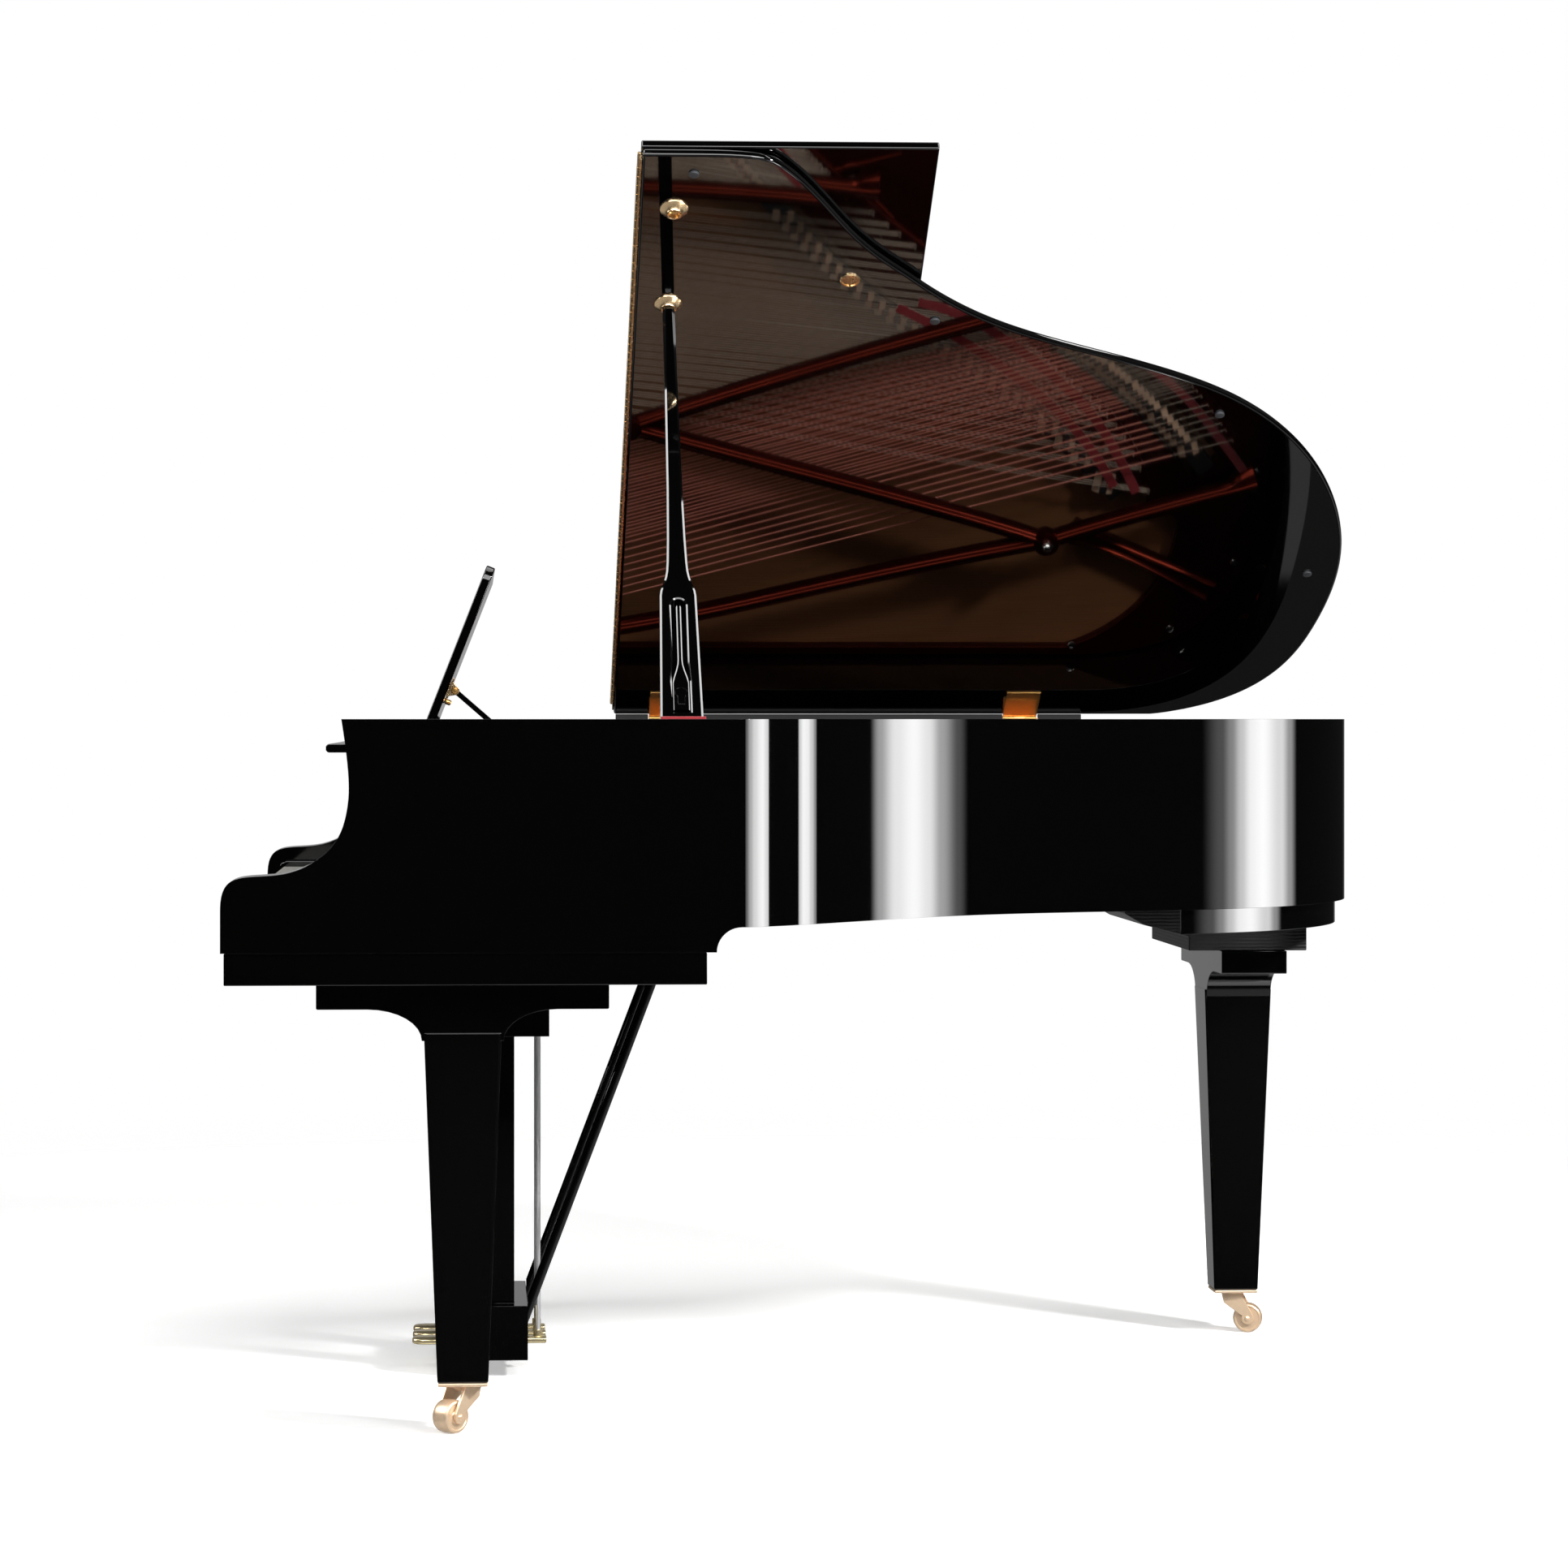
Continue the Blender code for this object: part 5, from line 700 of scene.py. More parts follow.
def tree_of(name, inputs):
    """A Geometry Nodes tree with named inputs; returns it, its two ends and the inputs' identifiers."""
    tree = bpy.data.node_groups.new(name, "GeometryNodeTree")
    tree.interface.new_socket("Geometry", in_out="INPUT", socket_type="NodeSocketGeometry")
    sockets = {}
    for label, kind in inputs.items():
        sockets[label] = tree.interface.new_socket(label, in_out="INPUT", socket_type=f"NodeSocket{kind}").identifier
    tree.interface.new_socket("Geometry", in_out="OUTPUT", socket_type="NodeSocketGeometry")
    return tree, node(tree, "NodeGroupInput"), node(tree, "NodeGroupOutput"), sockets


def grow(name, tree, settings, places, edges=(), turns=None, sizes=None, place=Matrix.Translation(CASE_CORNER)):
    """Run a Geometry Nodes tree over points or lines, and keep what it makes as a plain mesh."""
    group, sockets = tree
    data = bpy.data.meshes.new(name)
    data.from_pydata([tuple(p) for p in places], edges, [])
    for label, values, rest in (("turn", turns, (0, 0, 0)), ("size", sizes, (1, 1, 1))):
        layer = data.attributes.new(label, "FLOAT_VECTOR", "POINT")
        for i in range(len(places)):
            layer.data[i].vector = values[i] if values else rest
    item = bpy.data.objects.new(name, data)
    bpy.context.scene.collection.objects.link(item)
    modifier = item.modifiers.new(name, "NODES")
    modifier.node_group = group
    for label, value in settings.items():
        modifier[sockets[label]] = value
    settled(item)
    item.data.transform(place)
    return item


def closed(group, geometry, start, end):
    """End a tree as the export needs it: real meshes with their finish set."""
    real = node(group, "GeometryNodeRealizeInstances", Geometry=geometry)
    painted = node(group, "GeometryNodeSetMaterial", Geometry=(real, "Geometry"), Material=(start, "Finish"))
    group.links.new(painted.outputs[0], end.inputs[0])


# Tree for a row of like parts: one part's mesh on every point, with that point's turn and size.
group, start, end, sockets = tree_of("row_of_parts", {"Part": "Object", "Finish": "Material"})
turned_by = node(group, "GeometryNodeInputNamedAttribute", {"data_type": "FLOAT_VECTOR", "Name": "turn"})
sized_by = node(group, "GeometryNodeInputNamedAttribute", {"data_type": "FLOAT_VECTOR", "Name": "size"})
spots = node(group, "GeometryNodeMeshToPoints", Mesh=(start, "Geometry"))
part = node(group, "GeometryNodeObjectInfo", Object=(start, "Part"))
stood = node(group, "GeometryNodeInstanceOnPoints", Points=(spots, "Points"), Instance=(part, "Geometry"),
             Rotation=(turned_by, "Attribute"), Scale=(sized_by, "Attribute"))
closed(group, (stood, "Instances"), start, end)
row_tree = (group, sockets)

# Tree for pins, screws and knuckles: a short round bar on every point, turned as the point says.
group, start, end, sockets = tree_of("round_pins", {"Radius": "Float", "Height": "Float", "Sides": "Int",
                                                    "Finish": "Material"})
pin = node(group, "GeometryNodeMeshCylinder", Vertices=(start, "Sides"), Radius=(start, "Radius"),
           Depth=(start, "Height"))
turned_by = node(group, "GeometryNodeInputNamedAttribute", {"data_type": "FLOAT_VECTOR", "Name": "turn"})
spots = node(group, "GeometryNodeMeshToPoints", Mesh=(start, "Geometry"))
stood = node(group, "GeometryNodeInstanceOnPoints", Points=(spots, "Points"), Instance=(pin, "Mesh"),
             Rotation=(turned_by, "Attribute"))
closed(group, (stood, "Instances"), start, end)
round_pins = (group, sockets)

# Tree for wire: a round section swept along every line.
group, start, end, sockets = tree_of("drawn_wire", {"Radius": "Float", "Sides": "Int", "Finish": "Material"})
lines = node(group, "GeometryNodeMeshToCurve", Mesh=(start, "Geometry"))
section = node(group, "GeometryNodeCurvePrimitiveCircle", Resolution=(start, "Sides"), Radius=(start, "Radius"))
swept = node(group, "GeometryNodeCurveToMesh", {"Fill_Caps": True}, Curve=(lines, "Curve"),
             Profile_Curve=(section, "Curve"))
closed(group, (swept, "Mesh"), start, end)
wire_tree = (group, sockets)


def row(name, part, places, finish, turns=None, sizes=None, place=Matrix.Translation(CASE_CORNER)):
    """A row of like parts; the one that was copied is then removed."""
    item = grow(name, row_tree, {"Part": part, "Finish": finish}, places, (), turns, sizes, place)
    data = part.data
    bpy.data.objects.remove(part)
    bpy.data.meshes.remove(data)
    return item


def heading(run):
    """The angle of a note's run in plan, from the x axis."""
    along = run[2] - run[0]
    return math.atan2(along.y, along.x)


bare, tree, shader = material("cut_maple_notch", Roughness=0.6)
place = node(tree, "ShaderNodeTexCoord")
flecks = node(tree, "ShaderNodeTexNoise", {"Scale": 240.0, "Detail": 3.0}, Vector=(place, "Object"))
tone = node(tree, "ShaderNodeMixRGB", {"Color1": linear("D9B79A"), "Color2": linear("BC9678")}, Fac=(flecks, "Fac"))
tree.links.new(tone.outputs["Color"], shader.inputs["Base Color"])
STEP_HALF = 0.0066
NOTCH_END = 0.0172
NOTCH_DROP = 0.0062
STEP_WIDTH = 0.01
for name, line, level, groups, node_name in (
    ("long_treble_bridge", TREBLE_BRIDGE[::2], TREBLE_LEVEL, (tenor_notes, treble_notes), "treble_bridge"),
    ("bass_bridge_cap", BASS_BRIDGE[::3], BASS_LEVEL, (bass_notes,), "bass_bridge"),
):
    top = level - GAP
    beam = object_from(name, prism(ribbon(line, 0.030), SOUNDBOARD_TOP + GAP, top - 0.0115), graphite)
    rounded(beam, 0.001, 1, 50, Matrix())
    places, turns, sizes = [], [], []
    for notes in groups:
        for i, run in enumerate(notes):
            other = notes[i + 1] if i + 1 < len(notes) else notes[i - 1]
            angle = heading(run)
            across = Vector((-math.sin(angle), math.cos(angle)))
            pitch = abs((other[1] - run[1]).dot(across))
            places.append((*run[1], top))
            turns.append((0, 0, angle))
            sizes.append((1, pitch * 0.97 / STEP_WIDTH, 1))
    block = box((-STEP_HALF, STEP_HALF), around(0, STEP_WIDTH), (-0.014, 0))
    step = rounded(object_from("step", block, graphite), 0.0005, 1, 50, Matrix())
    joined(beam, row("steps", step, places, graphite, turns, sizes, Matrix()))
    beam.data.transform(Matrix.Translation(CASE_CORNER))
    mesh = bmesh.new()
    for side in (-1, 1):
        slope = [(side * STEP_HALF, -0.0006), (side * NOTCH_END, -NOTCH_DROP), (side * NOTCH_END, -0.014),
                 (side * STEP_HALF, -0.014)]
        prism(slope, *around(0, STEP_WIDTH), "xz", mesh)
    notches = row(name + "_notches", object_from("notch", mesh, bare), places, bare, turns, sizes)
    for part in (beam, notches):
        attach(part, "case")
        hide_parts(node_name)

# Strings: drawn steel music wire, three to a note in the treble; the bass ones are wound with copper,
# two to a note and one for the lowest eight. Each runs from its tuning pin to its hitch pin.
STRING_LIFT = 0.0006
# A real plain wire is 0.8 to 1.1 mm thick; drawn here at 1.3 mm, the finest that shows.
TREBLE_GAUGE = 0.00065
CORE_GAUGE = 0.00065
WINDING_GAUGES = (0.0015, 0.0011)
BARE_END = 0.024
PIN_ROWS = (0.292, 0.328, 0.364)
BRIDGE_PIN = 0.0058

wire, tree, shader = material("drawn_music_wire", Metallic=1.0)
place = node(tree, "ShaderNodeTexCoord")
drawn = node(tree, "ShaderNodeTexNoise", {"Scale": 90.0, "Detail": 2.0}, Vector=(place, "Object"))
tone = node(tree, "ShaderNodeMixRGB", {"Color1": linear("C9B39E"), "Color2": linear("DCC9B6")}, Fac=(drawn, "Fac"))
tree.links.new(tone.outputs["Color"], shader.inputs["Base Color"])
sheen = node(tree, "ShaderNodeMapRange", {"To Min": 0.34, "To Max": 0.46}, Value=(drawn, "Fac"))
tree.links.new(sheen.outputs["Result"], shader.inputs["Roughness"])

copper, tree, shader = material("copper_string_winding", Metallic=1.0)
place = node(tree, "ShaderNodeTexCoord")
oxide = node(tree, "ShaderNodeTexNoise", {"Scale": 60.0, "Detail": 3.0}, Vector=(place, "Object"))
tone = node(tree, "ShaderNodeMixRGB", {"Color1": linear("D07A68"), "Color2": linear("E59A86")}, Fac=(oxide, "Fac"))
tree.links.new(tone.outputs["Color"], shader.inputs["Base Color"])
shader.inputs["Roughness"].default_value = 0.42
# A real turn is 0.3 mm wide; drawn here at 3 mm, the finest that shows.
turns_of_wire = node(tree, "ShaderNodeTexWave", {"bands_direction": "Y", "Scale": 100 * math.pi / 3.0},
                     Vector=(place, "Object"))
ridges = node(tree, "ShaderNodeBump", {"Strength": 0.5, "Distance": 0.0004}, Height=(turns_of_wire, "Fac"))
tree.links.new(ridges.outputs["Normal"], shader.inputs["Normal"])


def lines_mesh(runs):
    """The points and edges of many separate lines."""
    places, edges = [], []
    for run in runs:
        edges += [(len(places) + i, len(places) + i + 1) for i in range(len(run) - 1)]
        places += run
    return places, edges


def strung(runs, level, offsets):
    """Each string's line, its bridge pins and its pin row, from the notes' runs and sideways offsets."""
    made = []
    for note_number, run in enumerate(runs):
        start, middle, end = run
        along = (end - start).normalized()
        across = Vector((along.y, -along.x))
        count = len(offsets(note_number))
        for i, offset in enumerate(offsets(note_number)):
            front = start + across * offset
            rest = middle + across * offset
            far = end + across * offset * 0.8
            pins = [rest - along * BRIDGE_PIN, rest + along * BRIDGE_PIN]
            row_y = PIN_ROWS[i if count == 3 else (note_number + i) % 3] + 0.009 * (note_number % 2)
            made.append({"front": front, "pins": pins, "far": far, "pin": Vector((front.x, row_y)), "level": level})
    return made


bass_set = strung(bass_notes, BASS_LEVEL + STRING_LIFT + 0.0009, lambda n: (0,) if n < 8 else (-0.0034, 0.0034))
plain_set = strung(tenor_notes, TREBLE_LEVEL + STRING_LIFT, lambda n: (-0.0039, 0, 0.0039))
plain_set += strung(treble_notes, TREBLE_LEVEL + STRING_LIFT, lambda n: (-0.0037, 0, 0.0037))
for name, strings, gauge, node_name in (("plain_wires", plain_set, TREBLE_GAUGE, "treble_strings"),
                                        ("bass_core_wires", bass_set, CORE_GAUGE, "bass_strings")):
    runs = [[(*s["pin"], PLATE_TOP + 0.015), (*s["front"], s["level"]), (*s["pins"][0], s["level"]),
             (*s["pins"][1], s["level"]), (*s["far"], s["level"] - 0.0006)] for s in strings]
    places, edges = lines_mesh(runs)
    wires = grow(name, wire_tree, {"Radius": gauge, "Sides": 6, "Finish": wire}, places, edges)
    for face in wires.data.polygons:
        face.use_smooth = True
    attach(wires, "case")
    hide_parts(node_name)
for name, strings, gauge in (("single_windings", bass_set[:8], WINDING_GAUGES[0]),
                             ("double_windings", bass_set[8:], WINDING_GAUGES[1])):
    runs = []
    for s in strings:
        along = (s["pins"][0] - s["front"]).normalized()
        runs.append([(*(s["front"] + along * BARE_END), s["level"]), (*(s["pins"][0] - along * BARE_END), s["level"])])
    places, edges = lines_mesh(runs)
    windings = grow(name, wire_tree, {"Radius": gauge, "Sides": 8, "Finish": copper}, places, edges)
    for face in windings.data.polygons:
        face.use_smooth = True
    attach(windings, "case")

# String pins: blued steel tuning pins with a coil of wire each, brass agraffes on the plate's front
# rail, two copper-plated pins per string on the bridges, and steel hitch pins at the back.
blued, tree, shader = material("blued_steel", Metallic=1.0)
place = node(tree, "ShaderNodeTexCoord")
mottle = node(tree, "ShaderNodeTexNoise", {"Scale": 220.0, "Detail": 2.0}, Vector=(place, "Object"))
tone = node(tree, "ShaderNodeMixRGB", {"Color1": linear("6F7683"), "Color2": linear("9AA0AB")}, Fac=(mottle, "Fac"))
tree.links.new(tone.outputs["Color"], shader.inputs["Base Color"])
shader.inputs["Roughness"].default_value = 0.25
brass, tree, shader = material("satin_lacquered_brass", Metallic=1.0)
place = node(tree, "ShaderNodeTexCoord")
brushed = node(tree, "ShaderNodeTexNoise", {"Scale": 180.0, "Detail": 2.0}, Vector=(place, "Object"))
tone = node(tree, "ShaderNodeMixRGB", {"Color1": linear("E6C391"), "Color2": linear("F0D3A8")}, Fac=(brushed, "Fac"))
tree.links.new(tone.outputs["Color"], shader.inputs["Base Color"])
sheen = node(tree, "ShaderNodeMapRange", {"To Min": 0.2, "To Max": 0.32}, Value=(brushed, "Fac"))
tree.links.new(sheen.outputs["Result"], shader.inputs["Roughness"])

every = bass_set + plain_set
rows = [
    ("tuning_pins", blued, 0.0034, 0.034, 8, [(*s["pin"], PLATE_TOP + 0.006) for s in every]),
    ("wire_coils", wire, 0.0050, 0.0042, 12, [(*s["pin"], PLATE_TOP + 0.015) for s in every]),
    ("agraffes", brass, 0.0042, 0.0105, 10, [(run[0].x, STRINGS_FRONT + 0.006, level + 0.0015)
                                             for runs, level in ((bass_notes, BASS_LEVEL), (tenor_notes, TREBLE_LEVEL),
                                                                 (treble_notes, TREBLE_LEVEL)) for run in runs]),
    ("bridge_pins", copper, 0.0010, 0.0050, 6, [(*p, s["level"] - 0.0005) for s in every for p in s["pins"]]),
    ("hitch_pins", wire, 0.0013, 0.0100, 8, [(*s["far"], s["level"] + 0.0005) for s in every]),
]
for name, finish, radius, height, sides, places in rows:
    pins = grow(name, round_pins, {"Radius": radius, "Height": height, "Sides": sides, "Finish": finish}, places)
    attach(pins, "case")

# Plate fittings: slotted screws round the flange, an acorn nut on the knot, a bolt in the rear rosette,
# and the cast ribs and paired pins of the treble corner.
chrome, tree, shader = material("nickel_plated_steel", Metallic=1.0)
place = node(tree, "ShaderNodeTexCoord")
film = node(tree, "ShaderNodeTexNoise", {"Scale": 150.0, "Detail": 2.0}, Vector=(place, "Object"))
tone = node(tree, "ShaderNodeMixRGB", {"Color1": linear("D3D3D1"), "Color2": linear("E6E5E2")}, Fac=(film, "Fac"))
tree.links.new(tone.outputs["Color"], shader.inputs["Base Color"])
sheen = node(tree, "ShaderNodeMapRange", {"To Min": 0.08, "To Max": 0.2}, Value=(film, "Fac"))
tree.links.new(sheen.outputs["Result"], shader.inputs["Roughness"])
SCREW_SPACING = 0.165
screw_line = case_line(0.064, 0.47)
places, run = [], 0.0
for a, b in zip(screw_line, screw_line[1:]):
    run += (b - a).length
    if run > SCREW_SPACING:
        places.append((*b, PLATE_TOP + GAP))
        run = 0.0
head = turned("screw", [(0.0068, -0.001), (0.0068, 0.0012), (0.0056, 0.0028), (0.0030, 0.0036)], (0, 0), chrome, 16,
              Matrix())
screws = row("plate_screws", head, places, chrome)
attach(screws, "case")
dome = [(0.0104, 0), (0.0104, 0.006), (0.0092, 0.0066), (0.0088, 0.010), (0.0070, 0.0138), (0.0040, 0.0158)]
nut = turned("acorn_nut", [(r, STRUT_TOP + 0.0016 + h) for r, h in dome], knot, chrome, 24)
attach(nut, "case")
ROSETTE = Vector((0.881, 0.961))
cup = [(0.030, PLATE_TOP - 0.001), (0.030, PLATE_TOP + 0.0028), (0.0275, PLATE_TOP + 0.0045),
       (0.024, PLATE_TOP + 0.0045), (0.0215, PLATE_TOP + 0.002), (0.0205, PLATE_TOP + 0.0006)]
rosette = turned("plate_rosette", cup, ROSETTE, bronze, 32)
bolt = turned("rosette_bolt", [(r, PLATE_TOP + 0.0008 + h * 0.6) for r, h in dome], ROSETTE, chrome, 24)
ribs = []
for a, b in (((0.892, 0.910), (0.927, 1.040)), ((0.866, 0.981), (0.815, 1.030)), ((0.960, 0.700), (1.160, 0.690))):
    ribs.append([(*Vector(a).lerp(Vector(b), i / 8), PLATE_TOP) for i in range(9)])
places, edges = lines_mesh(ribs)
cast_ribs = grow("cast_plate_ribs", wire_tree, {"Radius": 0.0042, "Sides": 12, "Finish": bronze}, places, edges)
for face in cast_ribs.data.polygons:
    face.use_smooth = True
pairs = [Vector(p) for p in ((0.881, 0.930), (0.850, 0.962), (0.820, 0.992), (0.792, 1.020), (0.763, 1.050))]
places = [(p.x + k * 0.007, p.y + k * 0.008, PLATE_TOP + 0.005) for p in pairs for k in (-1, 1)]
paired_pins = grow("paired_plate_pins", round_pins, {"Radius": 0.0018, "Height": 0.012, "Sides": 8, "Finish": chrome},
                   places)
for piece in (rosette, bolt, cast_ribs, paired_pins):
    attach(piece, "case")

# String felts: strips of red wool cloth, woven between the strings beyond the bridges so that their back
# lengths stay silent. The cloth is fuzzy and dull, with a loose edge.
red_felt, tree, shader = material("red_listing_felt", Sheen_Weight=0.3)
place = node(tree, "ShaderNodeTexCoord")
wool = node(tree, "ShaderNodeTexNoise", {"Scale": 900.0, "Detail": 5.0}, Vector=(place, "Object"))
tone = node(tree, "ShaderNodeMixRGB", {"Color1": linear("74060E"), "Color2": linear("A81020")}, Fac=(wool, "Fac"))
tree.links.new(tone.outputs["Color"], shader.inputs["Base Color"])
shader.inputs["Roughness"].default_value = 0.95
nap = node(tree, "ShaderNodeBump", {"Strength": 0.6, "Distance": 0.0008}, Height=(wool, "Fac"))
tree.links.new(nap.outputs["Normal"], shader.inputs["Normal"])
felts = {
    "inner_listing_felt": (TREBLE_LEVEL, 0.016, [(0.690, 1.040), (0.660, 1.100), (0.634, 1.151), (0.556, 1.263),
                                                 (0.462, 1.369), (0.367, 1.421)]),
    "outer_listing_felt": (TREBLE_LEVEL, 0.016, [(0.700, 1.075), (0.680, 1.150), (0.649, 1.204), (0.556, 1.327),
                                                 (0.477, 1.401), (0.357, 1.459)]),
    "treble_listing_felt": (TREBLE_LEVEL, 0.013, [(1.120, 0.735), (1.040, 0.760), (0.960, 0.810), (0.900, 0.875)]),
    "bass_listing_felt": (BASS_LEVEL, 0.014, [(0.640, 1.400), (0.569, 1.501), (0.518, 1.550), (0.468, 1.588),
                                              (0.400, 1.640)]),
}
for name, (level, width, spots) in felts.items():
    line = smooth_line([Vector(spot) for spot in spots], 40)
    strip = rounded(object_from(name, prism(ribbon(line, width), level - 0.0035, level + 0.0012), red_felt), 0.0008, 1, 40)
    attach(strip, "case")

# Lid: a flat panel with the rim's outline, veneered and lacquered on both sides, hinged to the bass
# side and propped open. Its underside is polished to the highest gloss, so that the strings show in it.
LID_OVERHANG = 0.0115
LID_FOOT = 0.984
LID_TOP = 0.997
LID_EDGE = 0.001
LID_LIFT = math.radians(31.5)
LID_AXIS = Vector((-0.006, 0, 0.981))
FOLD_Y = 0.575
FOLD_CLEARANCE = 0.004
HINGE_BARREL = 0.0025
lid_place = (Matrix.Translation(CASE_CORNER + LID_AXIS) @ Matrix.Rotation(-LID_LIFT, 4, "Y")
             @ Matrix.Translation(-LID_AXIS))
mirror_polish = polyester.copy()
mirror_polish.name = "mirror_polished_polyester"
mirror_polish.node_tree.nodes["Principled BSDF"].inputs["IOR"].default_value = 2.3
SHOULDER_START = 0.985
fold = FOLD_Y + FOLD_CLEARANCE
edge_line = [p for p in case_line(-LID_OVERHANG, fold) if p.x < 1.1 or p.y > SHOULDER_START]
last = edge_line[:-2][-1] if edge_line[-1].y < SHOULDER_START else edge_line[-1]
before = edge_line[edge_line.index(last) - 1]
shoulder = smooth_line([last, last + (last - before).normalized() * 0.03, (1.262, 0.936), (1.318, 0.890),
                        (1.372, 0.857), (1.437, 0.815), (1.486, 0.775), (1.5031, 0.745), (1.5031, 0.66)], 60)
edge_line = edge_line[:edge_line.index(last)] + shoulder + [Vector((1.5031, fold))]
outline = [(max(p.x, LID_EDGE), p.y) for p in edge_line]


def polished_below(item):
    """Give an open lid panel's underside the mirror polish."""
    down = lid_place.to_3x3() @ Vector((0, 0, -1))
    for face in item.data.polygons:
        face.material_index = int(face.normal.dot(down) > 0.9995)
    return item


lid = rounded(object_from("lid_panel", prism(outline, LID_FOOT, LID_TOP), polyester, mirror_polish), 0.0042, 4,
              place=lid_place)
polished_below(lid)
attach(lid, "lid")
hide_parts("lid_main")

# Front flap: the lid's front third, folded back on the lid, so that its outer face lies on the lid's
# and its own polished inner face looks down past the lid's bent edge.
FLAP_FOOT = LID_TOP + 0.002
FLAP_THICKNESS = 0.0125
FLAP_DEPTH = 0.424
treble = CASE_WIDTH + LID_OVERHANG
flap = object_from("folded_flap", box((LID_EDGE, treble), (FOLD_Y + HINGE_BARREL + GAP, FOLD_Y + FLAP_DEPTH),
                                      (FLAP_FOOT, FLAP_FOOT + FLAP_THICKNESS)), polyester,
                   mirror_polish)
rounded(flap, 0.0025, place=lid_place)
polished_below(flap)
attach(flap, "lid_flap")
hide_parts("lid_front_flap")

# Lid fittings of older-looking bright yellow brass, rolled and polished, with a little tarnish.
yellow_brass, tree, shader = material("polished_hinge_brass", Metallic=0.75)
place = node(tree, "ShaderNodeTexCoord")
tarnish = node(tree, "ShaderNodeTexNoise", {"Scale": 90.0, "Detail": 3.0}, Vector=(place, "Object"))
tone = node(tree, "ShaderNodeMixRGB", {"Color1": linear("DDAE6C"), "Color2": linear("C8934E")}, Fac=(tarnish, "Fac"))
tree.links.new(tone.outputs["Color"], shader.inputs["Base Color"])
sheen = node(tree, "ShaderNodeMapRange", {"To Min": 0.12, "To Max": 0.28}, Value=(tarnish, "Fac"))
tree.links.new(sheen.outputs["Result"], shader.inputs["Roughness"])


# Prop cups: turned brass sockets screwed to the lid's underside, wide at the lid and narrow at the
# mouth, in which the prop's end sits. One is for the long prop and one for the short prop.
PROP_Y = 0.628
under = LID_FOOT - GAP
for name, reach, node_name in (("long_prop_cup", 1.163, "prop_cup_full"), ("short_prop_cup", 1.388, "prop_cup_half")):
    profile = [(0.0203, under), (0.0205, under - 0.0006), (0.0202, under - 0.0016), (0.0192, under - 0.0024),
               (0.0150, under - 0.0068), (0.0122, under - 0.0100), (0.0117, under - 0.0112), (0.0112, under - 0.0115),
               (0.0094, under - 0.0115), (0.0089, under - 0.0110), (0.0084, under - 0.0040), (0.0070, under - 0.0034)]
    cup = turned(name, profile, (LID_AXIS.x + reach, PROP_Y), brass, place=lid_place)
    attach(cup, "lid")
    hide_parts(node_name)

# Lock plate and bumpers on the lid's underside: a round brass striking plate with a bar across its
# cup, and black rubber buttons that rest on the rim when the lid is down.
LOCK_AT = (1.216, 0.892)
plate_low = under - 0.0022
lock = turned("lid_lock_plate", [(0.0150, under), (0.0152, under - 0.0008), (0.0142, plate_low), (0.0118, plate_low),
                                 (0.0112, under - 0.0005), (0.0090, under - 0.0003)], LOCK_AT, brass, place=lid_place)
mesh = bmesh.new()
mesh.from_mesh(lock.data)
bar = box(around(LOCK_AT[0], 0.0225), around(LOCK_AT[1], 0.0032), (plate_low - 0.0006, under - 0.0004))
bmesh.ops.transform(bar, matrix=lid_place, verts=bar.verts)
spare = bpy.data.meshes.new("bar")
bar.to_mesh(spare)
bar.free()
mesh.from_mesh(spare)
mesh.to_mesh(lock.data)
mesh.free()
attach(lock, "lid")

rubber, tree, shader = material("moulded_black_rubber", Roughness=0.55)
place = node(tree, "ShaderNodeTexCoord")
bloom = node(tree, "ShaderNodeTexNoise", {"Scale": 120.0, "Detail": 3.0}, Vector=(place, "Object"))
tone = node(tree, "ShaderNodeMixRGB", {"Color1": linear("26282B"), "Color2": linear("34373A")}, Fac=(bloom, "Fac"))
tree.links.new(tone.outputs["Color"], shader.inputs["Base Color"])
for i, spot in enumerate(((1.462, 0.653), (1.118, 1.025), (0.882, 1.484), (0.439, 1.690))):
    button = turned(f"lid_bumper_{i + 1}", [(0.0072, under), (0.0074, under - 0.0022), (0.0066, under - 0.0032),
                                            (0.0040, under - 0.0036)], spot, rubber, 24, lid_place)
    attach(button, "lid")

# Lid hinges: cast brass butt hinges, their leaves screwed to the rim's top and the lid's underside.
for end, y in (("front", 0.667), ("rear", 1.268)):
    for side, body in (("rim", "case"), ("lid", "lid")):
        leaf = rounded(copy_of(f"{end}_hinge_{side}_leaf", f"hinge_{side}_leaf_{end}", yellow_brass), 0.0003, 2,
                       place=Matrix())
        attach(leaf, body)
        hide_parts(f"hinge_{side}_leaf_{end}")


# Long hinge between lid and flap: a folded brass strip with a knuckle every 20 mm about its pin,
# and screws through the leaf on the lid's front edge.
KNUCKLE = 0.020
strip = rounded(copy_of("long_hinge_leaf", "piano_hinge", brass), 0.0002, 1, place=Matrix())
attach(strip, "lid")
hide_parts("piano_hinge")
places = [(0.030 + KNUCKLE * i, FOLD_Y, LID_TOP + 0.001) for i in range(int((CASE_WIDTH - 0.040) / KNUCKLE))]
knuckles = grow("long_hinge_knuckles", round_pins,
                {"Radius": HINGE_BARREL + 0.0002, "Height": KNUCKLE - 0.0012, "Sides": 12, "Finish": brass},
                places, turns=[(0, math.pi / 2, 0)] * len(places), place=lid_place)
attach(knuckles, "lid")

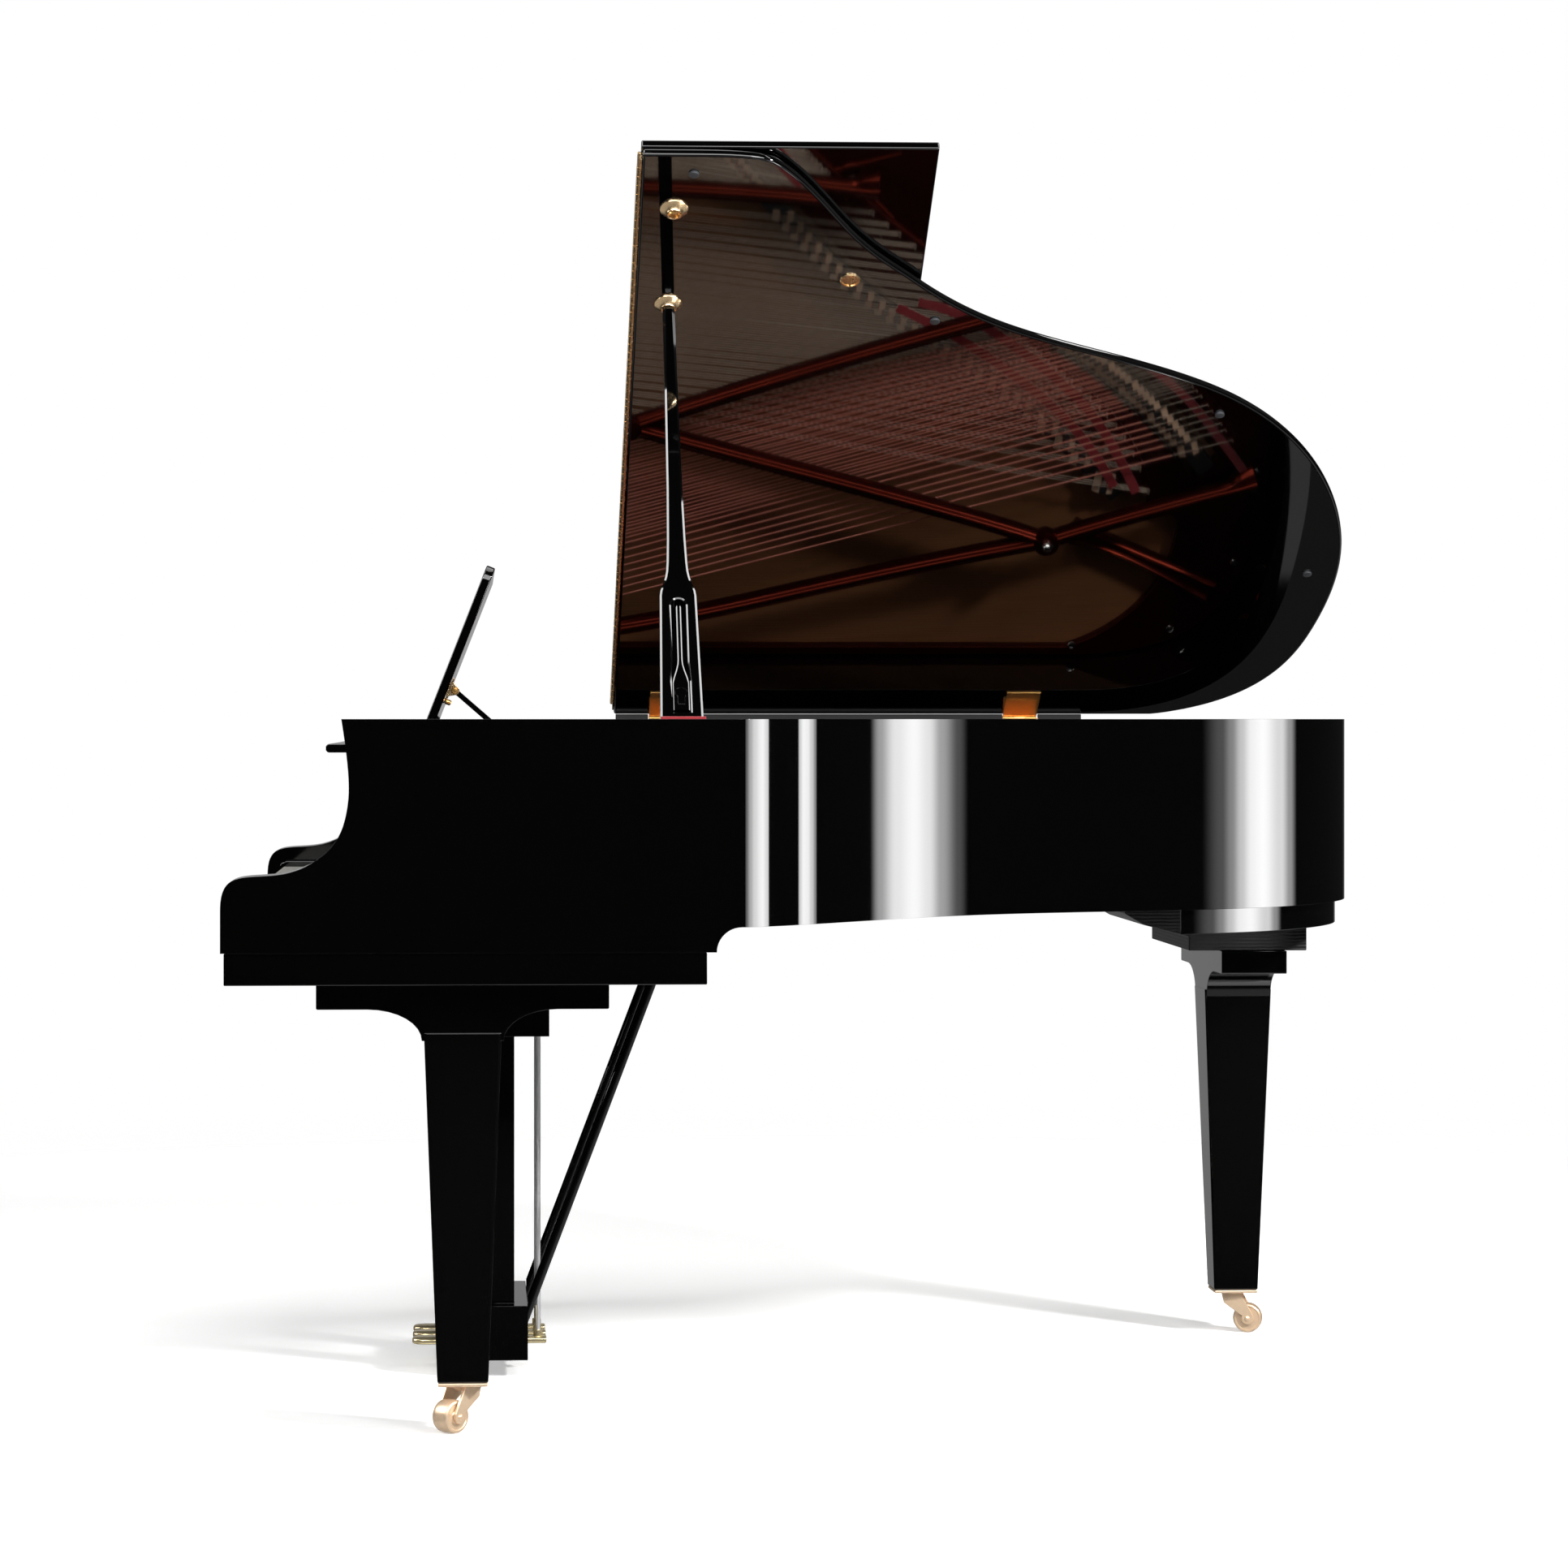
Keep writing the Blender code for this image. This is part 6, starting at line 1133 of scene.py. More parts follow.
# Long prop: a black lacquered beech stick on a pin inside the rim. Its broad foot has a round-topped
# groove, its shoulders draw in to a slim stem, and its end sits in the cup under the lid.
PROP_PIVOT = Vector((CASE_WIDTH - 0.067, PROP_Y, RIM_TOP - 0.022))
PROP_THICKNESS = 0.019
PROP_OUTLINE = [(0.0180, 0.0595), (0.2320, 0.0512), (0.2400, 0.0490), (0.2480, 0.0440), (0.2560, 0.0385),
                (0.2640, 0.0345), (0.2740, 0.0312), (0.2900, 0.0290), (0.3300, 0.0262), (0.4200, 0.0225),
                (0.6000, 0.0190)]
PROP_TIP = (0.0166, 0.0160)
PROP_NECK = 0.012
LUG_WIDTH = 0.026
CUP_REACH = 1.163
CUP_HEIGHT = 0.0115
mouth = LID_FOOT - 2 * GAP - CUP_HEIGHT - LID_AXIS.z
reach = Vector((LID_AXIS.x + CUP_REACH * math.cos(LID_LIFT) - mouth * math.sin(LID_LIFT) - PROP_PIVOT.x, 0,
                LID_AXIS.z + CUP_REACH * math.sin(LID_LIFT) + mouth * math.cos(LID_LIFT) - PROP_PIVOT.z))
lean = math.atan2(-reach.x, reach.z)
end_slope = math.tan(LID_LIFT - lean)
prop_place = (Matrix.Translation(CASE_CORNER + PROP_PIVOT) @ Matrix.Rotation(-lean, 4, "Y"))


def stick_section(width, thickness, across, deep, z, slope=0.0):
    """An eight-sided section of the prop whose corners are cut back across its face and into its side."""
    w, t = width / 2, thickness / 2
    corners = [(t, -w + across), (t, w - across), (t - deep, w), (-t + deep, w), (-t, w - across), (-t, -w + across),
               (-t + deep, -w), (t - deep, -w)]
    return [(x, y, z + slope * x) for x, y in corners]


def crisp(item, angle, place):
    """Smooth an object's faces, keep the edges above an angle sharp, and set it in place."""
    for face in item.data.polygons:
        face.use_smooth = True
    item.data.set_sharp_from_angle(angle=math.radians(angle))
    item.data.transform(place)
    return item


sections = [stick_section(LUG_WIDTH, PROP_THICKNESS, 0.0015, 0.0015, z) for z in (-PROP_THICKNESS / 2, 0.0165)]
sections += [stick_section(width, PROP_THICKNESS, 0.0028, 0.0012, z) for z, width in PROP_OUTLINE]
sections.append(stick_section(PROP_TIP[0] + 0.0012, PROP_TIP[1] + 0.0012, 0.0042, 0.0032, reach.length - PROP_NECK))
sections.append(stick_section(*PROP_TIP, 0.0044, 0.0040, reach.length, end_slope))
prop = object_from("long_prop_stick", lofted(sections), polyester)
face = PROP_THICKNESS / 2
GROOVE_DEPTH = 0.0095
slot = [(-0.0130, 0.032), (0.0130, 0.032), (0.0126, 0.085), (0.0106, 0.118), (0.0106, 0.215)]
slot += [(0.0106 * math.cos(a), 0.215 + 0.0106 * math.sin(a)) for a in (math.pi * i / 16 for i in range(1, 16))]
slot += [(-0.0106, 0.215), (-0.0106, 0.118), (-0.0126, 0.085)]
carve(prop, prism(slot, face - GROOVE_DEPTH, face + 0.01, "yz"))
bore = [(0.0035 * math.cos(a), 0.0035 * math.sin(a)) for a in (2 * math.pi * i / 16 for i in range(16))]
carve(prop, prism(bore, -0.03, 0.03, "xz"))
FLARE = 0.0022
flare_depth = 0.0009
open_slot = [Vector(point) for point in slot]
carve(prop, lofted([[(face - flare_depth * 1.1, *p) for p in beside(open_slot, -0.1 * FLARE)],
                    [(face + flare_depth, *p) for p in beside(open_slot, 2 * FLARE)]]))
crisp(prop, 15, prop_place)
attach(prop, "prop")
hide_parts("lid_prop")

# Short prop: a slim stick that lies in the long one's groove and swings out of it on a small keeper.
floor = face - GROOVE_DEPTH + GAP
SHORT_THICKNESS = 0.0075
half_outline = [(0.0118, 0.0365), (0.0118, 0.082), (0.0096, 0.092), (0.0062, 0.104), (0.0040, 0.114), (0.0034, 0.122),
                (0.0034, 0.212), (0.0026, 0.2155)]
outline = half_outline + [(-y, z) for y, z in half_outline[::-1]]
outline = [Vector(point) for point in outline]
top = floor + SHORT_THICKNESS
short = object_from("short_prop_stick", lofted([[(level, *p) for p in beside(outline, out)] for level, out in (
    (floor, 0), (top - 0.0007, 0), (top, -0.0016))]), polyester)
crisp(short, 15, Matrix())
ring = [(0.0088 * math.cos(a), 0.066 + 0.0080 * math.sin(a)) for a in (math.pi * (-0.3 + 1.6 * i / 20) for i in range(21))]
keeper_outline = [(0.0050, 0.046), *ring, (-0.0050, 0.046)]
keeper = object_from("keeper", prism(keeper_outline, top - 0.0006, top + 0.0009, "yz"), polyester)
rounded(keeper, 0.0004, 2, 25, Matrix())
joined(short, keeper)
short.data.transform(prop_place)
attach(short, "short_prop")
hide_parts("short_prop")

# Prop bracket inside the rim, of cast brass, and the red felt on the rim's top edge beside it.
foot = rounded(copy_of("prop_bracket", "prop_foot", brass), 0.0008, 2, place=Matrix())
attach(foot, "case")
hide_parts("prop_foot")
pad = box((CASE_WIDTH - 0.0405, CASE_WIDTH - 0.030), around(PROP_Y, 0.062), (RIM_TOP - 0.001, RIM_TOP + 0.0036))
pad = rounded(object_from("prop_side_felt", pad, red_felt), 0.001, 2)
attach(pad, "case")

# Lid seal: black felt glued along the bass side's top edge between the hinges, which closes the slit
# that the hinge pins leave under the lid.
black_felt, tree, shader = material("black_wool_felt", Sheen_Weight=0.2)
place = node(tree, "ShaderNodeTexCoord")
wool = node(tree, "ShaderNodeTexNoise", {"Scale": 800.0, "Detail": 5.0}, Vector=(place, "Object"))
tone = node(tree, "ShaderNodeMixRGB", {"Color1": linear("0C0C0D"), "Color2": linear("1B1B1C")}, Fac=(wool, "Fac"))
tree.links.new(tone.outputs["Color"], shader.inputs["Base Color"])
shader.inputs["Roughness"].default_value = 0.95
nap = node(tree, "ShaderNodeBump", {"Strength": 0.5, "Distance": 0.0006}, Height=(wool, "Fac"))
tree.links.new(nap.outputs["Normal"], shader.inputs["Normal"])
for i, span in enumerate(((0.582, 0.637), (0.697, 1.238), (1.298, 1.372))):
    seal = rounded(object_from(f"lid_seal_{i + 1}", box((0.0008, 0.0060), span, (RIM_TOP - 0.0030, 0.9884)), black_felt),
                   0.0008, 1)
    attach(seal, "case")

# White keys: 52 levers of spruce, each with a moulded acrylic top and front. The top overhangs its front
# by a little and is rubbed round at its edges; the keys stand about 1 mm apart.
KEYS_START = 0.1348
KEY_PITCH = 0.0235
KEY_SLIT = 0.001
KEY_FRONT = 0.0293
KEY_BACK = 0.470
KEY_TOP = RIM_TOP - 0.244
KEY_HEIGHT = 0.022
TOP_THICKNESS = 0.0026
TOP_BACK = 0.181
SHARP_SHIFT = {"A": 0.0027, "C": -0.0027, "D": 0.0027, "F": -0.0035, "G": 0.0}
SHARP_WIDTH = 0.0095
SHARP_FRONT = 0.083
WHITE_COUNT = 52
sharp_at = {}
for i in range(WHITE_COUNT - 1):
    if "ABCDEFG"[i % 7] in SHARP_SHIFT:
        sharp_at[i + 1] = KEYS_START + (i + 1) * KEY_PITCH + SHARP_SHIFT["ABCDEFG"[i % 7]]

acrylic, tree, shader = material("moulded_white_acrylic", Roughness=0.12, IOR=1.49)
place = node(tree, "ShaderNodeTexCoord")
cloud = node(tree, "ShaderNodeTexNoise", {"Scale": 12.0, "Detail": 2.0}, Vector=(place, "Object"))
tone = node(tree, "ShaderNodeMixRGB", {"Color1": linear("E9E6DC"), "Color2": linear("EFEDE5")}, Fac=(cloud, "Fac"))
tree.links.new(tone.outputs["Color"], shader.inputs["Base Color"])
sprucewood, tree, shader = material("planed_key_spruce", Roughness=0.5)
place = node(tree, "ShaderNodeTexCoord")
along = node(tree, "ShaderNodeMapping", {"Scale": (1.0, 0.03, 1.0)}, Vector=(place, "Object"))
grain = node(tree, "ShaderNodeTexNoise", {"Scale": 500.0, "Detail": 3.0}, Vector=(along, "Vector"))
tone = node(tree, "ShaderNodeMixRGB", {"Color1": linear("E3C99A"), "Color2": linear("C9A66E")}, Fac=(grain, "Fac"))
tree.links.new(tone.outputs["Color"], shader.inputs["Base Color"])


def key_outline(i, front, back, play):
    """A white key's plan: its full width at the front, and cut in behind where a black key stands."""
    left = KEYS_START + i * KEY_PITCH + KEY_SLIT / 2 + play
    right = left + KEY_PITCH - KEY_SLIT - 2 * play
    notch = SHARP_WIDTH / 2 + 0.0012
    turn = SHARP_FRONT - 0.002
    points = [(left, front), (right, front)]
    if i + 1 in sharp_at:
        points += [(right, turn), (sharp_at[i + 1] - notch, turn), (sharp_at[i + 1] - notch, back)]
    else:
        points.append((right, back))
    if i in sharp_at:
        points += [(sharp_at[i] + notch, back), (sharp_at[i] + notch, turn), (left, turn)]
    else:
        points.append((left, back))
    return points


tops, fronts, sticks = bmesh.new(), bmesh.new(), bmesh.new()
for i in range(WHITE_COUNT):
    prism(key_outline(i, KEY_FRONT, TOP_BACK, 0), KEY_TOP - TOP_THICKNESS, KEY_TOP, mesh=tops)
    left = KEYS_START + i * KEY_PITCH + KEY_SLIT / 2
    box((left + 0.0002, left + KEY_PITCH - KEY_SLIT - 0.0002), (KEY_FRONT + 0.0016, KEY_FRONT + 0.0040),
        (KEY_TOP - KEY_HEIGHT + 0.002, KEY_TOP - TOP_THICKNESS + 0.0004), fronts)
    prism(key_outline(i, KEY_FRONT + 0.0040, KEY_BACK, 0.0003), KEY_TOP - KEY_HEIGHT, KEY_TOP - TOP_THICKNESS,
          mesh=sticks)
white_tops = rounded(object_from("white_key_tops", tops, acrylic), 0.0008, 3, 40)
key_fronts = rounded(object_from("key_fronts", fronts, acrylic), 0.0005, 1, 40)
joined(white_tops, key_fronts)
white_sticks = rounded(object_from("white_key_sticks", sticks, sprucewood), 0.0003, 1, 40)
for piece in (white_tops, white_sticks):
    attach(piece, "natural_keys")
    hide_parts("natural_keys")

# Black keys: 36 levers with tops of black phenolic, narrower above than below, with a sloped nose and a
# satin finish; the levers under them are stained black in front.
SHARP_BACK = 0.236
CAP_BACK = 0.180
SHARP_RISE = 0.012
phenolic, tree, shader = material("satin_black_phenolic")
place = node(tree, "ShaderNodeTexCoord")
rubbed = node(tree, "ShaderNodeTexNoise", {"Scale": 300.0, "Detail": 3.0}, Vector=(place, "Object"))
tone = node(tree, "ShaderNodeMixRGB", {"Color1": linear("0B0B0C"), "Color2": linear("141415")}, Fac=(rubbed, "Fac"))
tree.links.new(tone.outputs["Color"], shader.inputs["Base Color"])
satin = node(tree, "ShaderNodeMapRange", {"To Min": 0.24, "To Max": 0.34}, Value=(rubbed, "Fac"))
tree.links.new(satin.outputs["Result"], shader.inputs["Roughness"])


def cap_section(y, rise, base=0.00475, top=0.0034):
    """A section across a black key's cap: wide at its foot, rounded at its upper corners."""
    low = -KEY_HEIGHT + 0.001
    corners = [(base, low), (base, 0.001), (top + 0.0005, rise - 0.0020), (top, rise - 0.0008), (top - 0.0011, rise)]
    return [(x, y, z) for x, z in corners] + [(-x, y, z) for x, z in corners[::-1]]


nose = [cap_section(SHARP_FRONT + step, rise) for step, rise in
        ((0, 0.0050), (0.0012, 0.0078), (0.0030, 0.0100), (0.0056, 0.0114), (0.0090, 0.0119))]
cap = lofted([*nose, cap_section(CAP_BACK - 0.002, SHARP_RISE), cap_section(CAP_BACK, SHARP_RISE - 0.0012)])
lofted([cap_section(CAP_BACK - 0.001, -0.001, 0.00475, 0.0040), cap_section(SHARP_BACK, -0.001, 0.00475, 0.0040)], cap)
part = object_from("sharp", cap, phenolic)
for face in part.data.polygons:
    face.use_smooth = True
part.data.set_sharp_from_angle(angle=math.radians(30))
black_keys = row("black_keys", part, [(x, 0, KEY_TOP) for x in sharp_at.values()], phenolic)
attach(black_keys, "sharp_keys")
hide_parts("sharp_keys")

# Hammers: 88 beech mouldings with egg-shaped heads of pressed white felt, on thin shanks from a maple
# rail. The whole action slides with the key frame for the soft pedal.
HAMMER_Y = 0.4585
HAMMER_TOP = RIM_TOP - 0.130
RAIL_FRONT = 0.380
RAIL_TOP = RIM_TOP - 0.194
hammer_felt, tree, shader = material("pressed_hammer_felt", Sheen_Weight=0.25)
place = node(tree, "ShaderNodeTexCoord")
wool = node(tree, "ShaderNodeTexNoise", {"Scale": 700.0, "Detail": 5.0}, Vector=(place, "Object"))
tone = node(tree, "ShaderNodeMixRGB", {"Color1": linear("DAD3C2"), "Color2": linear("EFEADF")}, Fac=(wool, "Fac"))
tree.links.new(tone.outputs["Color"], shader.inputs["Base Color"])
shader.inputs["Roughness"].default_value = 0.95
nap = node(tree, "ShaderNodeBump", {"Strength": 0.4, "Distance": 0.0006}, Height=(wool, "Fac"))
tree.links.new(nap.outputs["Normal"], shader.inputs["Normal"])
notes = [(run, BASS_LEVEL) for run in bass_notes] + [(run, TREBLE_LEVEL) for run in tenor_notes + treble_notes]
spots = [(run[0].x, HAMMER_Y, HAMMER_TOP) for run, level in notes]
right = [(0.0022, -0.0005), (0.0050, -0.0035), (0.0066, -0.0090), (0.0062, -0.0160), (0.0040, -0.0240)]
egg = [(-y, z) for y, z in right[::-1]] + [(0, 0)] + right
head = rounded(object_from("felt", prism(egg, -0.0043, 0.0043, "yz"), hammer_felt), 0.0010, 1, 60, Matrix())
heads = row("hammer_felts", head, spots, hammer_felt)
moulding = [(-0.0034, -0.012), (0.0034, -0.012), (0.0046, -0.026), (0.0040, -0.042), (-0.0040, -0.042),
            (-0.0046, -0.026)]
mesh = prism(moulding, -0.0038, 0.0038, "yz")
box((-0.0028, 0.0028), (RAIL_FRONT + 0.020 - HAMMER_Y, 0), (-0.0400, -0.0345), mesh)
box((-0.0040, 0.0040), (RAIL_FRONT + 0.004 - HAMMER_Y, RAIL_FRONT + 0.030 - HAMMER_Y), (-0.066, -0.034), mesh)
shank = rounded(object_from("moulding", mesh, maple), 0.0006, 1, 50, Matrix())
shanks = row("hammer_shanks", shank, spots, maple)
rail = rounded(object_from("hammer_rail", box((0.0960, 1.3955), (RAIL_FRONT, HAMMER_Y - 0.010),
                                              (RAIL_TOP - 0.028, RAIL_TOP)), maple), 0.0015, 2)
brackets = bmesh.new()
for x in (0.108, 0.490, 0.912, 1.380):
    prism([(RAIL_FRONT, RAIL_TOP - 0.020), (RAIL_FRONT + 0.055, RAIL_TOP - 0.020), (RAIL_FRONT + 0.050, 0.7140),
           (RAIL_FRONT + 0.010, 0.7140)], *around(x, 0.010), "yz", brackets)
brackets = rounded(object_from("action_brackets", brackets, brass), 0.001, 1)
for piece in (heads, shanks, rail, brackets):
    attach(piece, "key_frame")
    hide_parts("action_rail")
dress(["key_frame"], maple)

# Dampers: black lacquered heads of beech on the strings, each with a pad of white felt under it and a
# wire down between the strings to the rail that the right pedal lifts.
DAMPER_Y = 0.495
DAMPER_DEPTH = 0.020
DAMPER_RAIL_TOP = RIM_TOP - 0.207
STRUT_ROOM = 0.0145 + 0.0072
strut_x = (STRUT_LINES[1][0][0].x, STRUT_LINES[4][0][0].x)
pads, blocks, wires_down = [], [], []
for run, level in notes[:72]:
    low = level + (0.0038 if level == BASS_LEVEL else 0.0016)
    x = run[0].x + (run[2].x - run[0].x) * (DAMPER_Y - run[0].y) / (run[2].y - run[0].y)
    for middle in strut_x:
        if abs(x - middle) < STRUT_ROOM:
            x = middle + math.copysign(STRUT_ROOM, x - middle)
    pads.append((x, DAMPER_Y, low))
    blocks.append((x, DAMPER_Y, low + 0.0055))
    wires_down.append([(x, DAMPER_Y, DAMPER_RAIL_TOP - 0.004), (x, DAMPER_Y, low + 0.0065)])
wedge = [(-0.0010, 0), (0.0010, 0), (0.0038, 0.0056), (-0.0038, 0.0056)]
pad = object_from("pad", prism(wedge, -DAMPER_DEPTH / 2 + 0.001, DAMPER_DEPTH / 2 - 0.001, "xz"), hammer_felt)
pads = row("damper_felts", pad, pads, hammer_felt)
block = box(around(0, 0.0084), around(0, DAMPER_DEPTH), (0, 0.0155))
block = rounded(object_from("block", block, polyester), 0.0016, 2, 50, Matrix())
blocks = row("damper_heads", block, blocks, polyester)
places, edges = lines_mesh(wires_down)
rods = grow("damper_wires", wire_tree, {"Radius": 0.0009, "Sides": 6, "Finish": wire}, places, edges)
lift_rail = rounded(object_from("damper_lift_rail", box((0.1425, 1.1445), (DAMPER_Y - 0.006, BELLY_FRONT - 0.0005),
                                                        (DAMPER_RAIL_TOP - 0.015, DAMPER_RAIL_TOP)), maple), 0.001, 2)
for piece in (pads, blocks, rods, lift_rail):
    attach(piece, "dampers")
    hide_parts("damper_rail")

# Fallboard: one lacquered board with a rolled lip, which turns on a pin at each end. It stands open
# behind the keys, and its front is left plain.
fallboard = rounded(copy_of("fallboard_board", "fallboard", polyester), 0.0012, 2, place=Matrix())
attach(fallboard, "fallboard")
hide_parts("fallboard")

# Music tray and desk: the tray is a thin lacquered board that slides on the rim's ledges. The desk is a
# panel with rounded upper corners, hinged to it, which leans on a stay screwed to a brass clip.
tray = rounded(copy_of("music_tray_board", "music_tray", polyester), 0.0012, 2, place=Matrix())
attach(tray, "music_tray")
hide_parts("music_tray")
DESK_HINGE = Vector((CASE_WIDTH / 2, 0.273, RIM_TOP - 0.0397))
DESK_LEAN = math.radians(21.4)
DESK_WIDTH, DESK_HEIGHT, DESK_THICKNESS = 0.740, 0.276, 0.013
CORNER = 0.022
desk_place = Matrix.Translation(CASE_CORNER + DESK_HINGE) @ Matrix.Rotation(-DESK_LEAN, 4, "X")
half = DESK_WIDTH / 2
arc = [(half - CORNER + CORNER * math.cos(a), DESK_HEIGHT - CORNER + CORNER * math.sin(a))
       for a in (math.pi / 2 * i / 12 for i in range(13))]
outline = [(half, 0), *arc, *[(-x, z) for x, z in arc[::-1]], (-half, 0)]
desk = rounded(object_from("music_desk_panel", prism(outline, -DESK_THICKNESS, 0, "xz"), polyester), 0.002, 3,
               place=desk_place)
EAR_UP, EAR_BACK = 0.092, 0.008
ear_line = [(-0.001, EAR_UP - 0.013), *[(EAR_BACK + 0.0068 * math.cos(a), EAR_UP + 0.0068 * math.sin(a))
                                        for a in (math.pi * (-0.4 + 0.9 * i / 10) for i in range(11))],
            (-0.001, EAR_UP + 0.013)]
clip = bmesh.new()
for side in (-1, 1):
    middle = side * (0.015 + 0.001 + 0.003)
    prism(ear_line, *around(middle, 0.005), "yz", clip)
box(around(0, 0.044), (-0.0004, 0.0016), (EAR_UP - 0.017, EAR_UP + 0.017), clip)
clip = rounded(object_from("stay_clip", clip, brass), 0.0005, 2, place=desk_place)
turned_sideways = Matrix.Translation((0.0215, EAR_BACK, EAR_UP)) @ Matrix.Rotation(math.pi / 2, 4, "Y")
screw = turned("stay_screw", [(0.0030, -0.044), (0.0048, -0.0435), (0.0048, -0.0015), (0.0056, -0.0010), (0.0056, 0.0006),
                              (0.0044, 0.0018), (0.0016, 0.0022)], (0, 0), yellow_brass, 20, desk_place @ turned_sideways)
knob = turned("stay_stop", [(0.0030, -0.0005), (0.0042, 0.0010), (0.0042, 0.0070), (0.0034, 0.0085), (0.0012, 0.0090)],
              (0, 0), yellow_brass, 16, desk_place @ Matrix.Translation((0.018, 0.0006, EAR_UP - 0.020))
              @ Matrix.Rotation(-math.pi / 2, 4, "X"))
for piece in (desk, clip, screw, knob):
    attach(piece, "music_desk")
    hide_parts("music_desk")
stay = rounded(copy_of("desk_stay_bar", "desk_stay", polyester), 0.0012, 2, place=Matrix())
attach(stay, "desk_stay")
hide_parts("desk_stay")

# Lyre braces: two lacquered rods that run from the pedal box up and back to the keybed's underside.
BRACE_RADIUS = 0.0075
KEYBED_FOOT = 0.6192
BRACE_SPACING = 0.200
LYRE_BACK = 0.423
brace_foot, brace_top = (LYRE_BACK + GAP, 0.095), (0.622, KEYBED_FOOT - GAP)
run, rise_up = brace_top[0] - brace_foot[0], brace_top[1] - brace_foot[1]
slant = math.hypot(run, rise_up)
run, rise_up = run / slant, rise_up / slant
for name, side in (("bass", -1), ("treble", 1)):
    rings = [[], []]
    for i in range(24):
        a = 2 * math.pi * i / 24
        x = CASE_WIDTH / 2 + side * BRACE_SPACING / 2 + BRACE_RADIUS * math.cos(a)
        y, z = -BRACE_RADIUS * math.sin(a) * rise_up, BRACE_RADIUS * math.sin(a) * run
        rings[0].append((x, brace_foot[0], brace_foot[1] + z - y / run * rise_up))
        rings[1].append((x, brace_top[0] + y - z / rise_up * run, brace_top[1]))
    brace = rounded(object_from(f"lyre_rod_{name}", lofted(rings), polyester), 0.0006, 2)
    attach(brace, "case")
    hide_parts(f"lyre_brace_{name}")

# Pedals: cast brass levers with a broad rounded toe, polished bright, on an axle in the pedal box.
# Each one's back end lifts a steel rod that stands in a brass socket.
PEDAL_SPACING = 0.066
PEDAL_Z = 0.046
PEDAL_TIP = 0.250
PEDAL_TAIL = 0.452
ROD_Y = 0.439
PEDAL_SECTIONS = [(0.0002, 0.0060, 0.0020), (0.0010, 0.0112, 0.0036), (0.0030, 0.0152, 0.0050), (0.0080, 0.0186, 0.0058),
                  (0.0180, 0.0206, 0.0060), (0.0300, 0.0208, 0.0060), (0.0420, 0.0192, 0.0058), (0.0520, 0.0160, 0.0055),
                  (0.0620, 0.0136, 0.0055), (0.0800, 0.0130, 0.0055), (0.1990, 0.0130, 0.0055), (0.2018, 0.0112, 0.0046)]
pedal_brass, tree, shader = material("polished_pedal_brass", Metallic=0.75)
place = node(tree, "ShaderNodeTexCoord")
wear = node(tree, "ShaderNodeTexNoise", {"Scale": 45.0, "Detail": 3.0}, Vector=(place, "Object"))
tone = node(tree, "ShaderNodeMixRGB", {"Color1": linear("F3E6BE"), "Color2": linear("E6D19C")}, Fac=(wear, "Fac"))
tree.links.new(tone.outputs["Color"], shader.inputs["Base Color"])
rub = node(tree, "ShaderNodeMapRange", {"To Min": 0.14, "To Max": 0.24}, Value=(wear, "Fac"))
tree.links.new(rub.outputs["Result"], shader.inputs["Roughness"])
bright_steel, tree, shader = material("drawn_bright_steel", Metallic=0.7)
place = node(tree, "ShaderNodeTexCoord")
along = node(tree, "ShaderNodeMapping", {"Scale": (1.0, 1.0, 0.02)}, Vector=(place, "Object"))
draw = node(tree, "ShaderNodeTexNoise", {"Scale": 900.0, "Detail": 2.0}, Vector=(along, "Vector"))
tone = node(tree, "ShaderNodeMixRGB", {"Color1": linear("E6E6E8"), "Color2": linear("F2F2F3")}, Fac=(draw, "Fac"))
tree.links.new(tone.outputs["Color"], shader.inputs["Base Color"])
drawn = node(tree, "ShaderNodeMapRange", {"To Min": 0.16, "To Max": 0.28}, Value=(draw, "Fac"))
tree.links.new(drawn.outputs["Result"], shader.inputs["Roughness"])
for name, offset in (("left", -PEDAL_SPACING), ("middle", 0), ("right", PEDAL_SPACING)):
    x = CASE_WIDTH / 2 + offset
    rings = []
    for reach_in, wide, thick in PEDAL_SECTIONS:
        ring = []
        for i in range(24):
            a = 2 * math.pi * (i + 0.5) / 24
            across, up = math.cos(a), math.sin(a)
            ring.append((x + wide * math.copysign(abs(across) ** 0.6, across), PEDAL_TIP + reach_in,
                         PEDAL_Z + thick * math.copysign(abs(up) ** 0.7, up)))
        rings.append(ring)
    pedal = rounded(object_from(f"pedal_lever_{name}", lofted(rings), pedal_brass), 0.0004, 1, 50)
    socket = turned(f"pedal_socket_{name}", [(0.0066, PEDAL_Z + 0.0040), (0.0066, PEDAL_Z + 0.0128),
                                             (0.0058, PEDAL_Z + 0.0140), (0.0046, PEDAL_Z + 0.0142)], (x, ROD_Y), pedal_brass, 20)
    for piece in (pedal, socket):
        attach(piece, f"pedal_{name}")
        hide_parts(f"pedal_{name}")
    foot = PEDAL_Z + 0.0055 + GAP
    rod = turned(f"pedal_rod_bar_{name}", [(0.0034, foot), (0.0040, foot + 0.001), (0.0040, KEYBED_FOOT - 0.0125),
                                          (0.0034, KEYBED_FOOT - 0.0120)], (x, ROD_Y), bright_steel, 20)
    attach(rod, f"pedal_rod_{name}")
    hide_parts(f"pedal_rod_{name}")

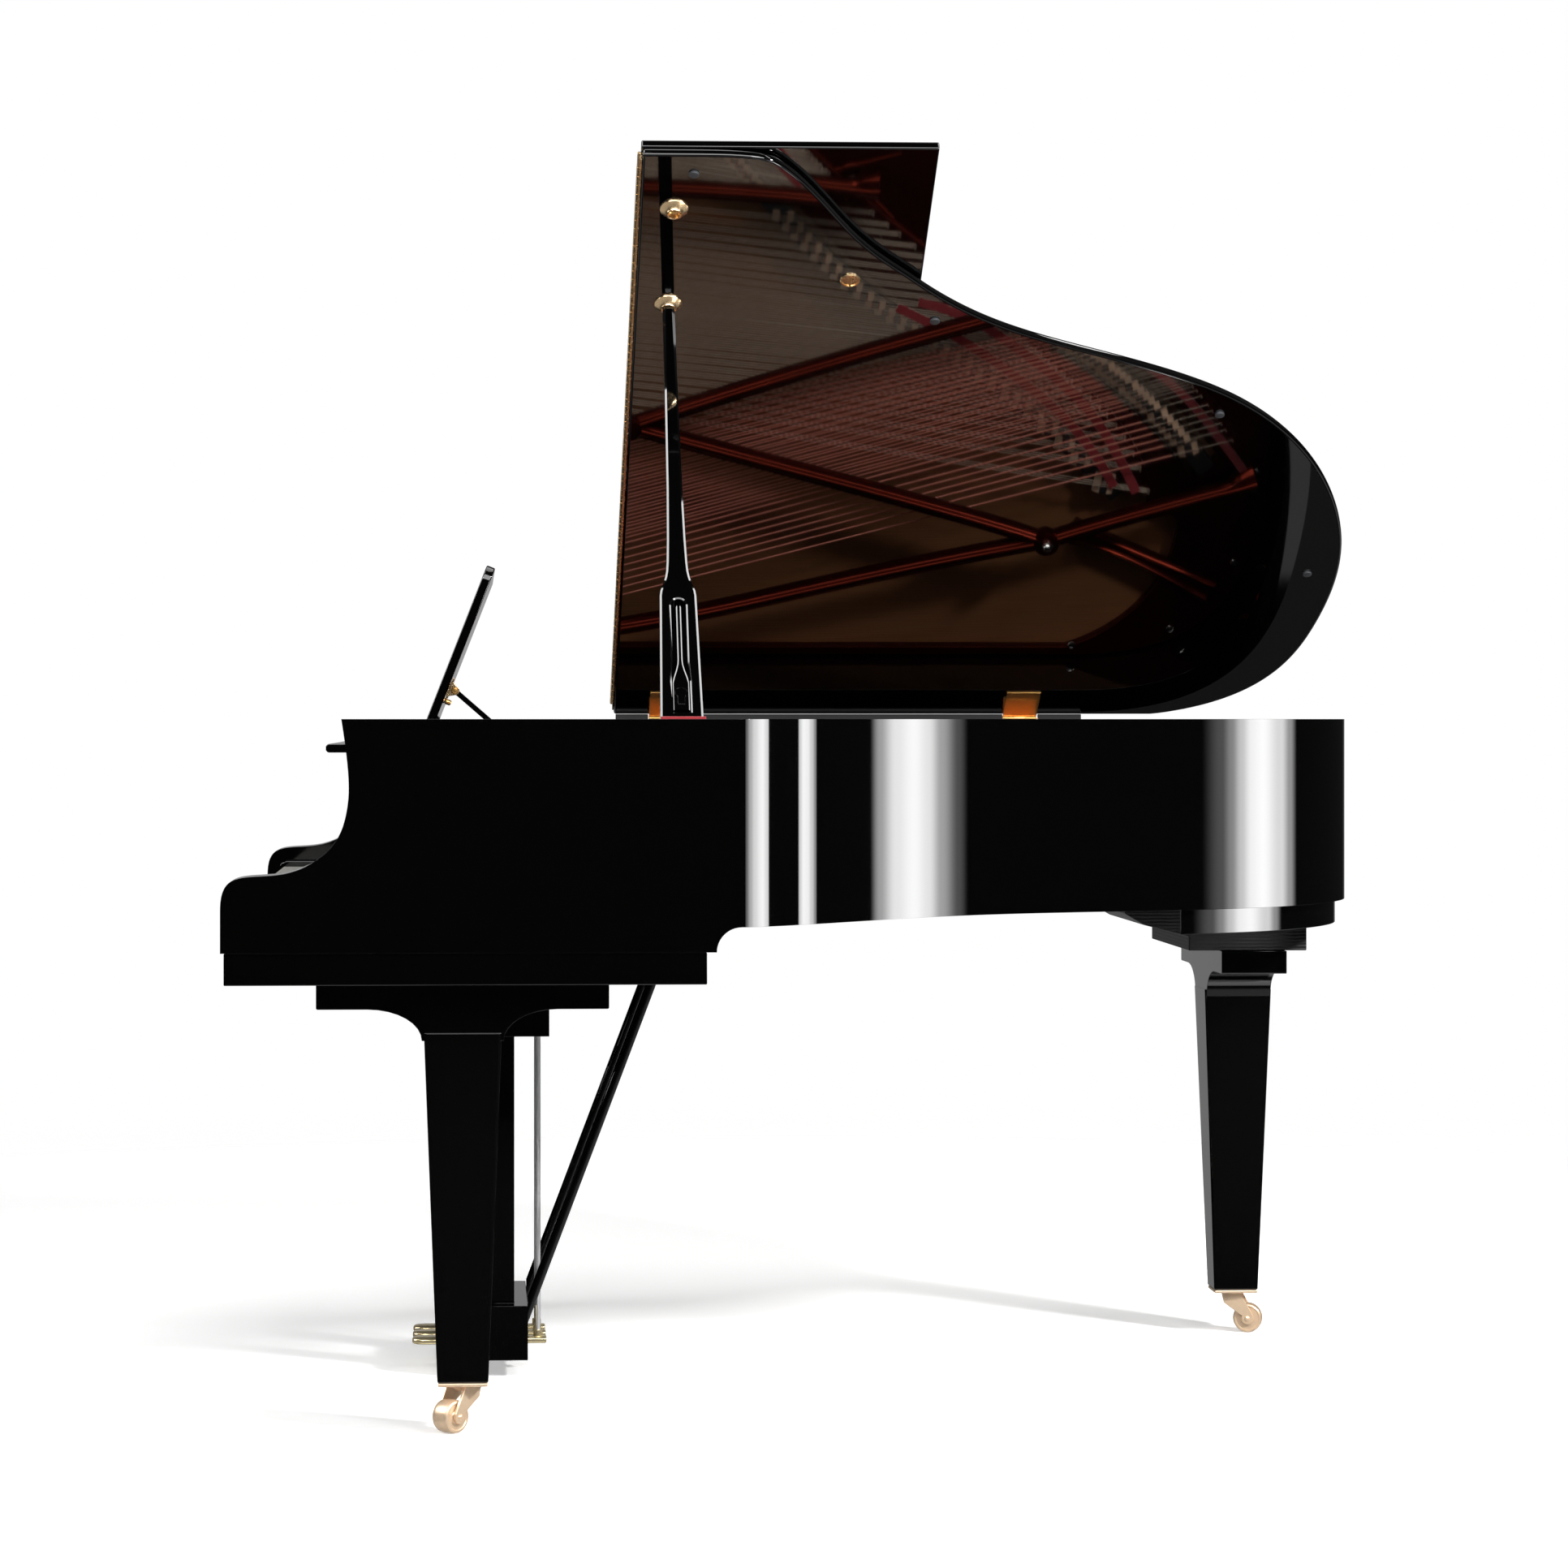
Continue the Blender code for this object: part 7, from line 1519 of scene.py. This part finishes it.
# Casters: cast brass, satin turned. A plate is screwed under each leg, and its stud carries a fork whose
# two cheeks hold a broad barrel wheel on a pin with domed ends.
CASTER_TOP = 0.070 - GAP
PLATE_SIZE, PLATE_THICKNESS = 0.068, 0.0045
TRAIL, WHEEL_RADIUS, WHEEL_HALF = 0.024, 0.023, 0.014
CHEEK, PLAY = 0.0045, 0.0012
CASTERS = {"treble": ((1.3866, 0.3273), -135), "bass": ((0.105, 0.3273), -60), "tail": ((0.445, 1.556), -12)}
caster_brass, tree, shader = material("satin_turned_cast_brass", Metallic=0.6)
place = node(tree, "ShaderNodeTexCoord")
cast = node(tree, "ShaderNodeTexNoise", {"Scale": 160.0, "Detail": 3.0}, Vector=(place, "Object"))
tone = node(tree, "ShaderNodeMixRGB", {"Color1": linear("F3D8BA"), "Color2": linear("E8CAA8")}, Fac=(cast, "Fac"))
tree.links.new(tone.outputs["Color"], shader.inputs["Base Color"])
satin = node(tree, "ShaderNodeMapRange", {"To Min": 0.30, "To Max": 0.40}, Value=(cast, "Fac"))
tree.links.new(satin.outputs["Result"], shader.inputs["Roughness"])
WHEEL_PROFILE = [(0.0050, -1.0), (0.0090, -1.0), (0.0098, -0.93), (0.0175, -0.93), (0.0185, -1.0), (0.0203, -1.0),
                 (0.0216, -0.94), (0.0225, -0.78), (0.0230, -0.40), (0.0230, 0.40), (0.0225, 0.78), (0.0216, 0.94),
                 (0.0203, 1.0), (0.0185, 1.0), (0.0175, 0.93), (0.0098, 0.93), (0.0090, 1.0), (0.0050, 1.0)]
for name, (spot, heading_degrees) in CASTERS.items():
    low = CASTER_TOP - PLATE_THICKNESS
    plate_mesh = box(around(spot[0], PLATE_SIZE), around(spot[1], PLATE_SIZE), (low, CASTER_TOP))
    caster_plate = rounded(object_from(f"caster_mount_{name}", plate_mesh, caster_brass), 0.0012, 2)
    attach(caster_plate, "case")
    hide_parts(f"caster_plate_{name}")
    stand = (Matrix.Translation(CASE_CORNER + Vector((*spot, 0)))
             @ Matrix.Rotation(math.radians(heading_degrees), 4, "Z"))
    top = low - GAP
    cone = turned(f"fork_cone_{name}", [(0.0205, top), (0.0208, top - 0.0012), (0.0110, top - 0.0070),
                                        (0.0100, top - 0.0085)], (0, 0), caster_brass, 32, stand)
    cheeks = bmesh.new()
    profile = [(-0.017, top - 0.0010), (0.0135, top - 0.0010), (TRAIL + 0.0085, WHEEL_RADIUS + 0.0060)]
    profile += [(TRAIL + 0.0090 * math.cos(a), WHEEL_RADIUS + 0.0090 * math.sin(a))
                for a in (math.radians(20 - 17 * i) for i in range(12))]
    profile += [(TRAIL - 0.0085, WHEEL_RADIUS + 0.0045), (-0.013, top - 0.0170)]
    for side in (-1, 1):
        near = side * (WHEEL_HALF + PLAY)
        prism(profile, min(near, near + side * CHEEK), max(near, near + side * CHEEK), "yz", cheeks)
    inner = WHEEL_HALF + PLAY + CHEEK / 2
    box((-inner, inner), (-0.016, 0.0115), (top - 0.0060, top - 0.0012), cheeks)
    fork = rounded(object_from(f"fork_cheeks_{name}", cheeks, caster_brass), 0.0008, 2, place=stand)
    caps = []
    for side in (-1, 1):
        out = Matrix.Translation((side * (inner + CHEEK / 2), TRAIL, WHEEL_RADIUS)) @ Matrix.Rotation(
            side * math.pi / 2, 4, "Y")
        caps.append(turned(f"axle_cap_{name}", [(0.0040, -0.0010), (0.0044, 0.0004), (0.0036, 0.0016), (0.0020, 0.0023),
                                                (0.0006, 0.0025)], (0, 0), caster_brass, 20, stand @ out))
    axle = turned(f"axle_{name}", [(0.0030, -inner), (0.0030, inner)], (0, 0), caster_brass, 16,
                  stand @ Matrix.Translation((0, TRAIL, WHEEL_RADIUS)) @ Matrix.Rotation(math.pi / 2, 4, "Y"))
    for piece in (cone, fork, axle, *caps):
        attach(piece, f"caster_fork_{name}")
        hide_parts(f"caster_fork_{name}")
    wheel = turned(f"barrel_wheel_{name}", [(r, WHEEL_HALF * share) for r, share in WHEEL_PROFILE], (0, 0),
                   caster_brass, 48,
                   stand @ Matrix.Translation((0, TRAIL, WHEEL_RADIUS)) @ Matrix.Rotation(math.pi / 2, 4, "Y"))
    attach(wheel, f"caster_wheel_{name}")
    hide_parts(f"caster_wheel_{name}")

# Tail leg's block: glued up of boards, sawn to a cove in front and painted black, with the saw's fine
# ridges left under the paint.
ribbed, tree, shader = material("sawn_black_painted_beech", Roughness=0.42)
place = node(tree, "ShaderNodeTexCoord")
tone_noise = node(tree, "ShaderNodeTexNoise", {"Scale": 60.0, "Detail": 3.0}, Vector=(place, "Object"))
tone = node(tree, "ShaderNodeMixRGB", {"Color1": linear("070708"), "Color2": linear("111112")}, Fac=(tone_noise, "Fac"))
tree.links.new(tone.outputs["Color"], shader.inputs["Base Color"])
ridges = node(tree, "ShaderNodeTexWave", {"bands_direction": "Z", "Scale": 60.0, "Distortion": 1.5, "Detail": 2.0},
              Vector=(place, "Object"))
relief = node(tree, "ShaderNodeBump", {"Strength": 0.5, "Distance": 0.0006}, Height=(ridges, "Color"))
tree.links.new(relief.outputs["Normal"], shader.inputs["Normal"])
block = rounded(copy_of("tail_leg_cove", "tail_leg_block", ribbed), 0.0015, 2, place=Matrix())
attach(block, "case")
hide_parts("tail_leg_block")
